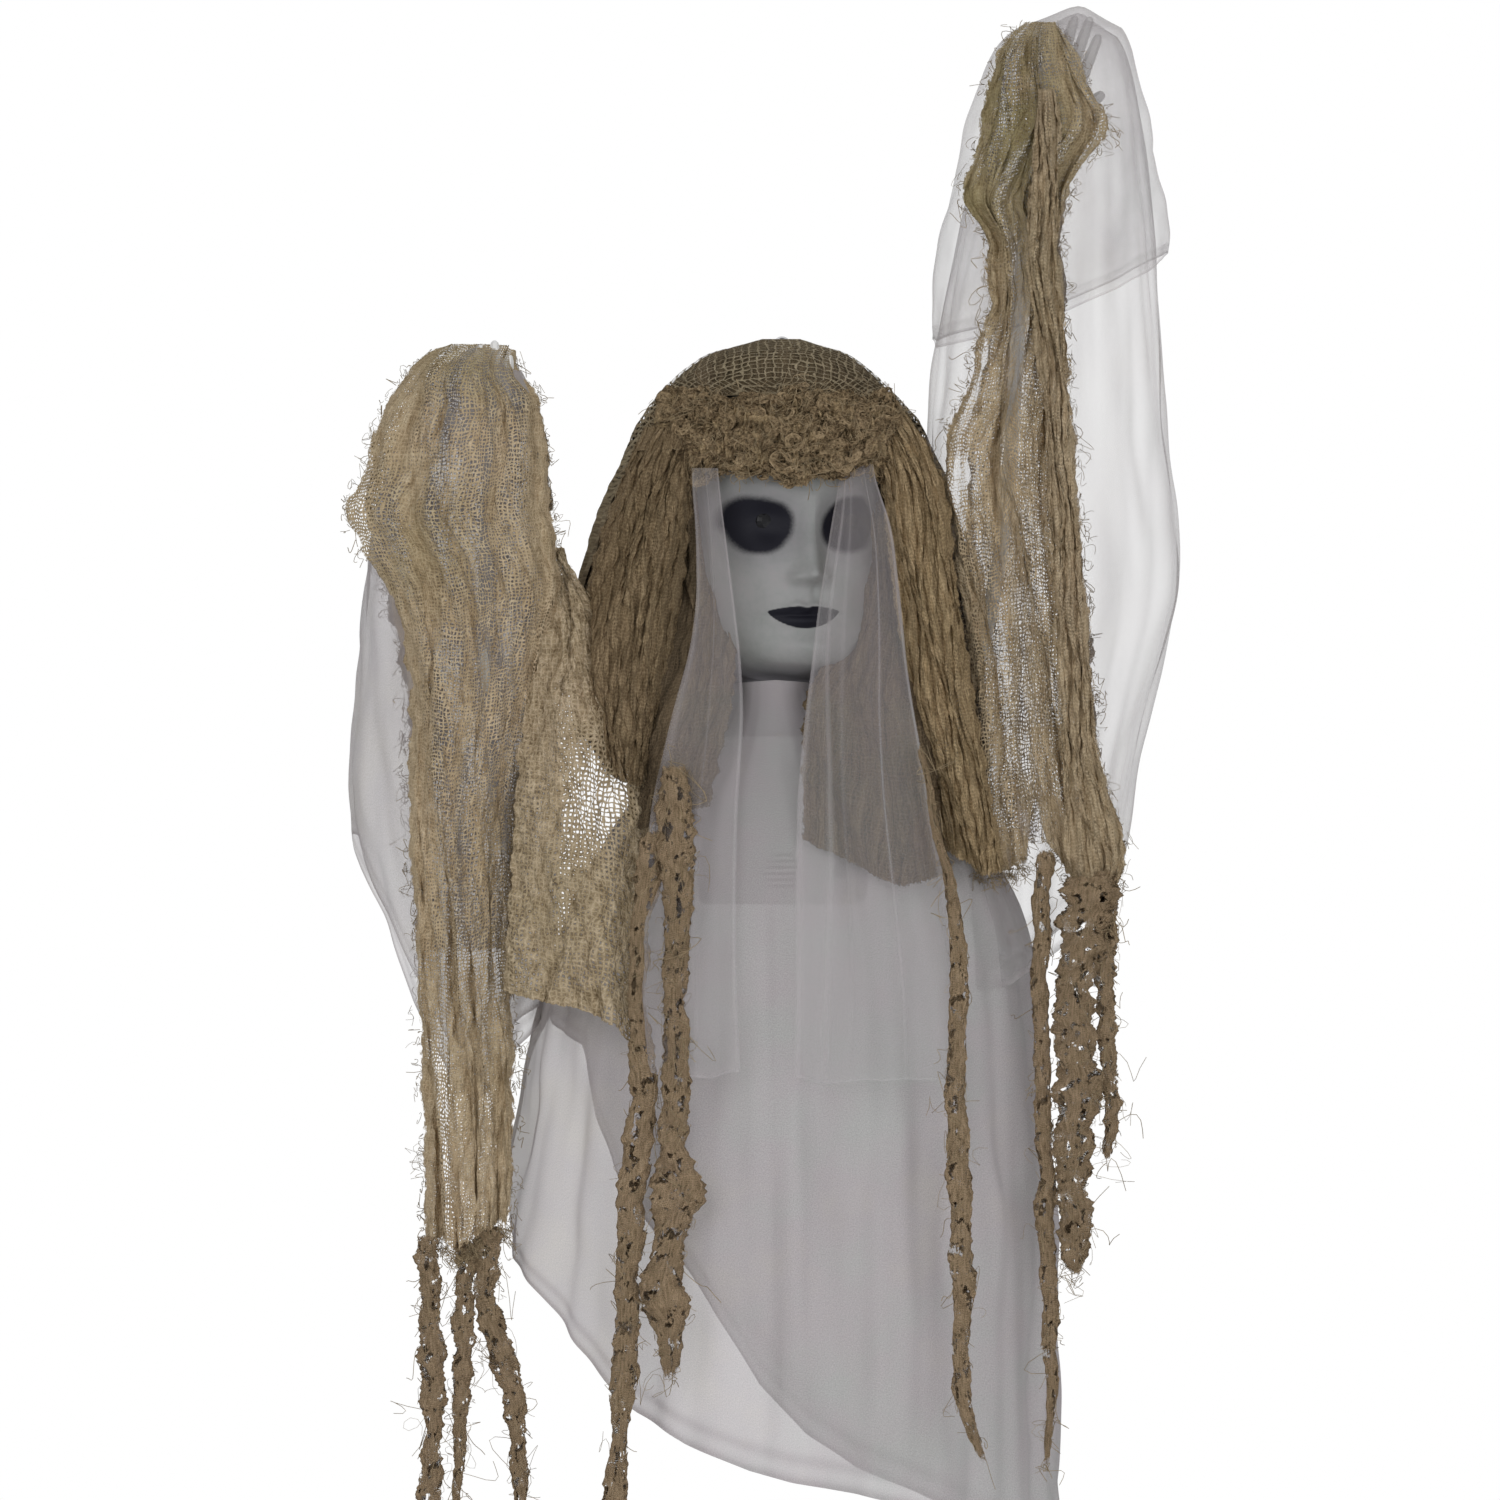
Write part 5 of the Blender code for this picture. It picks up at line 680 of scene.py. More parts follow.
leftDrape = {"columns": 160, "rows": 100, "seed": 41, "pleats": 6, "fold": 0.0030, "soft": 0.004, "dome": 22.0,
             "lift": 10, "rests": ["leftSleeveCloth"], "thick": 0.35,
             "sides": ((6, 1062, 1100, -0.036, 0.012), (20, 1026, 1117, -0.036, 0.024),
                       (36, 1003, 1129, -0.036, 0.032), (59, 988, 1135, -0.036, 0.040),
                       (115, 967, 1148, -0.036, 0.048), (173, 956, 1158, -0.035, 0.053),
                       (230, 942, 1168, -0.032, 0.057), (262, 940, 1170, -0.030, 0.058),
                       (300, 935, 1165, -0.026, 0.060), (350, 927, 1160, -0.022, 0.061)),
             "hem": ((924, 338), (936, 348), (990, 336), (1060, 314), (1120, 288), (1150, 270), (1170, 256))}
makeRobe()
sleeveTube("rightSleeveCloth", rightSleeve, "right_arm", "right_sleeve", midSheer)
sleeveTube("leftSleeveCloth", leftSleeve, "left_arm", "left_sleeve", thinSheer)
sleeveTube("leftDrapeCloth", leftDrape, "left_arm", "left_drape", drapeSheer)
print("robe and sleeves made")


# Veils: a sheer panel on each side of the face, hung from the band.
veilShape = {"smooth": 18, "grow": 3, "least": 0.25, "soft": 0.003, "foldMark": 0.30, "waveMark": 0.08,
             "hemMark": (1.0, 0.004, 0.5)}


def makeVeil(name, node, look):
    columns, rows = look["columns"], look["rows"]
    across = np.linspace(0, 1, columns)[None, :]
    share = np.linspace(0, 1, rows)[:, None]
    low = look["hem"] + look["hemWave"] * ripple(across, 0 * across, look["seed"], (1.5, 1), 2)
    row = look["top"] + (low - look["top"]) * share
    left, right, depth = rowsAt(look["sides"], row, smooth=veilShape["smooth"])
    wave = pleats(across, share, look["pleats"], look["seed"], drift=0.3, sharp=1.0, parts=2)
    soft = ripple(across, share, look["seed"] + 5, (1.5, 1.2), 2)
    grow = np.clip(share * veilShape["grow"], veilShape["least"], 1)
    column = left + (right - left) * across + look["sway"] * soft * grow
    swell = look["fold"] * wave * grow + veilShape["soft"] * soft * grow
    points = spot(column, row, depth - look["crown"] * np.sin(math.pi * across) + swell)
    fold = foldDensity(points, veilShape["foldMark"]) + veilShape["waveMark"] * np.clip(wave, 0, 1) ** 2
    for place, size, strength in look["lines"]:
        fold = fold + strength * hill(across, place, size)
    place, size, strength = veilShape["hemMark"]
    fold = fold + strength * hill(share, place, size)
    return sheetPiece(name, points, {"fold": fold}, veilCloth, "head", [node])


makeVeil("rightVeilCloth", "right_veil",
         {"columns": 80, "rows": 260, "top": 468, "hem": 1076, "hemWave": 6, "seed": 51, "pleats": 1.6,
          "fold": 0.0040, "sway": 3.0, "crown": 0.004,
          "lines": ((0.97, 0.02, 0.5), (0.55, 0.02, 0.25), (0.05, 0.04, 0.3)),
          "sides": ((468, 692, 717, -0.092), (487, 692, 719, -0.104), (530, 696, 724, -0.118),
                    (599, 697, 732, -0.124), (650, 690, 738, -0.125), (712, 672, 742, -0.126),
                    (800, 652, 738, -0.127), (900, 642, 738, -0.128), (1000, 640, 739, -0.128),
                    (1090, 642, 742, -0.128))})
makeVeil("leftVeilCloth", "left_veil",
         {"columns": 110, "rows": 260, "top": 464, "hem": 1080, "hemWave": 8, "seed": 57, "pleats": 2.3,
          "fold": 0.0048, "sway": 4.0, "crown": 0.006,
          "lines": ((0.02, 0.02, 0.4), (0.20, 0.025, 0.45), (0.34, 0.02, 0.2), (0.68, 0.012, 0.45),
                    (0.98, 0.02, 0.6)),
          "sides": ((464, 840, 872, -0.086), (487, 838, 878, -0.102), (527, 830, 893, -0.117),
                    (613, 815, 905, -0.123), (700, 806, 914, -0.126), (800, 799, 927, -0.127),
                    (900, 797, 943, -0.128), (993, 796, 957, -0.128), (1090, 795, 960, -0.128))})
print("veils made")


# Gauze pieces: sheets with deep crumpled folds, given by rows of pixels as the sheer ones are.
def crumple(u, v, look):
    # Folds of a gathered sheet: long pleats, broad waves and a fine crumple, each with its own size in metres.
    seed = look["seed"]
    long = pleats(u, v, look["pleats"], seed, drift=look["drift"], sharp=look["sharp"])
    broad = ripple(u, v, seed + 1, look["broadScale"], 3)
    fine = ripple(u, v, seed + 2, look["fineScale"], 4)
    return long, broad, fine


# What the gauze sheets share, unless a sheet's own settings say otherwise: lengths in metres, shifts in pixels.
gauzeCut = {"drift": 0.5, "sharp": 0.8, "broadScale": (3, 3), "fineScale": (18, 22), "smooth": 8, "waver": 3.0,
            "waverPitch": 3, "shift": 5.0, "hold": 0.0, "ridge": 0.25, "patch": 0.25, "rimDensity": 0.5,
            "rimWidth": 0.05, "spots": (), "stains": (), "ragged": 0.008, "raggedHem": 0.012, "raggedTop": 0.0,
            "topRun": 12, "rests": (), "sideFine": 0.8, "downFine": 0.6, "leastGrow": 0.15, "rimRun": 6,
            "shiftRun": 5}


def gauzeSheet(name, ownLook, body, nodes, material=gauze):
    look = {**gauzeCut, **ownLook}
    columns, rows = look["columns"], look["rows"]
    across = np.linspace(0, 1, columns)[None, :]
    share = np.linspace(0, 1, rows)[:, None]
    table = look["sides"]
    row = table[0][0] + (table[-1][0] - table[0][0]) * share + 0 * across
    if "hem" in look:
        left, right = rowsAt(table, row)[:2]
        column = left + (right - left) * across
        low = np.interp(column[-1:], *np.transpose(look["hem"]))
        row = table[0][0] + (low - table[0][0]) * share
    if "topLine" in look:
        left, right = rowsAt(table, row[:1])[:2]
        high = np.interp(left + (right - left) * across, *np.transpose(look["topLine"]))
        row = row + (high - table[0][0]) * np.clip(1 - share * look["topRun"], 0, 1) ** 2
    left, right, middle, side = rowsAt(table, row, smooth=look["smooth"])
    long, broad, fine = crumple(across, share, look)
    rim = np.minimum(across, 1 - across)
    half = (across > 0.5).astype(float)
    waver = look["waver"] * ripple(half, share * look["waverPitch"], look["seed"] + 7, (0.4, 5), 4)
    column = left + (right - left) * across
    column = column + waver * (1 - np.clip(rim * look["rimRun"], 0, 1)) * np.sign(across - 0.5)
    column = column + look["shift"] * broad * np.clip(rim * look["shiftRun"], 0, 1)
    bulge = np.sqrt(np.clip(1 - (2 * across - 1) ** 2, 0, 1))
    grow = np.clip(share / look["hold"], look["leastGrow"], 1) if look["hold"] else 1.0
    swell = (look["fold"] * long + look["wave"] * broad + look["fine"] * fine) * grow
    points = spot(column, row, side + (middle - side) * bulge + swell)
    sideways = ripple(across, share, look["seed"] + 9, (16, 20), 4) * look["sideFine"]
    upright = ripple(across, share, look["seed"] + 10, (20, 16), 3) * look["downFine"]
    points[..., 0] += look["fine"] * sideways * grow
    points[..., 2] += look["fine"] * upright * grow
    density = look["density"] + look["ridge"] * long + look["patch"] * broad
    density = density + look["rimDensity"] * hill(rim, 0, look["rimWidth"])
    for column0, row0, wide, tall, change in look["spots"]:
        density = density + change * hill(column, column0, wide) * hill(row, row0, tall)
    reach = np.abs(right - left) * view["scale"] * rim
    edge = np.clip(reach / look["ragged"], 0, 1)
    down = (row[-1:] - row) * view["scale"]
    edge = np.minimum(edge, np.clip(down / look["raggedHem"], 0, 1))
    if look["raggedTop"]:
        edge = np.minimum(edge, np.clip((row - row[:1]) * view["scale"] / look["raggedTop"], 0, 1))
    stain = 0 * density
    for column0, row0, wide, tall, change in look["stains"]:
        stain = stain + change * hill(column, column0, wide) * hill(row, row0, tall)
    marks = {"fill": density, "edge": edge, "stain": stain}
    sheetPiece(name, points, marks, material, body, nodes, gather=look["gather"])
    return points


# Figure's right arm: a soft bag over the hand, then a long column down the front.
rightArmFront = {"columns": 170, "rows": 440, "seed": 101, "pleats": 5, "fold": 0.0050, "wave": 0.006,
                 "fine": 0.0016, "density": 0.10, "ridge": 0.20, "patch": 0.22, "gather": 1.25,
                 "rests": ["rightSleeveCloth"], "rimWidth": 0.07, "waver": 4.0, "shift": 6.0, "hold": 0.05,
                 "raggedHem": 0.02,
                 "topLine": ((420, 360), (440, 352), (457, 343), (485, 343), (507, 344), (523, 352)),
                 "raggedTop": 0.002,
                 "sides": ((341, 446, 522, -0.118, -0.112), (346, 436, 523, -0.130, -0.110),
                           (352, 425, 523, -0.140, -0.108), (360, 412, 519, -0.148, -0.104),
                           (372, 402, 522, -0.158, -0.100), (385, 393, 530, -0.162, -0.098),
                           (402, 386, 546, -0.164, -0.096), (430, 370, 550, -0.164, -0.094),
                           (472, 360, 552, -0.162, -0.090), (492, 350, 553, -0.157, -0.087),
                           (512, 340, 554, -0.152, -0.084), (530, 350, 557, -0.148, -0.080),
                           (559, 366, 564, -0.140, -0.074), (591, 382, 564, -0.130, -0.066),
                           (640, 398, 552, -0.118, -0.056), (718, 405, 535, -0.100, -0.046),
                           (815, 404, 520, -0.086, -0.040), (917, 412, 517, -0.082, -0.040),
                           (1001, 415, 516, -0.080, -0.042), (1098, 419, 518, -0.080, -0.044),
                           (1180, 420, 516, -0.080, -0.046), (1262, 422, 510, -0.080, -0.048)),
                 "hem": ((400, 1250), (442, 1250), (457, 1262), (486, 1238), (498, 1230), (520, 1250)),
                 "spots": ((470, 470, 45, 130, -0.05), (412, 900, 18, 420, 0.5), (545, 470, 24, 110, 0.4),
                           (478, 690, 16, 110, -0.22), (508, 1130, 14, 160, 0.35), (470, 1170, 80, 160, 0.52),
                           (444, 1060, 8, 120, -0.30), (470, 900, 8, 90, -0.25), (495, 1080, 8, 90, -0.2),
                           (425, 620, 26, 100, 0.2), (395, 410, 30, 60, 0.2)),
                 "stains": ((470, 370, 60, 40, 0.5), (420, 540, 60, 60, 0.3))}
rightArmBack = {**rightArmFront, "columns": 90, "rows": 200, "seed": 109, "density": 0.10,
                "sides": ((341, 446, 522, -0.118, -0.112), (360, 414, 519, -0.088, -0.104),
                          (385, 395, 530, -0.070, -0.098), (430, 372, 550, -0.050, -0.092),
                          (514, 360, 556, -0.028, -0.070), (600, 384, 560, 0.010, -0.040),
                          (720, 408, 548, 0.085, 0.010), (880, 410, 534, 0.098, 0.030),
                          (960, 414, 526, 0.098, 0.034)),
                "spots": ()}
rightArmBack.pop("hem")  # the back layers end straight
rightFront = gauzeSheet("rightGauzeFront", rightArmFront, "right_arm", ["right_gauze"])
gauzeSheet("rightGauzeBack", rightArmBack, "right_arm", [])
print("right arm gauze made")

# Figure's left arm: a bag over the raised hand, the wide net beside the head, and the thick twisted fold.
leftArmFront = {"columns": 170, "rows": 480, "seed": 121, "pleats": 6, "fold": 0.0050, "wave": 0.006,
                "fine": 0.0018, "density": 0.10, "ridge": 0.22, "patch": 0.24, "gather": 1.35,
                "rests": ["leftDrapeCloth"], "hold": 0.04, "waver": 4.0, "shift": 6.0, "raggedTop": 0.004,
                "raggedHem": 0.012, "rimWidth": 0.08,
                "sides": ((20, 1030, 1056, -0.064, -0.050), (27, 1012, 1066, -0.078, -0.052),
                          (40, 1002, 1072, -0.088, -0.056), (61, 990, 1083, -0.094, -0.060),
                          (84, 983, 1095, -0.098, -0.064), (115, 978, 1112, -0.101, -0.068),
                          (133, 974, 1110, -0.102, -0.070), (163, 966, 1090, -0.102, -0.078),
                          (200, 958, 1068, -0.101, -0.082), (237, 984, 1063, -0.100, -0.084),
                          (300, 987, 1068, -0.098, -0.082), (332, 980, 1070, -0.096, -0.078),
                          (357, 970, 1071, -0.094, -0.074), (401, 960, 1073, -0.090, -0.070),
                          (440, 940, 1078, -0.084, -0.062), (484, 938, 1080, -0.080, -0.056),
                          (540, 948, 1084, -0.074, -0.050), (600, 958, 1090, -0.068, -0.044),
                          (660, 966, 1094, -0.064, -0.040), (725, 968, 1097, -0.062, -0.038),
                          (790, 966, 1108, -0.060, -0.036), (830, 962, 1122, -0.060, -0.036),
                          (856, 962, 1130, -0.060, -0.036), (905, 985, 1118, -0.060, -0.036)),
                "hem": ((940, 842), (961, 850), (985, 877), (1002, 883), (1021, 874), (1036, 868), (1048, 800),
                        (1056, 850), (1070, 885), (1100, 896), (1118, 885), (1132, 850)),
                "spots": ((1000, 600, 45, 200, -0.10), (1075, 500, 18, 380, 0.5), (975, 205, 22, 26, 0.6),
                          (1016, 262, 6, 26, -0.6), (1019, 330, 8, 40, -0.7), (966, 478, 14, 26, -0.6),
                          (1024, 620, 7, 50, -0.3), (1000, 100, 50, 90, 0.25), (1020, 280, 60, 60, 0.4),
                          (1010, 860, 70, 26, 0.5), (1100, 860, 40, 50, 0.6), (985, 470, 40, 40, 0.3)),
                "stains": ((955, 212, 26, 26, 1.0), (1010, 120, 60, 110, 0.95))}
leftArmBack = {**leftArmFront, "columns": 80, "rows": 230, "seed": 129, "density": 0.02, "ridge": 0.2,
               "sides": ((20, 1030, 1056, -0.060, -0.050), (61, 992, 1082, 0.004, -0.050),
                         (115, 982, 1106, 0.018, -0.044), (200, 976, 1064, 0.024, -0.030),
                         (300, 992, 1066, 0.032, -0.020), (401, 975, 1070, 0.044, -0.010),
                         (500, 962, 1080, 0.054, 0.0), (640, 966, 1094, 0.060, 0.010),
                         (760, 968, 1100, 0.062, 0.012), (850, 975, 1110, 0.062, 0.012)),
               "spots": ()}
leftArmBack.pop("hem")
leftRope = {"columns": 70, "rows": 420, "seed": 137, "pleats": 4, "fold": 0.0042, "wave": 0.006, "fine": 0.0022,
            "density": 0.52, "ridge": 0.25, "patch": 0.2, "gather": 3.0, "rests": ["leftGauzeFront"], "hold": 0.03,
            "waver": 3.5, "shift": 3.0, "raggedTop": 0.01, "drift": 1.3, "broadScale": (1.2, 6), "rimDensity": 0.2,
            "sides": ((84, 1036, 1056, -0.108, -0.096), (130, 1030, 1064, -0.116, -0.100),
                      (200, 1026, 1062, -0.118, -0.102), (260, 1022, 1062, -0.118, -0.102),
                      (332, 1030, 1068, -0.114, -0.098), (401, 1040, 1072, -0.108, -0.092),
                      (480, 1044, 1080, -0.100, -0.084), (560, 1048, 1086, -0.094, -0.078),
                      (650, 1054, 1094, -0.088, -0.072), (730, 1058, 1098, -0.084, -0.068),
                      (790, 1060, 1112, -0.082, -0.066), (830, 1060, 1124, -0.082, -0.066),
                      (860, 1062, 1130, -0.082, -0.066), (900, 1078, 1116, -0.082, -0.066))}
leftFront = gauzeSheet("leftGauzeFront", leftArmFront, "left_arm", ["left_gauze"])
gauzeSheet("leftGauzeBack", leftArmBack, "left_arm", [])
gauzeSheet("leftGauzeFold", leftRope, "left_arm", [])
print("left arm gauze made")

# Hair-like curtains beside the face, the panel towards the right arm, and the near-black layers behind them, which
# are painted shade.
curtainCut = {"columns": 180, "pleats": 9, "fold": 0.0040, "wave": 0.005, "fine": 0.0014, "density": 0.62,
              "ridge": 0.22, "patch": 0.12, "gather": 2.2, "rests": ["head_band"], "hold": 0.08, "waver": 2.5,
              "shift": 4.0, "drift": 0.4, "fineScale": (26, 16)}
innerCut = {"pleats": 4, "fold": 0.0030, "wave": 0.004, "fine": 0.0012, "density": 0.62, "ridge": 0.12,
            "patch": 0.1, "gather": 1.5}
rightCurtain = {**curtainCut, "rows": 340, "seed": 141, "topLine": ((600, 480), (640, 452), (704, 448)),
                "sides": ((400, 656, 712, -0.070, -0.050), (440, 634, 704, -0.092, -0.050),
                          (475, 618, 697, -0.108, -0.046), (520, 601, 694, -0.114, -0.036),
                          (565, 588, 690, -0.114, -0.032), (620, 578, 682, -0.114, -0.030),
                          (680, 576, 672, -0.114, -0.030), (730, 584, 664, -0.114, -0.034),
                          (775, 600, 652, -0.114, -0.040), (800, 616, 650, -0.114, -0.044)),
                "hem": ((580, 700), (596, 742), (616, 780), (640, 792), (660, 780), (700, 760)),
                "spots": ((680, 560, 12, 160, 0.3), (600, 600, 20, 140, 0.2))}
leftCurtain = {**curtainCut, "rows": 380, "seed": 151,
               "sides": ((400, 856, 900, -0.064, -0.044), (440, 866, 930, -0.086, -0.046),
                         (480, 877, 947, -0.100, -0.042), (520, 880, 956, -0.108, -0.034),
                         (560, 885, 958, -0.108, -0.032), (620, 894, 966, -0.108, -0.030),
                         (700, 906, 978, -0.106, -0.030), (760, 920, 990, -0.104, -0.032),
                         (837, 938, 1004, -0.102, -0.036), (880, 950, 1006, -0.102, -0.040)),
               "hem": ((900, 800), (936, 845), (961, 862), (985, 880), (1010, 878)),
               "spots": ((892, 600, 14, 200, 0.3), (960, 700, 20, 120, -0.15))}
innerShade = {**innerCut, "columns": 90, "rows": 150, "seed": 161, "rests": ["leftCurtainCloth"],
              "sides": ((470, 866, 900, -0.040, -0.040), (560, 860, 905, -0.046, -0.044),
                        (620, 846, 915, -0.056, -0.052), (670, 815, 922, -0.076, -0.068),
                        (700, 800, 928, -0.088, -0.080), (760, 798, 940, -0.096, -0.086),
                        (850, 800, 948, -0.100, -0.090), (900, 806, 950, -0.100, -0.090)),
              "hem": ((795, 836), (850, 868), (903, 892), (950, 880))}
innerDark = {**innerCut, "columns": 70, "rows": 130, "seed": 167, "pleats": 3, "rests": ["rightCurtainCloth"],
             "sides": ((470, 682, 716, -0.040, -0.040), (560, 676, 730, -0.046, -0.044),
                       (620, 664, 738, -0.056, -0.052), (660, 652, 740, -0.072, -0.066),
                       (700, 640, 738, -0.086, -0.078), (740, 630, 728, -0.096, -0.086),
                       (835, 622, 706, -0.100, -0.090)),
             "hem": ((600, 800), (640, 835), (690, 815), (745, 800))}
rightWeb = {"columns": 170, "rows": 300, "seed": 171, "pleats": 3, "fold": 0.0035, "wave": 0.006, "fine": 0.0014,
            "density": 0.40, "ridge": 0.12, "patch": 0.12, "gather": 1.1, "rests": ["rightCurtainCloth"],
            "hold": 0.0, "waver": 2.0, "shift": 6.0, "raggedHem": 0.004, "ragged": 0.004, "rimDensity": 0.35,
            "rimWidth": 0.06,
            "sides": ((548, 546, 560, -0.080, -0.060), (600, 540, 596, -0.086, -0.064),
                      (640, 534, 612, -0.090, -0.070), (700, 524, 626, -0.096, -0.076),
                      (760, 516, 645, -0.104, -0.084), (850, 510, 652, -0.112, -0.092),
                      (950, 504, 648, -0.116, -0.096), (1070, 500, 640, -0.118, -0.100)),
            "hem": ((480, 984), (514, 998), (542, 1004), (575, 1011), (611, 1027), (628, 1044), (650, 1070)),
            "spots": ((600, 795, 34, 44, -0.34), (545, 700, 20, 110, 0.35), (640, 900, 14, 200, 0.3),
                      (560, 1000, 120, 10, 0.5), (580, 640, 50, 80, 0.6), (560, 900, 60, 90, 0.22))}
gauzeSheet("rightCurtainCloth", rightCurtain, "head", ["right_curtain"], shadedHair)
gauzeSheet("leftCurtainCloth", leftCurtain, "head", ["left_curtain"], paleHair)
gauzeSheet("leftInnerCloth", innerShade, "head", [], shadeLining)
gauzeSheet("rightInnerCloth", innerDark, "head", [], shadeLining)
gauzeSheet("rightPanelCloth", rightWeb, "head", ["right_panel"], web)
print("curtains and panel made")


# Hood: open net over the crown, long at the sides and back.
def makeHood(name, shrink, material, nodes, dense, lowest, columns, rows):
    look = {"seed": 181, "top": 339, "guess": 860, "fall": 1.25, "sideLift": 120, "foldsFrom": 380,
            "foldsGrow": 160, "pleats": 15, "fold": 0.0032, "wave": 0.003, "fine": 0.0006, "smooth": 8,
            "sideFill": 0.42, "waveFill": 0.18, "broadFill": 0.10, "lowFill": 0.55, "rimFill": (0.02, 0.35),
            "backFill": 0.25, "ragged": 44, "raggedWave": 8, "stain": 0.25, "flatTimes": 1.05, "flatTurn": 0.09,
            "flatDepth": 0.9,
            "sides": ((339, 781, 783, 0.002, 0.002), (343, 744, 818, 0.034, 0.030), (350, 712, 843, 0.060, 0.055),
                      (366, 688, 866, 0.074, 0.076), (381, 670, 882, 0.083, 0.090), (402, 652, 903, 0.089, 0.102),
                      (425, 637, 922, 0.094, 0.112), (448, 628, 932, 0.097, 0.118), (473, 617, 944, 0.098, 0.124),
                      (504, 603, 952, 0.098, 0.128), (532, 594, 959, 0.098, 0.130), (565, 585, 966, 0.098, 0.131),
                      (595, 578, 972, 0.098, 0.132), (660, 572, 980, 0.098, 0.132), (740, 576, 984, 0.098, 0.132),
                      (900, 590, 984, 0.098, 0.132)),
            "open": ((0, 0.0), (410, 0.0), (424, 0.22), (446, 0.31), (480, 0.36), (560, 0.40), (700, 0.46),
                     (900, 0.5)),
            "hem": ((0, 780), (40, 790), (70, 850), (110, 880), (180, 885))}
    across = np.linspace(0, 1, columns)[None, :]
    share = np.linspace(0, 1, rows)[:, None]
    guess = look["top"] + (look["guess"] - look["top"]) * share ** look["fall"]
    gap = np.interp(guess, *np.transpose(look["open"]))
    angle = math.pi * (gap + (2 - 2 * gap) * across)
    low = np.interp(180 - np.abs(np.degrees(angle) - 180), *np.transpose(look["hem"]))
    low = low - look["sideLift"] * np.sqrt(np.clip(np.sin(angle), 0, 1))
    row = look["top"] + (low - look["top"]) * share ** look["fall"]
    left, right, front, back = rowsAt(look["sides"], row, smooth=look["smooth"])
    long = np.clip((row - look["foldsFrom"]) / look["foldsGrow"], 0, 1)
    wave = pleats(across, share, look["pleats"], look["seed"], drift=0.4, sharp=0.85)
    broad = ripple(across, share, look["seed"] + 1, (4, 3), 3)
    fine = ripple(across, share, look["seed"] + 2, (24, 18), 4)
    swell = (look["fold"] * wave + look["wave"] * broad) * long + look["fine"] * fine
    middle, half = (left + right) / 2, (right - left) / 2 * shrink
    column = middle - (half + swell / view["scale"]) * np.sin(angle)
    towardFront = np.cos(angle)
    depth = -np.where(towardFront > 0, front, back) * towardFront * shrink * (1 + swell / 0.1)
    points = spot(column, row, depth)
    rim = np.minimum(across, 1 - across)
    side = 1 - np.abs(towardFront)
    density = dense + (look["sideFill"] * side + look["waveFill"] * wave + look["lowFill"]) * long
    rimWide, rimFill = look["rimFill"]
    density = density + look["broadFill"] * broad + rimFill * hill(rim, 0, rimWide) * long
    density = density + look["backFill"] * (towardFront < 0) * long
    uneven = look["raggedWave"] * ripple(across, 0 * share, look["seed"] + 3, (60, 1), 3)
    edge = np.clip((np.minimum(row[-1:], lowest) - row + uneven) / look["ragged"], 0, 1)
    # The net lies straight over the crown: there the cloth's width runs along X, lower down along the angle.
    piece = sheetPiece(name, points, {"fill": density, "edge": edge, "stain": 0 * density + look["stain"]},
                       material, "head", nodes)
    flatU = points[..., 0] * look["flatTimes"] + (angle - math.pi) * look["flatTurn"] * long
    flatV = points[..., 2] * look["flatTimes"] + points[..., 1] * look["flatDepth"] * (1 - long)
    index = np.zeros(len(piece.data.loops), np.int32)
    piece.data.loops.foreach_get("vertex_index", index)
    flat = np.stack([flatU, flatV], axis=-1).reshape(-1, 2)
    piece.data.uv_layers["cloth"].data.foreach_set("uv", flat[index].reshape(-1))
    return piece


makeHood("hoodCloth", 1.0, crown, ["hood"], 0.04, 2000, 280, 240)
# A dark closed sheet just inside the net: painted shade under the crown.
makeHood("hoodShadeLining", 0.965, shadeLining, [], 0.7, 770, 140, 120)
print("hood made")


# Face: the head's rings read finely, with the features raised on them, and the paint and a painted shade as marks.
face = {"height": 0.243, "width": 0.155, "depth": 0.195, "crown": -0.010, "neck": 0.044, "turn": math.radians(16),
        "eyeLine": 0.545, "eyeSide": 0.2065, "noseRoot": 0.50, "noseTip": 0.722, "mouth": 0.852, "lift": 0.0012,
        "mouthShift": 0.007, "noseShift": 0.004, "noseHeight": 0.0185, "lipHeight": 0.0042}
faceRings = ((1.23, -0.2256, 1.23, 0.2256, 0.568), (1.10, -0.2256, 1.02, 0.2256, 0.568),
             (1.06, -0.235, 0.93, 0.245, 0.64), (1.035, -0.34, 0.86, 0.27, 0.70), (1.01, -0.435, 0.79, 0.31, 0.76),
             (0.965, -0.470, 0.73, 0.35, 0.81), (0.90, -0.462, 0.67, 0.39, 0.86), (0.83, -0.470, 0.62, 0.42, 0.90),
             (0.75, -0.466, 0.57, 0.45, 0.935), (0.66, -0.462, 0.51, 0.475, 0.965),
             (0.56, -0.455, 0.45, 0.49, 0.985), (0.46, -0.470, 0.38, 0.50, 1.0), (0.34, -0.470, 0.30, 0.495, 0.995),
             (0.22, -0.435, 0.21, 0.465, 0.945), (0.12, -0.370, 0.12, 0.40, 0.83),
             (0.05, -0.265, 0.05, 0.29, 0.62))

# height in metres, then middle and width across, middle and width down, as shares of the face's width and height
faceHills = ((0.0030, 0, 0.05, 0.50, 0.07), (0.0030, 0.2065, 0.070, 0.553, 0.026),  # bridge of the nose, lids
             (0.0046, 0.27, 0.10, 0.672, 0.06), (-0.0028, 0.30, 0.07, 0.80, 0.06),  # cheekbones, hollows
             (-0.0012, 0, 0.018, 0.775, 0.028), (-0.0020, 0, 0.10, 0.885, 0.016),
             # groove over the lip, fold under it
             (0.0052, 0, 0.12, 0.955, 0.038), (-0.010, 0.2065, 0.100, 0.545, 0.060))  # chin, eye sockets


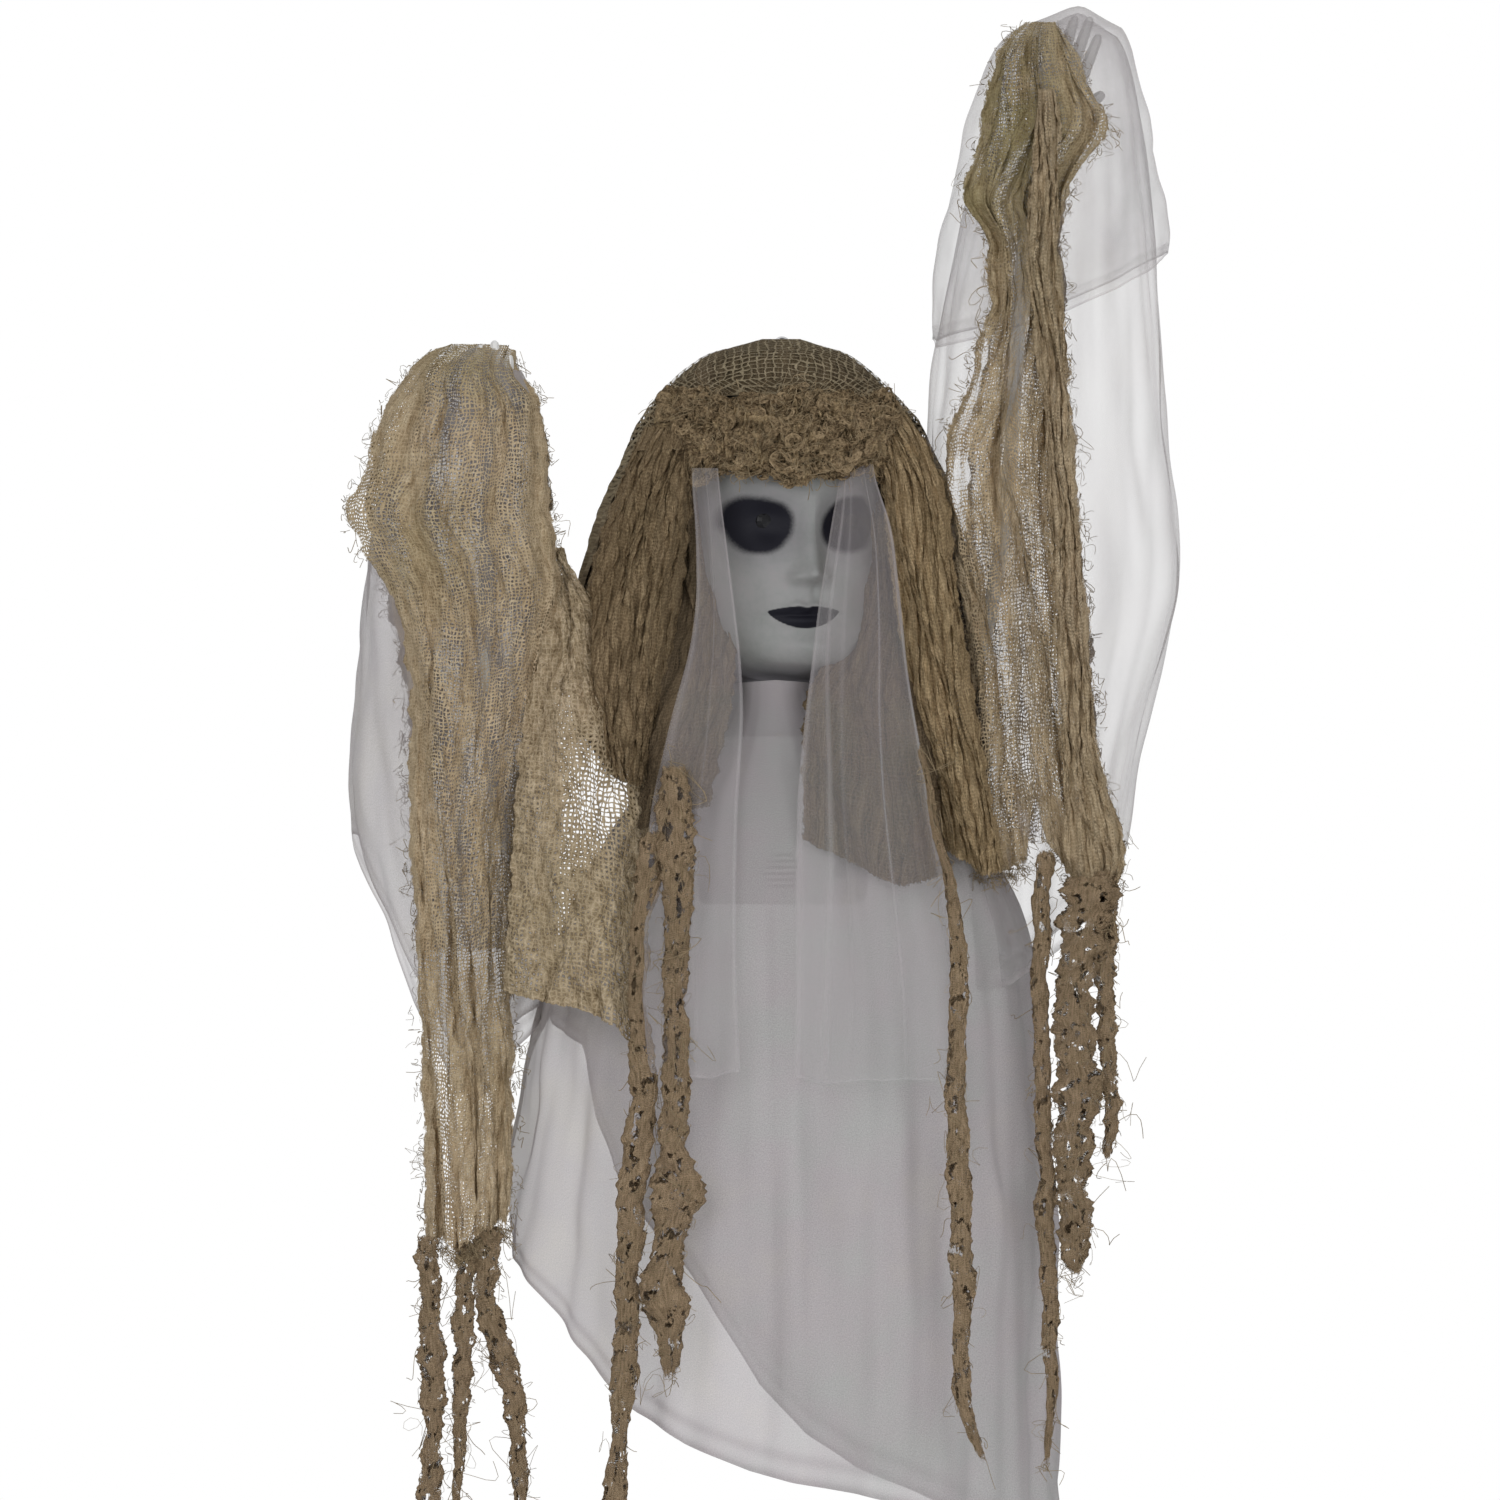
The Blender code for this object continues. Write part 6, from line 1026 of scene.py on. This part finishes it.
def facePoints(angle, place):
    # Rings of an egg read at each place, turned by the head's rest angle; every feature is a hill pushed forward.
    ring = smoothRows(faceRings, place)
    frontZ, frontY, backZ, backY, wide = (ring[..., index] for index in range(5))
    across, toward = np.sin(angle), np.cos(angle)
    flat = 1 - 0.10 * np.abs(across * toward) * 2 * (wide > 0.6)
    x = face["width"] / 2 * wide * across / flat ** 0.5
    y = face["depth"] * ((frontY + backY) / 2 + (frontY - backY) / 2 * toward)
    z = face["crown"] - face["height"] * ((frontZ + backZ) / 2 + (frontZ - backZ) / 2 * toward)
    drop, side = (face["crown"] - z) / face["height"], np.abs(x) / face["width"]
    facing = np.clip(toward, 0, 1) ** 0.5
    noseSide, mouthSide = (np.abs(x + face[key]) / face["width"] for key in ("noseShift", "mouthShift"))
    run = np.clip((drop - face["noseRoot"]) / (face["noseTip"] - face["noseRoot"]), 0, 1)
    under = hill(np.maximum(drop, face["noseTip"]), face["noseTip"], 0.027)
    ridge = hill(noseSide, 0, 0.042 + 0.032 * run) * 0.85 + hill(noseSide, 0, 0.10) * 0.15
    tip = 0.0028 * hill(noseSide, 0, 0.05) * hill(drop, 0.710, 0.022)
    wings = 0.0046 * hill(noseSide, 0.082, 0.032) * hill(drop, 0.728, 0.022)
    nose = face["noseHeight"] * run ** 1.25 * under * ridge + tip + wings
    plain = sum(high * hill(side, *over) * hill(drop, *down) for high, *sizes in faceHills
                for over, down in [(sizes[:2], sizes[2:])])
    brow = 0.0034 * hill(side, face["eyeSide"] * 0.95, 0.13) * hill(drop + 0.10 * (side - 0.2) ** 2, 0.438, 0.030)
    upper = hill(mouthSide, 0, 0.125) * hill(drop, face["mouth"] - 0.020 - 0.012 * hill(mouthSide, 0.05, 0.04),
                                             0.014)
    lower = hill(mouthSide, 0, 0.110) * hill(drop, face["mouth"] + 0.024, 0.019)
    parting = 0.0022 * hill(drop, face["mouth"] + 0.001, 0.0045) * hill(mouthSide, 0, 0.15)
    lips = face["lipHeight"] * (upper + 1.15 * lower) - parting
    y = y - facing * (nose + plain + brow + lips + face["lift"])
    turnCos, turnSin = math.cos(face["turn"]), math.sin(face["turn"])
    return np.stack([x * turnCos - y * turnSin, x * turnSin + y * turnCos, z], axis=-1), x, z


def makeFace():
    look = {"rows": 220, "columns": 230, "socket": (0.0275, 0.0245), "tilt": 0.26, "outward": 0.0095,
            "downward": 0.002, "upperShare": 0.92, "uneven": 0.05, "socketEdge": (1.14, 0.36), "halo": (0.45, 0.45),
            "neckFade": 0.012, "mouthHalf": 0.0285, "mouthRise": 0.0042, "mouthDrop": 0.0135, "mouthLift": 0.003,
            "lipEdge": 0.0011, "bow": (0.25, 0.004), "middle": 0.7, "black": (0.012, 0.012, 0.018),
            "shadow": (0.16, 0.15, 0.17), "shadowShare": 0.75, "paintEdge": (0.12, 0.88), "rough": (0.45, 0.62),
            "white": ((0.0, (0.30, 0.315, 0.305)), (0.6, (0.345, 0.345, 0.345)), (1.0, (0.365, 0.35, 0.355))),
            "specular": 0.12, "bump": 0.10, "bumpDistance": 0.0004}
    angle = np.linspace(-math.pi / 2, math.pi / 2, look["columns"])[None, :]
    angle = look["middle"] * angle + (1 - look["middle"]) * angle ** 3 / (math.pi / 2) ** 2
    place = np.linspace(0, len(faceRings) - 1, look["rows"])[:, None]
    points, x, z = facePoints(angle + 0 * place, place + 0 * angle)
    eyeZ = face["crown"] - face["height"] * face["eyeLine"]
    out = (np.abs(x) - face["width"] * face["eyeSide"]) - look["outward"] * (x < 0)
    up = z - eyeZ + look["downward"]
    cosine, sine = math.cos(look["tilt"]), math.sin(look["tilt"])
    first, second = out * cosine + up * sine, up * cosine - out * sine
    wide, tall = look["socket"]
    reach = np.hypot(first / wide, second / np.where(second > 0, tall * look["upperShare"], tall))
    uneven = look["uneven"] * ripple(x * 20, z * 20, 201, (1, 1), 3)
    socket = np.clip((look["socketEdge"][0] - reach + uneven) / look["socketEdge"][1], 0, 1)
    mouthZ = face["crown"] - face["height"] * face["mouth"]
    mouthX = x + face["mouthShift"]
    share = np.clip(1 - (mouthX / look["mouthHalf"]) ** 2, 0, 1)
    bowDeep, bowWide = look["bow"]
    above = look["mouthRise"] * share ** 0.8 * (1 - bowDeep * hill(mouthX, 0, bowWide))
    below = look["mouthDrop"] * share ** 0.75
    lift = z - (mouthZ + look["mouthLift"])
    inside = np.minimum(above - lift, lift + below)
    mouth = np.clip(inside / look["lipEdge"] + 0.5, 0, 1) * (np.abs(mouthX) < look["mouthHalf"])
    front = points[..., 1] < 0
    # The shade mark is painted shade: a grey ring round each eye socket and a darkening under the chin.
    haloStrength, haloWide = look["halo"]
    halo = haloStrength * hill(reach, 1.0, haloWide) * front
    underChin = (face["crown"] - face["height"] - z) / look["neckFade"]
    marks = {"paint": np.maximum(socket, mouth) * front, "shade": np.clip(np.maximum(halo, underChin), 0, 1)}
    material, tree, shader, placeCo, cloth = newMaterial("facePaint")
    fine = useGroup(tree, grainGroup, Vector=placeCo, Scale=700.0)["Value"]
    broad = useGroup(tree, blotchGroup, Vector=placeCo, Scale=24.0)["Value"]
    white = rampNode(tree, broad, look["white"])
    shadow = mathNode(tree, "MULTIPLY", readMark(tree, "shade"), look["shadowShare"])
    white = mixNode(tree, shadow, white, look["shadow"])
    rough = mathNode(tree, "ADD", readMark(tree, "paint"), mathNode(tree, "MULTIPLY_ADD", fine, 0.3, -0.15))
    colour = mixNode(tree, rangeNode(tree, rough, *look["paintEdge"]), white, look["black"])
    tree.links.new(colour, shader.inputs["Base Color"])
    tree.links.new(rangeNode(tree, fine, 0.2, 0.8, *look["rough"], smooth=False), shader.inputs["Roughness"])
    shader.inputs["Specular IOR Level"].default_value = look["specular"]
    bumpNode(tree, shader, mathNode(tree, "ADD", fine, broad), look["bump"], look["bumpDistance"])
    piece = gridMesh("faceSkin", points, marks=marks, material=material)
    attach(piece, "head")
    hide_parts("face_mask")
    return piece


makeFace()
print("face made")


# Forehead band: a crumpled roll with curled ruffles and loose threads all over it.
band = {"front": 0.094, "ends": (-1.12, 1.08), "endRun": 0.22, "thin": 0.12, "flareFrom": 0.45, "flareRun": 0.55,
        "flare": (0.024, 0.014), "inset": 0.004, "thick": 0.0135, "height": -0.0730, "tall": 0.0270}


def bandPoint(angle, turn, swell=0.0):
    # A roll around the forehead: an oval ring carrying an upright oval, thinner at its ends, which flare outwards.
    half, front = face["width"] / 2, band["front"]
    straight = angle - face["turn"] * 0.5
    reach = half * front / np.sqrt((half * np.cos(straight)) ** 2 + (front * np.sin(straight)) ** 2)
    ends = np.minimum(angle - band["ends"][0], band["ends"][1] - angle)
    taper = np.clip(ends / band["endRun"], band["thin"], 1) ** 0.6
    flare = np.clip((np.abs(angle) - band["flareFrom"]) / band["flareRun"], 0, 1) ** 1.5
    flare = flare * np.where(angle < 0, *band["flare"])
    radius = reach - band["inset"] + flare + (band["thick"] * (1 + np.cos(turn)) + swell) * taper
    uneven = 0.0035 * np.sin(angle * 7 + 0.6) + 0.002 * np.sin(angle * 17)
    height = band["height"] - 0.0020 * np.cos(angle * 1.5)
    height = height + (band["tall"] + uneven + swell) * taper * np.sin(turn)
    return np.stack([radius * np.sin(angle), -radius * np.cos(angle), height], axis=-1)


def makeBand():
    look = {"columns": 100, "rows": 360, "seed": 211, "ruffles": 620, "across": 5, "along": 22, "threads": 900,
            "reach": 1.10, "lumps": 1.6, "swell": 0.0065, "crumple": 0.0012, "ruffleAngle": 1.13,
            "ruffleTurn": 1.75, "curl": (3, 9), "length": (0.016, 0.040), "lift": (0.002, 0.007),
            "width": (0.0022, 0.0050), "crinkle": 0.0006, "threadLength": 0.010, "threadCurl": 0.9}
    turn = np.linspace(-math.pi, math.pi, look["columns"], endpoint=False)[None, :]
    angle = np.linspace(-look["reach"], look["reach"], look["rows"])[:, None]
    u, v = turn / math.tau, (angle + look["reach"]) / 2 / look["reach"]
    lumps = np.abs(ripple(u, v, look["seed"], (4, 16), 4)) * look["lumps"]
    swell = look["swell"] * (0.9 - lumps) + look["crumple"] * ripple(u, v, look["seed"] + 1, (20, 70), 3)
    points = bandPoint(angle + 0.02 * ripple(u, v, look["seed"] + 2, (5, 18), 3), turn, swell)
    marks = {"fill": 0.75 - 0.3 * lumps, "edge": 0 * lumps + 1, "stain": 0 * lumps}
    sheetPiece("bandCloth", points, marks, paleHair, "head", ["head_band"], around=True,
               gather=3.0)
    rng = np.random.default_rng(look["seed"])
    count, across, along = look["ruffles"], look["across"], look["along"]
    baseAngle = rng.uniform(-look["ruffleAngle"], look["ruffleAngle"], count)[:, None]
    baseTurn = rng.uniform(-look["ruffleTurn"], look["ruffleTurn"], count)[:, None]
    step = np.linspace(0, 1, along)[None, :]
    heading = rng.uniform(0, math.tau, count)[:, None]
    heading = heading + rng.choice([-1, 1], (count, 1)) * rng.uniform(*look["curl"], (count, 1)) * step
    length = rng.uniform(*look["length"], count)[:, None]
    walkX = np.cumsum(np.cos(heading), axis=1) / along * length
    walkZ = np.cumsum(np.sin(heading), axis=1) / along * length
    least, most = look["lift"]
    away = least + rng.uniform(0.0, most, count)[:, None] * np.sin(math.pi * step)
    spine = bandPoint(baseAngle + walkX / 0.1, baseTurn + walkZ / 0.034, away)
    lean = rng.uniform(-1.2, 1.2, count)[:, None] + rng.uniform(-4, 4, (count, 1)) * step
    width = rng.uniform(*look["width"], count)[:, None] * (0.4 + 0.6 * np.sin(math.pi * step) ** 0.5)
    side = np.stack([-np.sin(heading) * np.cos(lean), -np.abs(np.sin(lean)), np.cos(heading) * np.cos(lean)],
                    axis=-1)
    lanes = np.linspace(-1, 1, across)
    grid = spine[:, :, None] + side[:, :, None] * (width[..., None] * lanes)[..., None]
    phase = rng.uniform(0, 6, (count, 1, 1, 3)) + 14 * step[..., None, None] + 3 * lanes[None, None, :, None]
    grid = grid + look["crinkle"] * np.sin(phase)
    marks = {"fill": 0.30, "edge": 1 - 0.72 * np.abs(lanes)[None, None, :] ** 2, "stain": 0.0}
    patchMesh("bandRuffles", grid, shadedHair, marks, "head")
    starts = bandPoint(rng.uniform(-1.0, 0.95, look["threads"]), rng.uniform(-1.9, 1.9, look["threads"]), 0.003)
    curlThreads("bandThreads", starts, look["threadLength"], look["threadCurl"], 223, "head", (0, -0.5, 0))


def patchMesh(name, grid, material, marks, body):
    # Many small sheets in one mesh, all the same size: count x rows x columns points.
    count, rows, columns = grid.shape[:3]
    index = np.arange(count * rows * columns).reshape(count, rows, columns)
    quads = np.stack([index[:, :-1, :-1], index[:, :-1, 1:], index[:, 1:, 1:], index[:, 1:, :-1]],
                     axis=-1).reshape(-1, 4)
    mesh = bpy.data.meshes.new(name)
    mesh.from_pydata(grid.reshape(-1, 3), [], quads.tolist())
    mesh.polygons.foreach_set("use_smooth", np.ones(len(quads), bool))
    down = np.linalg.norm(np.diff(grid, axis=1), axis=-1).mean(axis=(0, 2)).cumsum()
    over = np.linalg.norm(np.diff(grid, axis=2), axis=-1).mean(axis=(0, 1)).cumsum()
    v, u = np.concatenate([[0], down]), np.concatenate([[0], over])
    offset = np.arange(count)[:, None, None] * 0.037
    flat = np.stack(np.broadcast_arrays(u[None, None, :] + offset, v[None, :, None] + offset),
                    axis=-1).reshape(-1, 2)
    mesh.uv_layers.new(name="cloth").data.foreach_set("uv", flat[quads.reshape(-1)].reshape(-1))
    for key, value in marks.items():
        held = mesh.attributes.new(key, "FLOAT", "POINT")
        held.data.foreach_set("value", np.broadcast_to(value, grid.shape[:3]).astype(np.float32).reshape(-1))
    piece = addPiece(name, mesh, material)
    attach(piece, body)


def makeThread(name, base):
    material, tree, shader, place, cloth = newMaterial(name)
    broad = useGroup(tree, blotchGroup, Vector=place, Scale=60.0)["Value"]
    fine = useGroup(tree, grainGroup, Vector=place, Scale=1500.0)["Value"]
    dark = tuple(part * 0.5 for part in base)
    tree.links.new(rampNode(tree, broad, ((0.1, dark), (0.8, base))), shader.inputs["Base Color"])
    shader.inputs["Roughness"].default_value = gauzeLook["rough"]
    bumpNode(tree, shader, fine, 0.3, 0.0003)
    return material


threadPaint = makeThread("threadCotton", (0.42, 0.32, 0.19))
threadShape = {"turn": 1.4, "wind": 2.2, "windShare": 0.35, "bowShare": 0.2, "shortest": 0.35, "thick": (0.6, 1.3)}


def curlThreads(name, starts, length, curl, seed, body, pull=(0, 0, -1), radius=0.00026, steps=9):
    # Loose threads: each leaves its start along a pull and wanders, curling more as curl grows.
    rng = np.random.default_rng(seed)
    count = len(starts)
    way = rng.normal(0, 1, (count, 1, 3)) * curl + np.array(pull)
    turnA, turnB = rng.normal(0, 1, (2, count, 1, 3)) * curl * threadShape["turn"]
    share = np.linspace(0, 1, steps)[None, :, None]
    size = length * rng.uniform(threadShape["shortest"], 1.0, (count, 1, 1))
    wind = turnA * np.sin(threadShape["wind"] * math.pi * share) * threadShape["windShare"]
    bow = turnB * (1 - np.cos(math.tau * share)) * threadShape["bowShare"]
    routes = starts[:, None] + size * (way * share + wind + bow)
    piece = tubeMesh(name, routes, rng.uniform(*threadShape["thick"], count) * radius, 3, threadPaint)
    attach(piece, body)
    return piece


# Frayed edges of the arm gauzes: threads from points spread along both sides and the hem of each sheet.
def frayEdges(name, points, count, seed, body):
    rng = np.random.default_rng(seed)
    rows, columns = points.shape[:2]
    sides = points[rng.integers(0, rows, count), rng.choice([0, 1, columns - 2, columns - 1], count)]
    low = points[rng.integers(rows - 4, rows, count // 2), rng.integers(0, columns, count // 2)]
    curlThreads(name, np.concatenate([sides, low]), 0.008, 0.8, seed + 1, body)


frayEdges("rightGauzeFray", rightFront, 420, 301, "right_arm")
frayEdges("leftGauzeFray", leftFront, 420, 303, "left_arm")
makeBand()
print("band made")


# Torn strips: twisted and crumpled, by rows of pixels: row, middle column, width in pixels.
stripCut = {"columns": 24, "rows": 260, "lumps": 9, "lump": 0.16, "twist": 5.0, "wander": 0.8, "pitch": 12,
            "crease": 0.30, "fine": 0.12, "flat": 0.55, "sway": 1.5, "smooth": 12, "density": 0.40,
            "creaseFill": 0.55, "sideFill": 0.12, "worn": (1.1, 0.55), "ends": (14, 30, 0.3), "threads": 70,
            "threadLength": 0.014}


def makeStrip(name, ownLook, body, nodes=()):
    # A flattened tube along the route whose radius is scaled by lumps, by creases that wind round it, and by a
    # fine crumple.
    look = {**stripCut, **ownLook}
    columns, rows, seed = look["columns"], look["rows"], look["seed"]
    table = np.asarray(look["route"], float)
    turn = np.linspace(0, math.tau, columns, endpoint=False)[None, :]
    share = np.linspace(0, 1, rows)[:, None]
    row = table[0, 0] + (table[-1, 0] - table[0, 0]) * share
    column, wide = rowsAt(table, row, smooth=look["smooth"])
    lump = 1 + look["lump"] * ripple(0 * share, share, seed, (1, look["lumps"]), 4)
    twist = look["twist"] * share + look["wander"] * ripple(0 * share, share, seed + 1, (1, 3), 2)
    crease = look["crease"] * ripple((turn + twist) / math.tau, share, seed + 2, (2, look["pitch"]), 4)
    fine = look["fine"] * ripple(turn / math.tau, share, seed + 3, (5, 60), 3)
    half = wide / 2 * view["scale"] * lump * (1 + crease + fine)
    sway = look["sway"] * ripple(0 * share, share, seed + 4, (1, 6), 3)
    points = spot(column + sway, row, look["depth"] + 0 * turn)
    points = points + np.stack([half * np.cos(turn), half * look["flat"] * np.sin(turn), 0 * half], axis=-1)
    density = look["density"] + look["creaseFill"] * crease - look["sideFill"] * np.abs(np.cos(turn))
    full, sideWorn = look["worn"]
    edge = np.clip(full - sideWorn * np.abs(np.cos(turn)) ** 3 + 0 * share, 0, 1)
    lowRun, topRun, topStart = look["ends"]
    edge = edge * np.clip(np.minimum((1 - share) * lowRun, topStart + share * topRun), 0, 1)
    marks = {"fill": density[:, ::-1], "edge": edge[:, ::-1], "stain": 0 * density}
    piece = sheetPiece(name, points[:, ::-1], marks, torn, body, list(nodes),
                       around=True,
                       gather=2.0)
    rng = np.random.default_rng(seed)
    picks = rng.integers(0, rows, look["threads"]), rng.integers(0, columns, look["threads"])
    curlThreads(name + "Threads", points[picks], look["threadLength"], 0.9, seed + 5, body)
    return piece


strips = {"rightArmStripA": ("right_arm", (),
                             {"seed": 301, "depth": -0.074, "rests": ["rightGauzeFront"],
                              "route": ((1235, 427, 20), (1304, 430, 21), (1355, 431, 24), (1386, 434, 26),
                                        (1427, 433, 16), (1495, 430, 24), (1560, 428, 15), (1590, 430, 5))}),
          "rightArmStripB": ("right_arm", (),
                             {"seed": 307, "depth": -0.072, "rests": ["rightGauzeFront"],
                              "route": ((1240, 467, 18), (1279, 465, 18), (1355, 463, 20), (1457, 459, 11),
                                        (1498, 457, 8), (1530, 456, 4))}),
          "rightArmStripC": ("right_arm", (),
                             {"seed": 311, "depth": -0.071, "rests": ["rightGauzeFront"],
                              "route": ((1225, 488, 26), (1299, 484, 21), (1368, 506, 27), (1419, 517, 18),
                                        (1495, 520, 14), (1560, 522, 10), (1600, 521, 4))}),
          "rightFrontStrip": ("head", ("right_front_strip",),
                              {"seed": 317, "depth": -0.128, "rests": ["rightPanelCloth"], "rows": 520,
                               "route": ((830, 655, 22), (880, 648, 26), (930, 640, 18), (1000, 636, 16),
                                         (1083, 645, 27), (1202, 631, 29), (1253, 629, 23), (1368, 625, 25),
                                         (1457, 618, 16), (1498, 614, 26), (1580, 611, 18), (1660, 612, 8))}),
          "middleFrontStrip": ("head", ("middle_front_strip",),
                               {"seed": 331, "depth": -0.134, "rests": ["rightCurtainCloth"], "rows": 460,
                                "sway": 2.5, "threads": 160,
                                "route": ((765, 672, 30), (853, 678, 36), (950, 676, 22), (1100, 675, 25),
                                          (1150, 674, 30), (1194, 678, 44), (1240, 668, 32), (1296, 662, 46),
                                          (1330, 670, 30), (1360, 669, 20), (1392, 669, 5))}),
          "leftFrontStrip": ("head", ("left_front_strip",),
                             {"seed": 337, "depth": -0.140, "rests": ["leftCurtainCloth"], "rows": 520, "sway": 1.2,
                              "route": ((745, 921, 5), (837, 937, 8), (885, 951, 11), (958, 960, 17),
                                        (1043, 956, 18), (1186, 958, 22), (1275, 964, 21), (1332, 961, 17),
                                        (1398, 961, 16), (1440, 975, 11), (1478, 993, 4))}),
          "leftArmStripA": ("left_arm", (),
                            {"seed": 347, "depth": -0.078, "rests": ["leftGauzeFront"],
                             "route": ((850, 1046, 18), (871, 1043, 17), (982, 1039, 16), (1079, 1043, 15),
                                       (1232, 1046, 18), (1282, 1050, 15), (1332, 1049, 16), (1382, 1052, 11),
                                       (1478, 1046, 4))}),
          "leftArmStripB": ("left_arm", (),
                            {"seed": 349, "depth": -0.084, "rests": ["leftGauzeFront"], "threads": 120, "sway": 2.5,
                             "route": ((875, 1092, 52), (910, 1088, 50), (982, 1073, 34), (1055, 1075, 40),
                                       (1079, 1078, 46), (1187, 1072, 30), (1241, 1074, 33), (1268, 1077, 16),
                                       (1284, 1077, 4))}),
          "leftArmStripC": ("left_arm", (),
                            {"seed": 353, "depth": -0.076, "rests": ["leftGauzeFront"],
                             "route": ((870, 1106, 26), (982, 1105, 18), (1043, 1107, 18), (1103, 1112, 14),
                                       (1120, 1112, 17), (1166, 1106, 4))})}
for name, (body, nodes, look) in strips.items():
    makeStrip(name, look, body, nodes)
print("strips made")
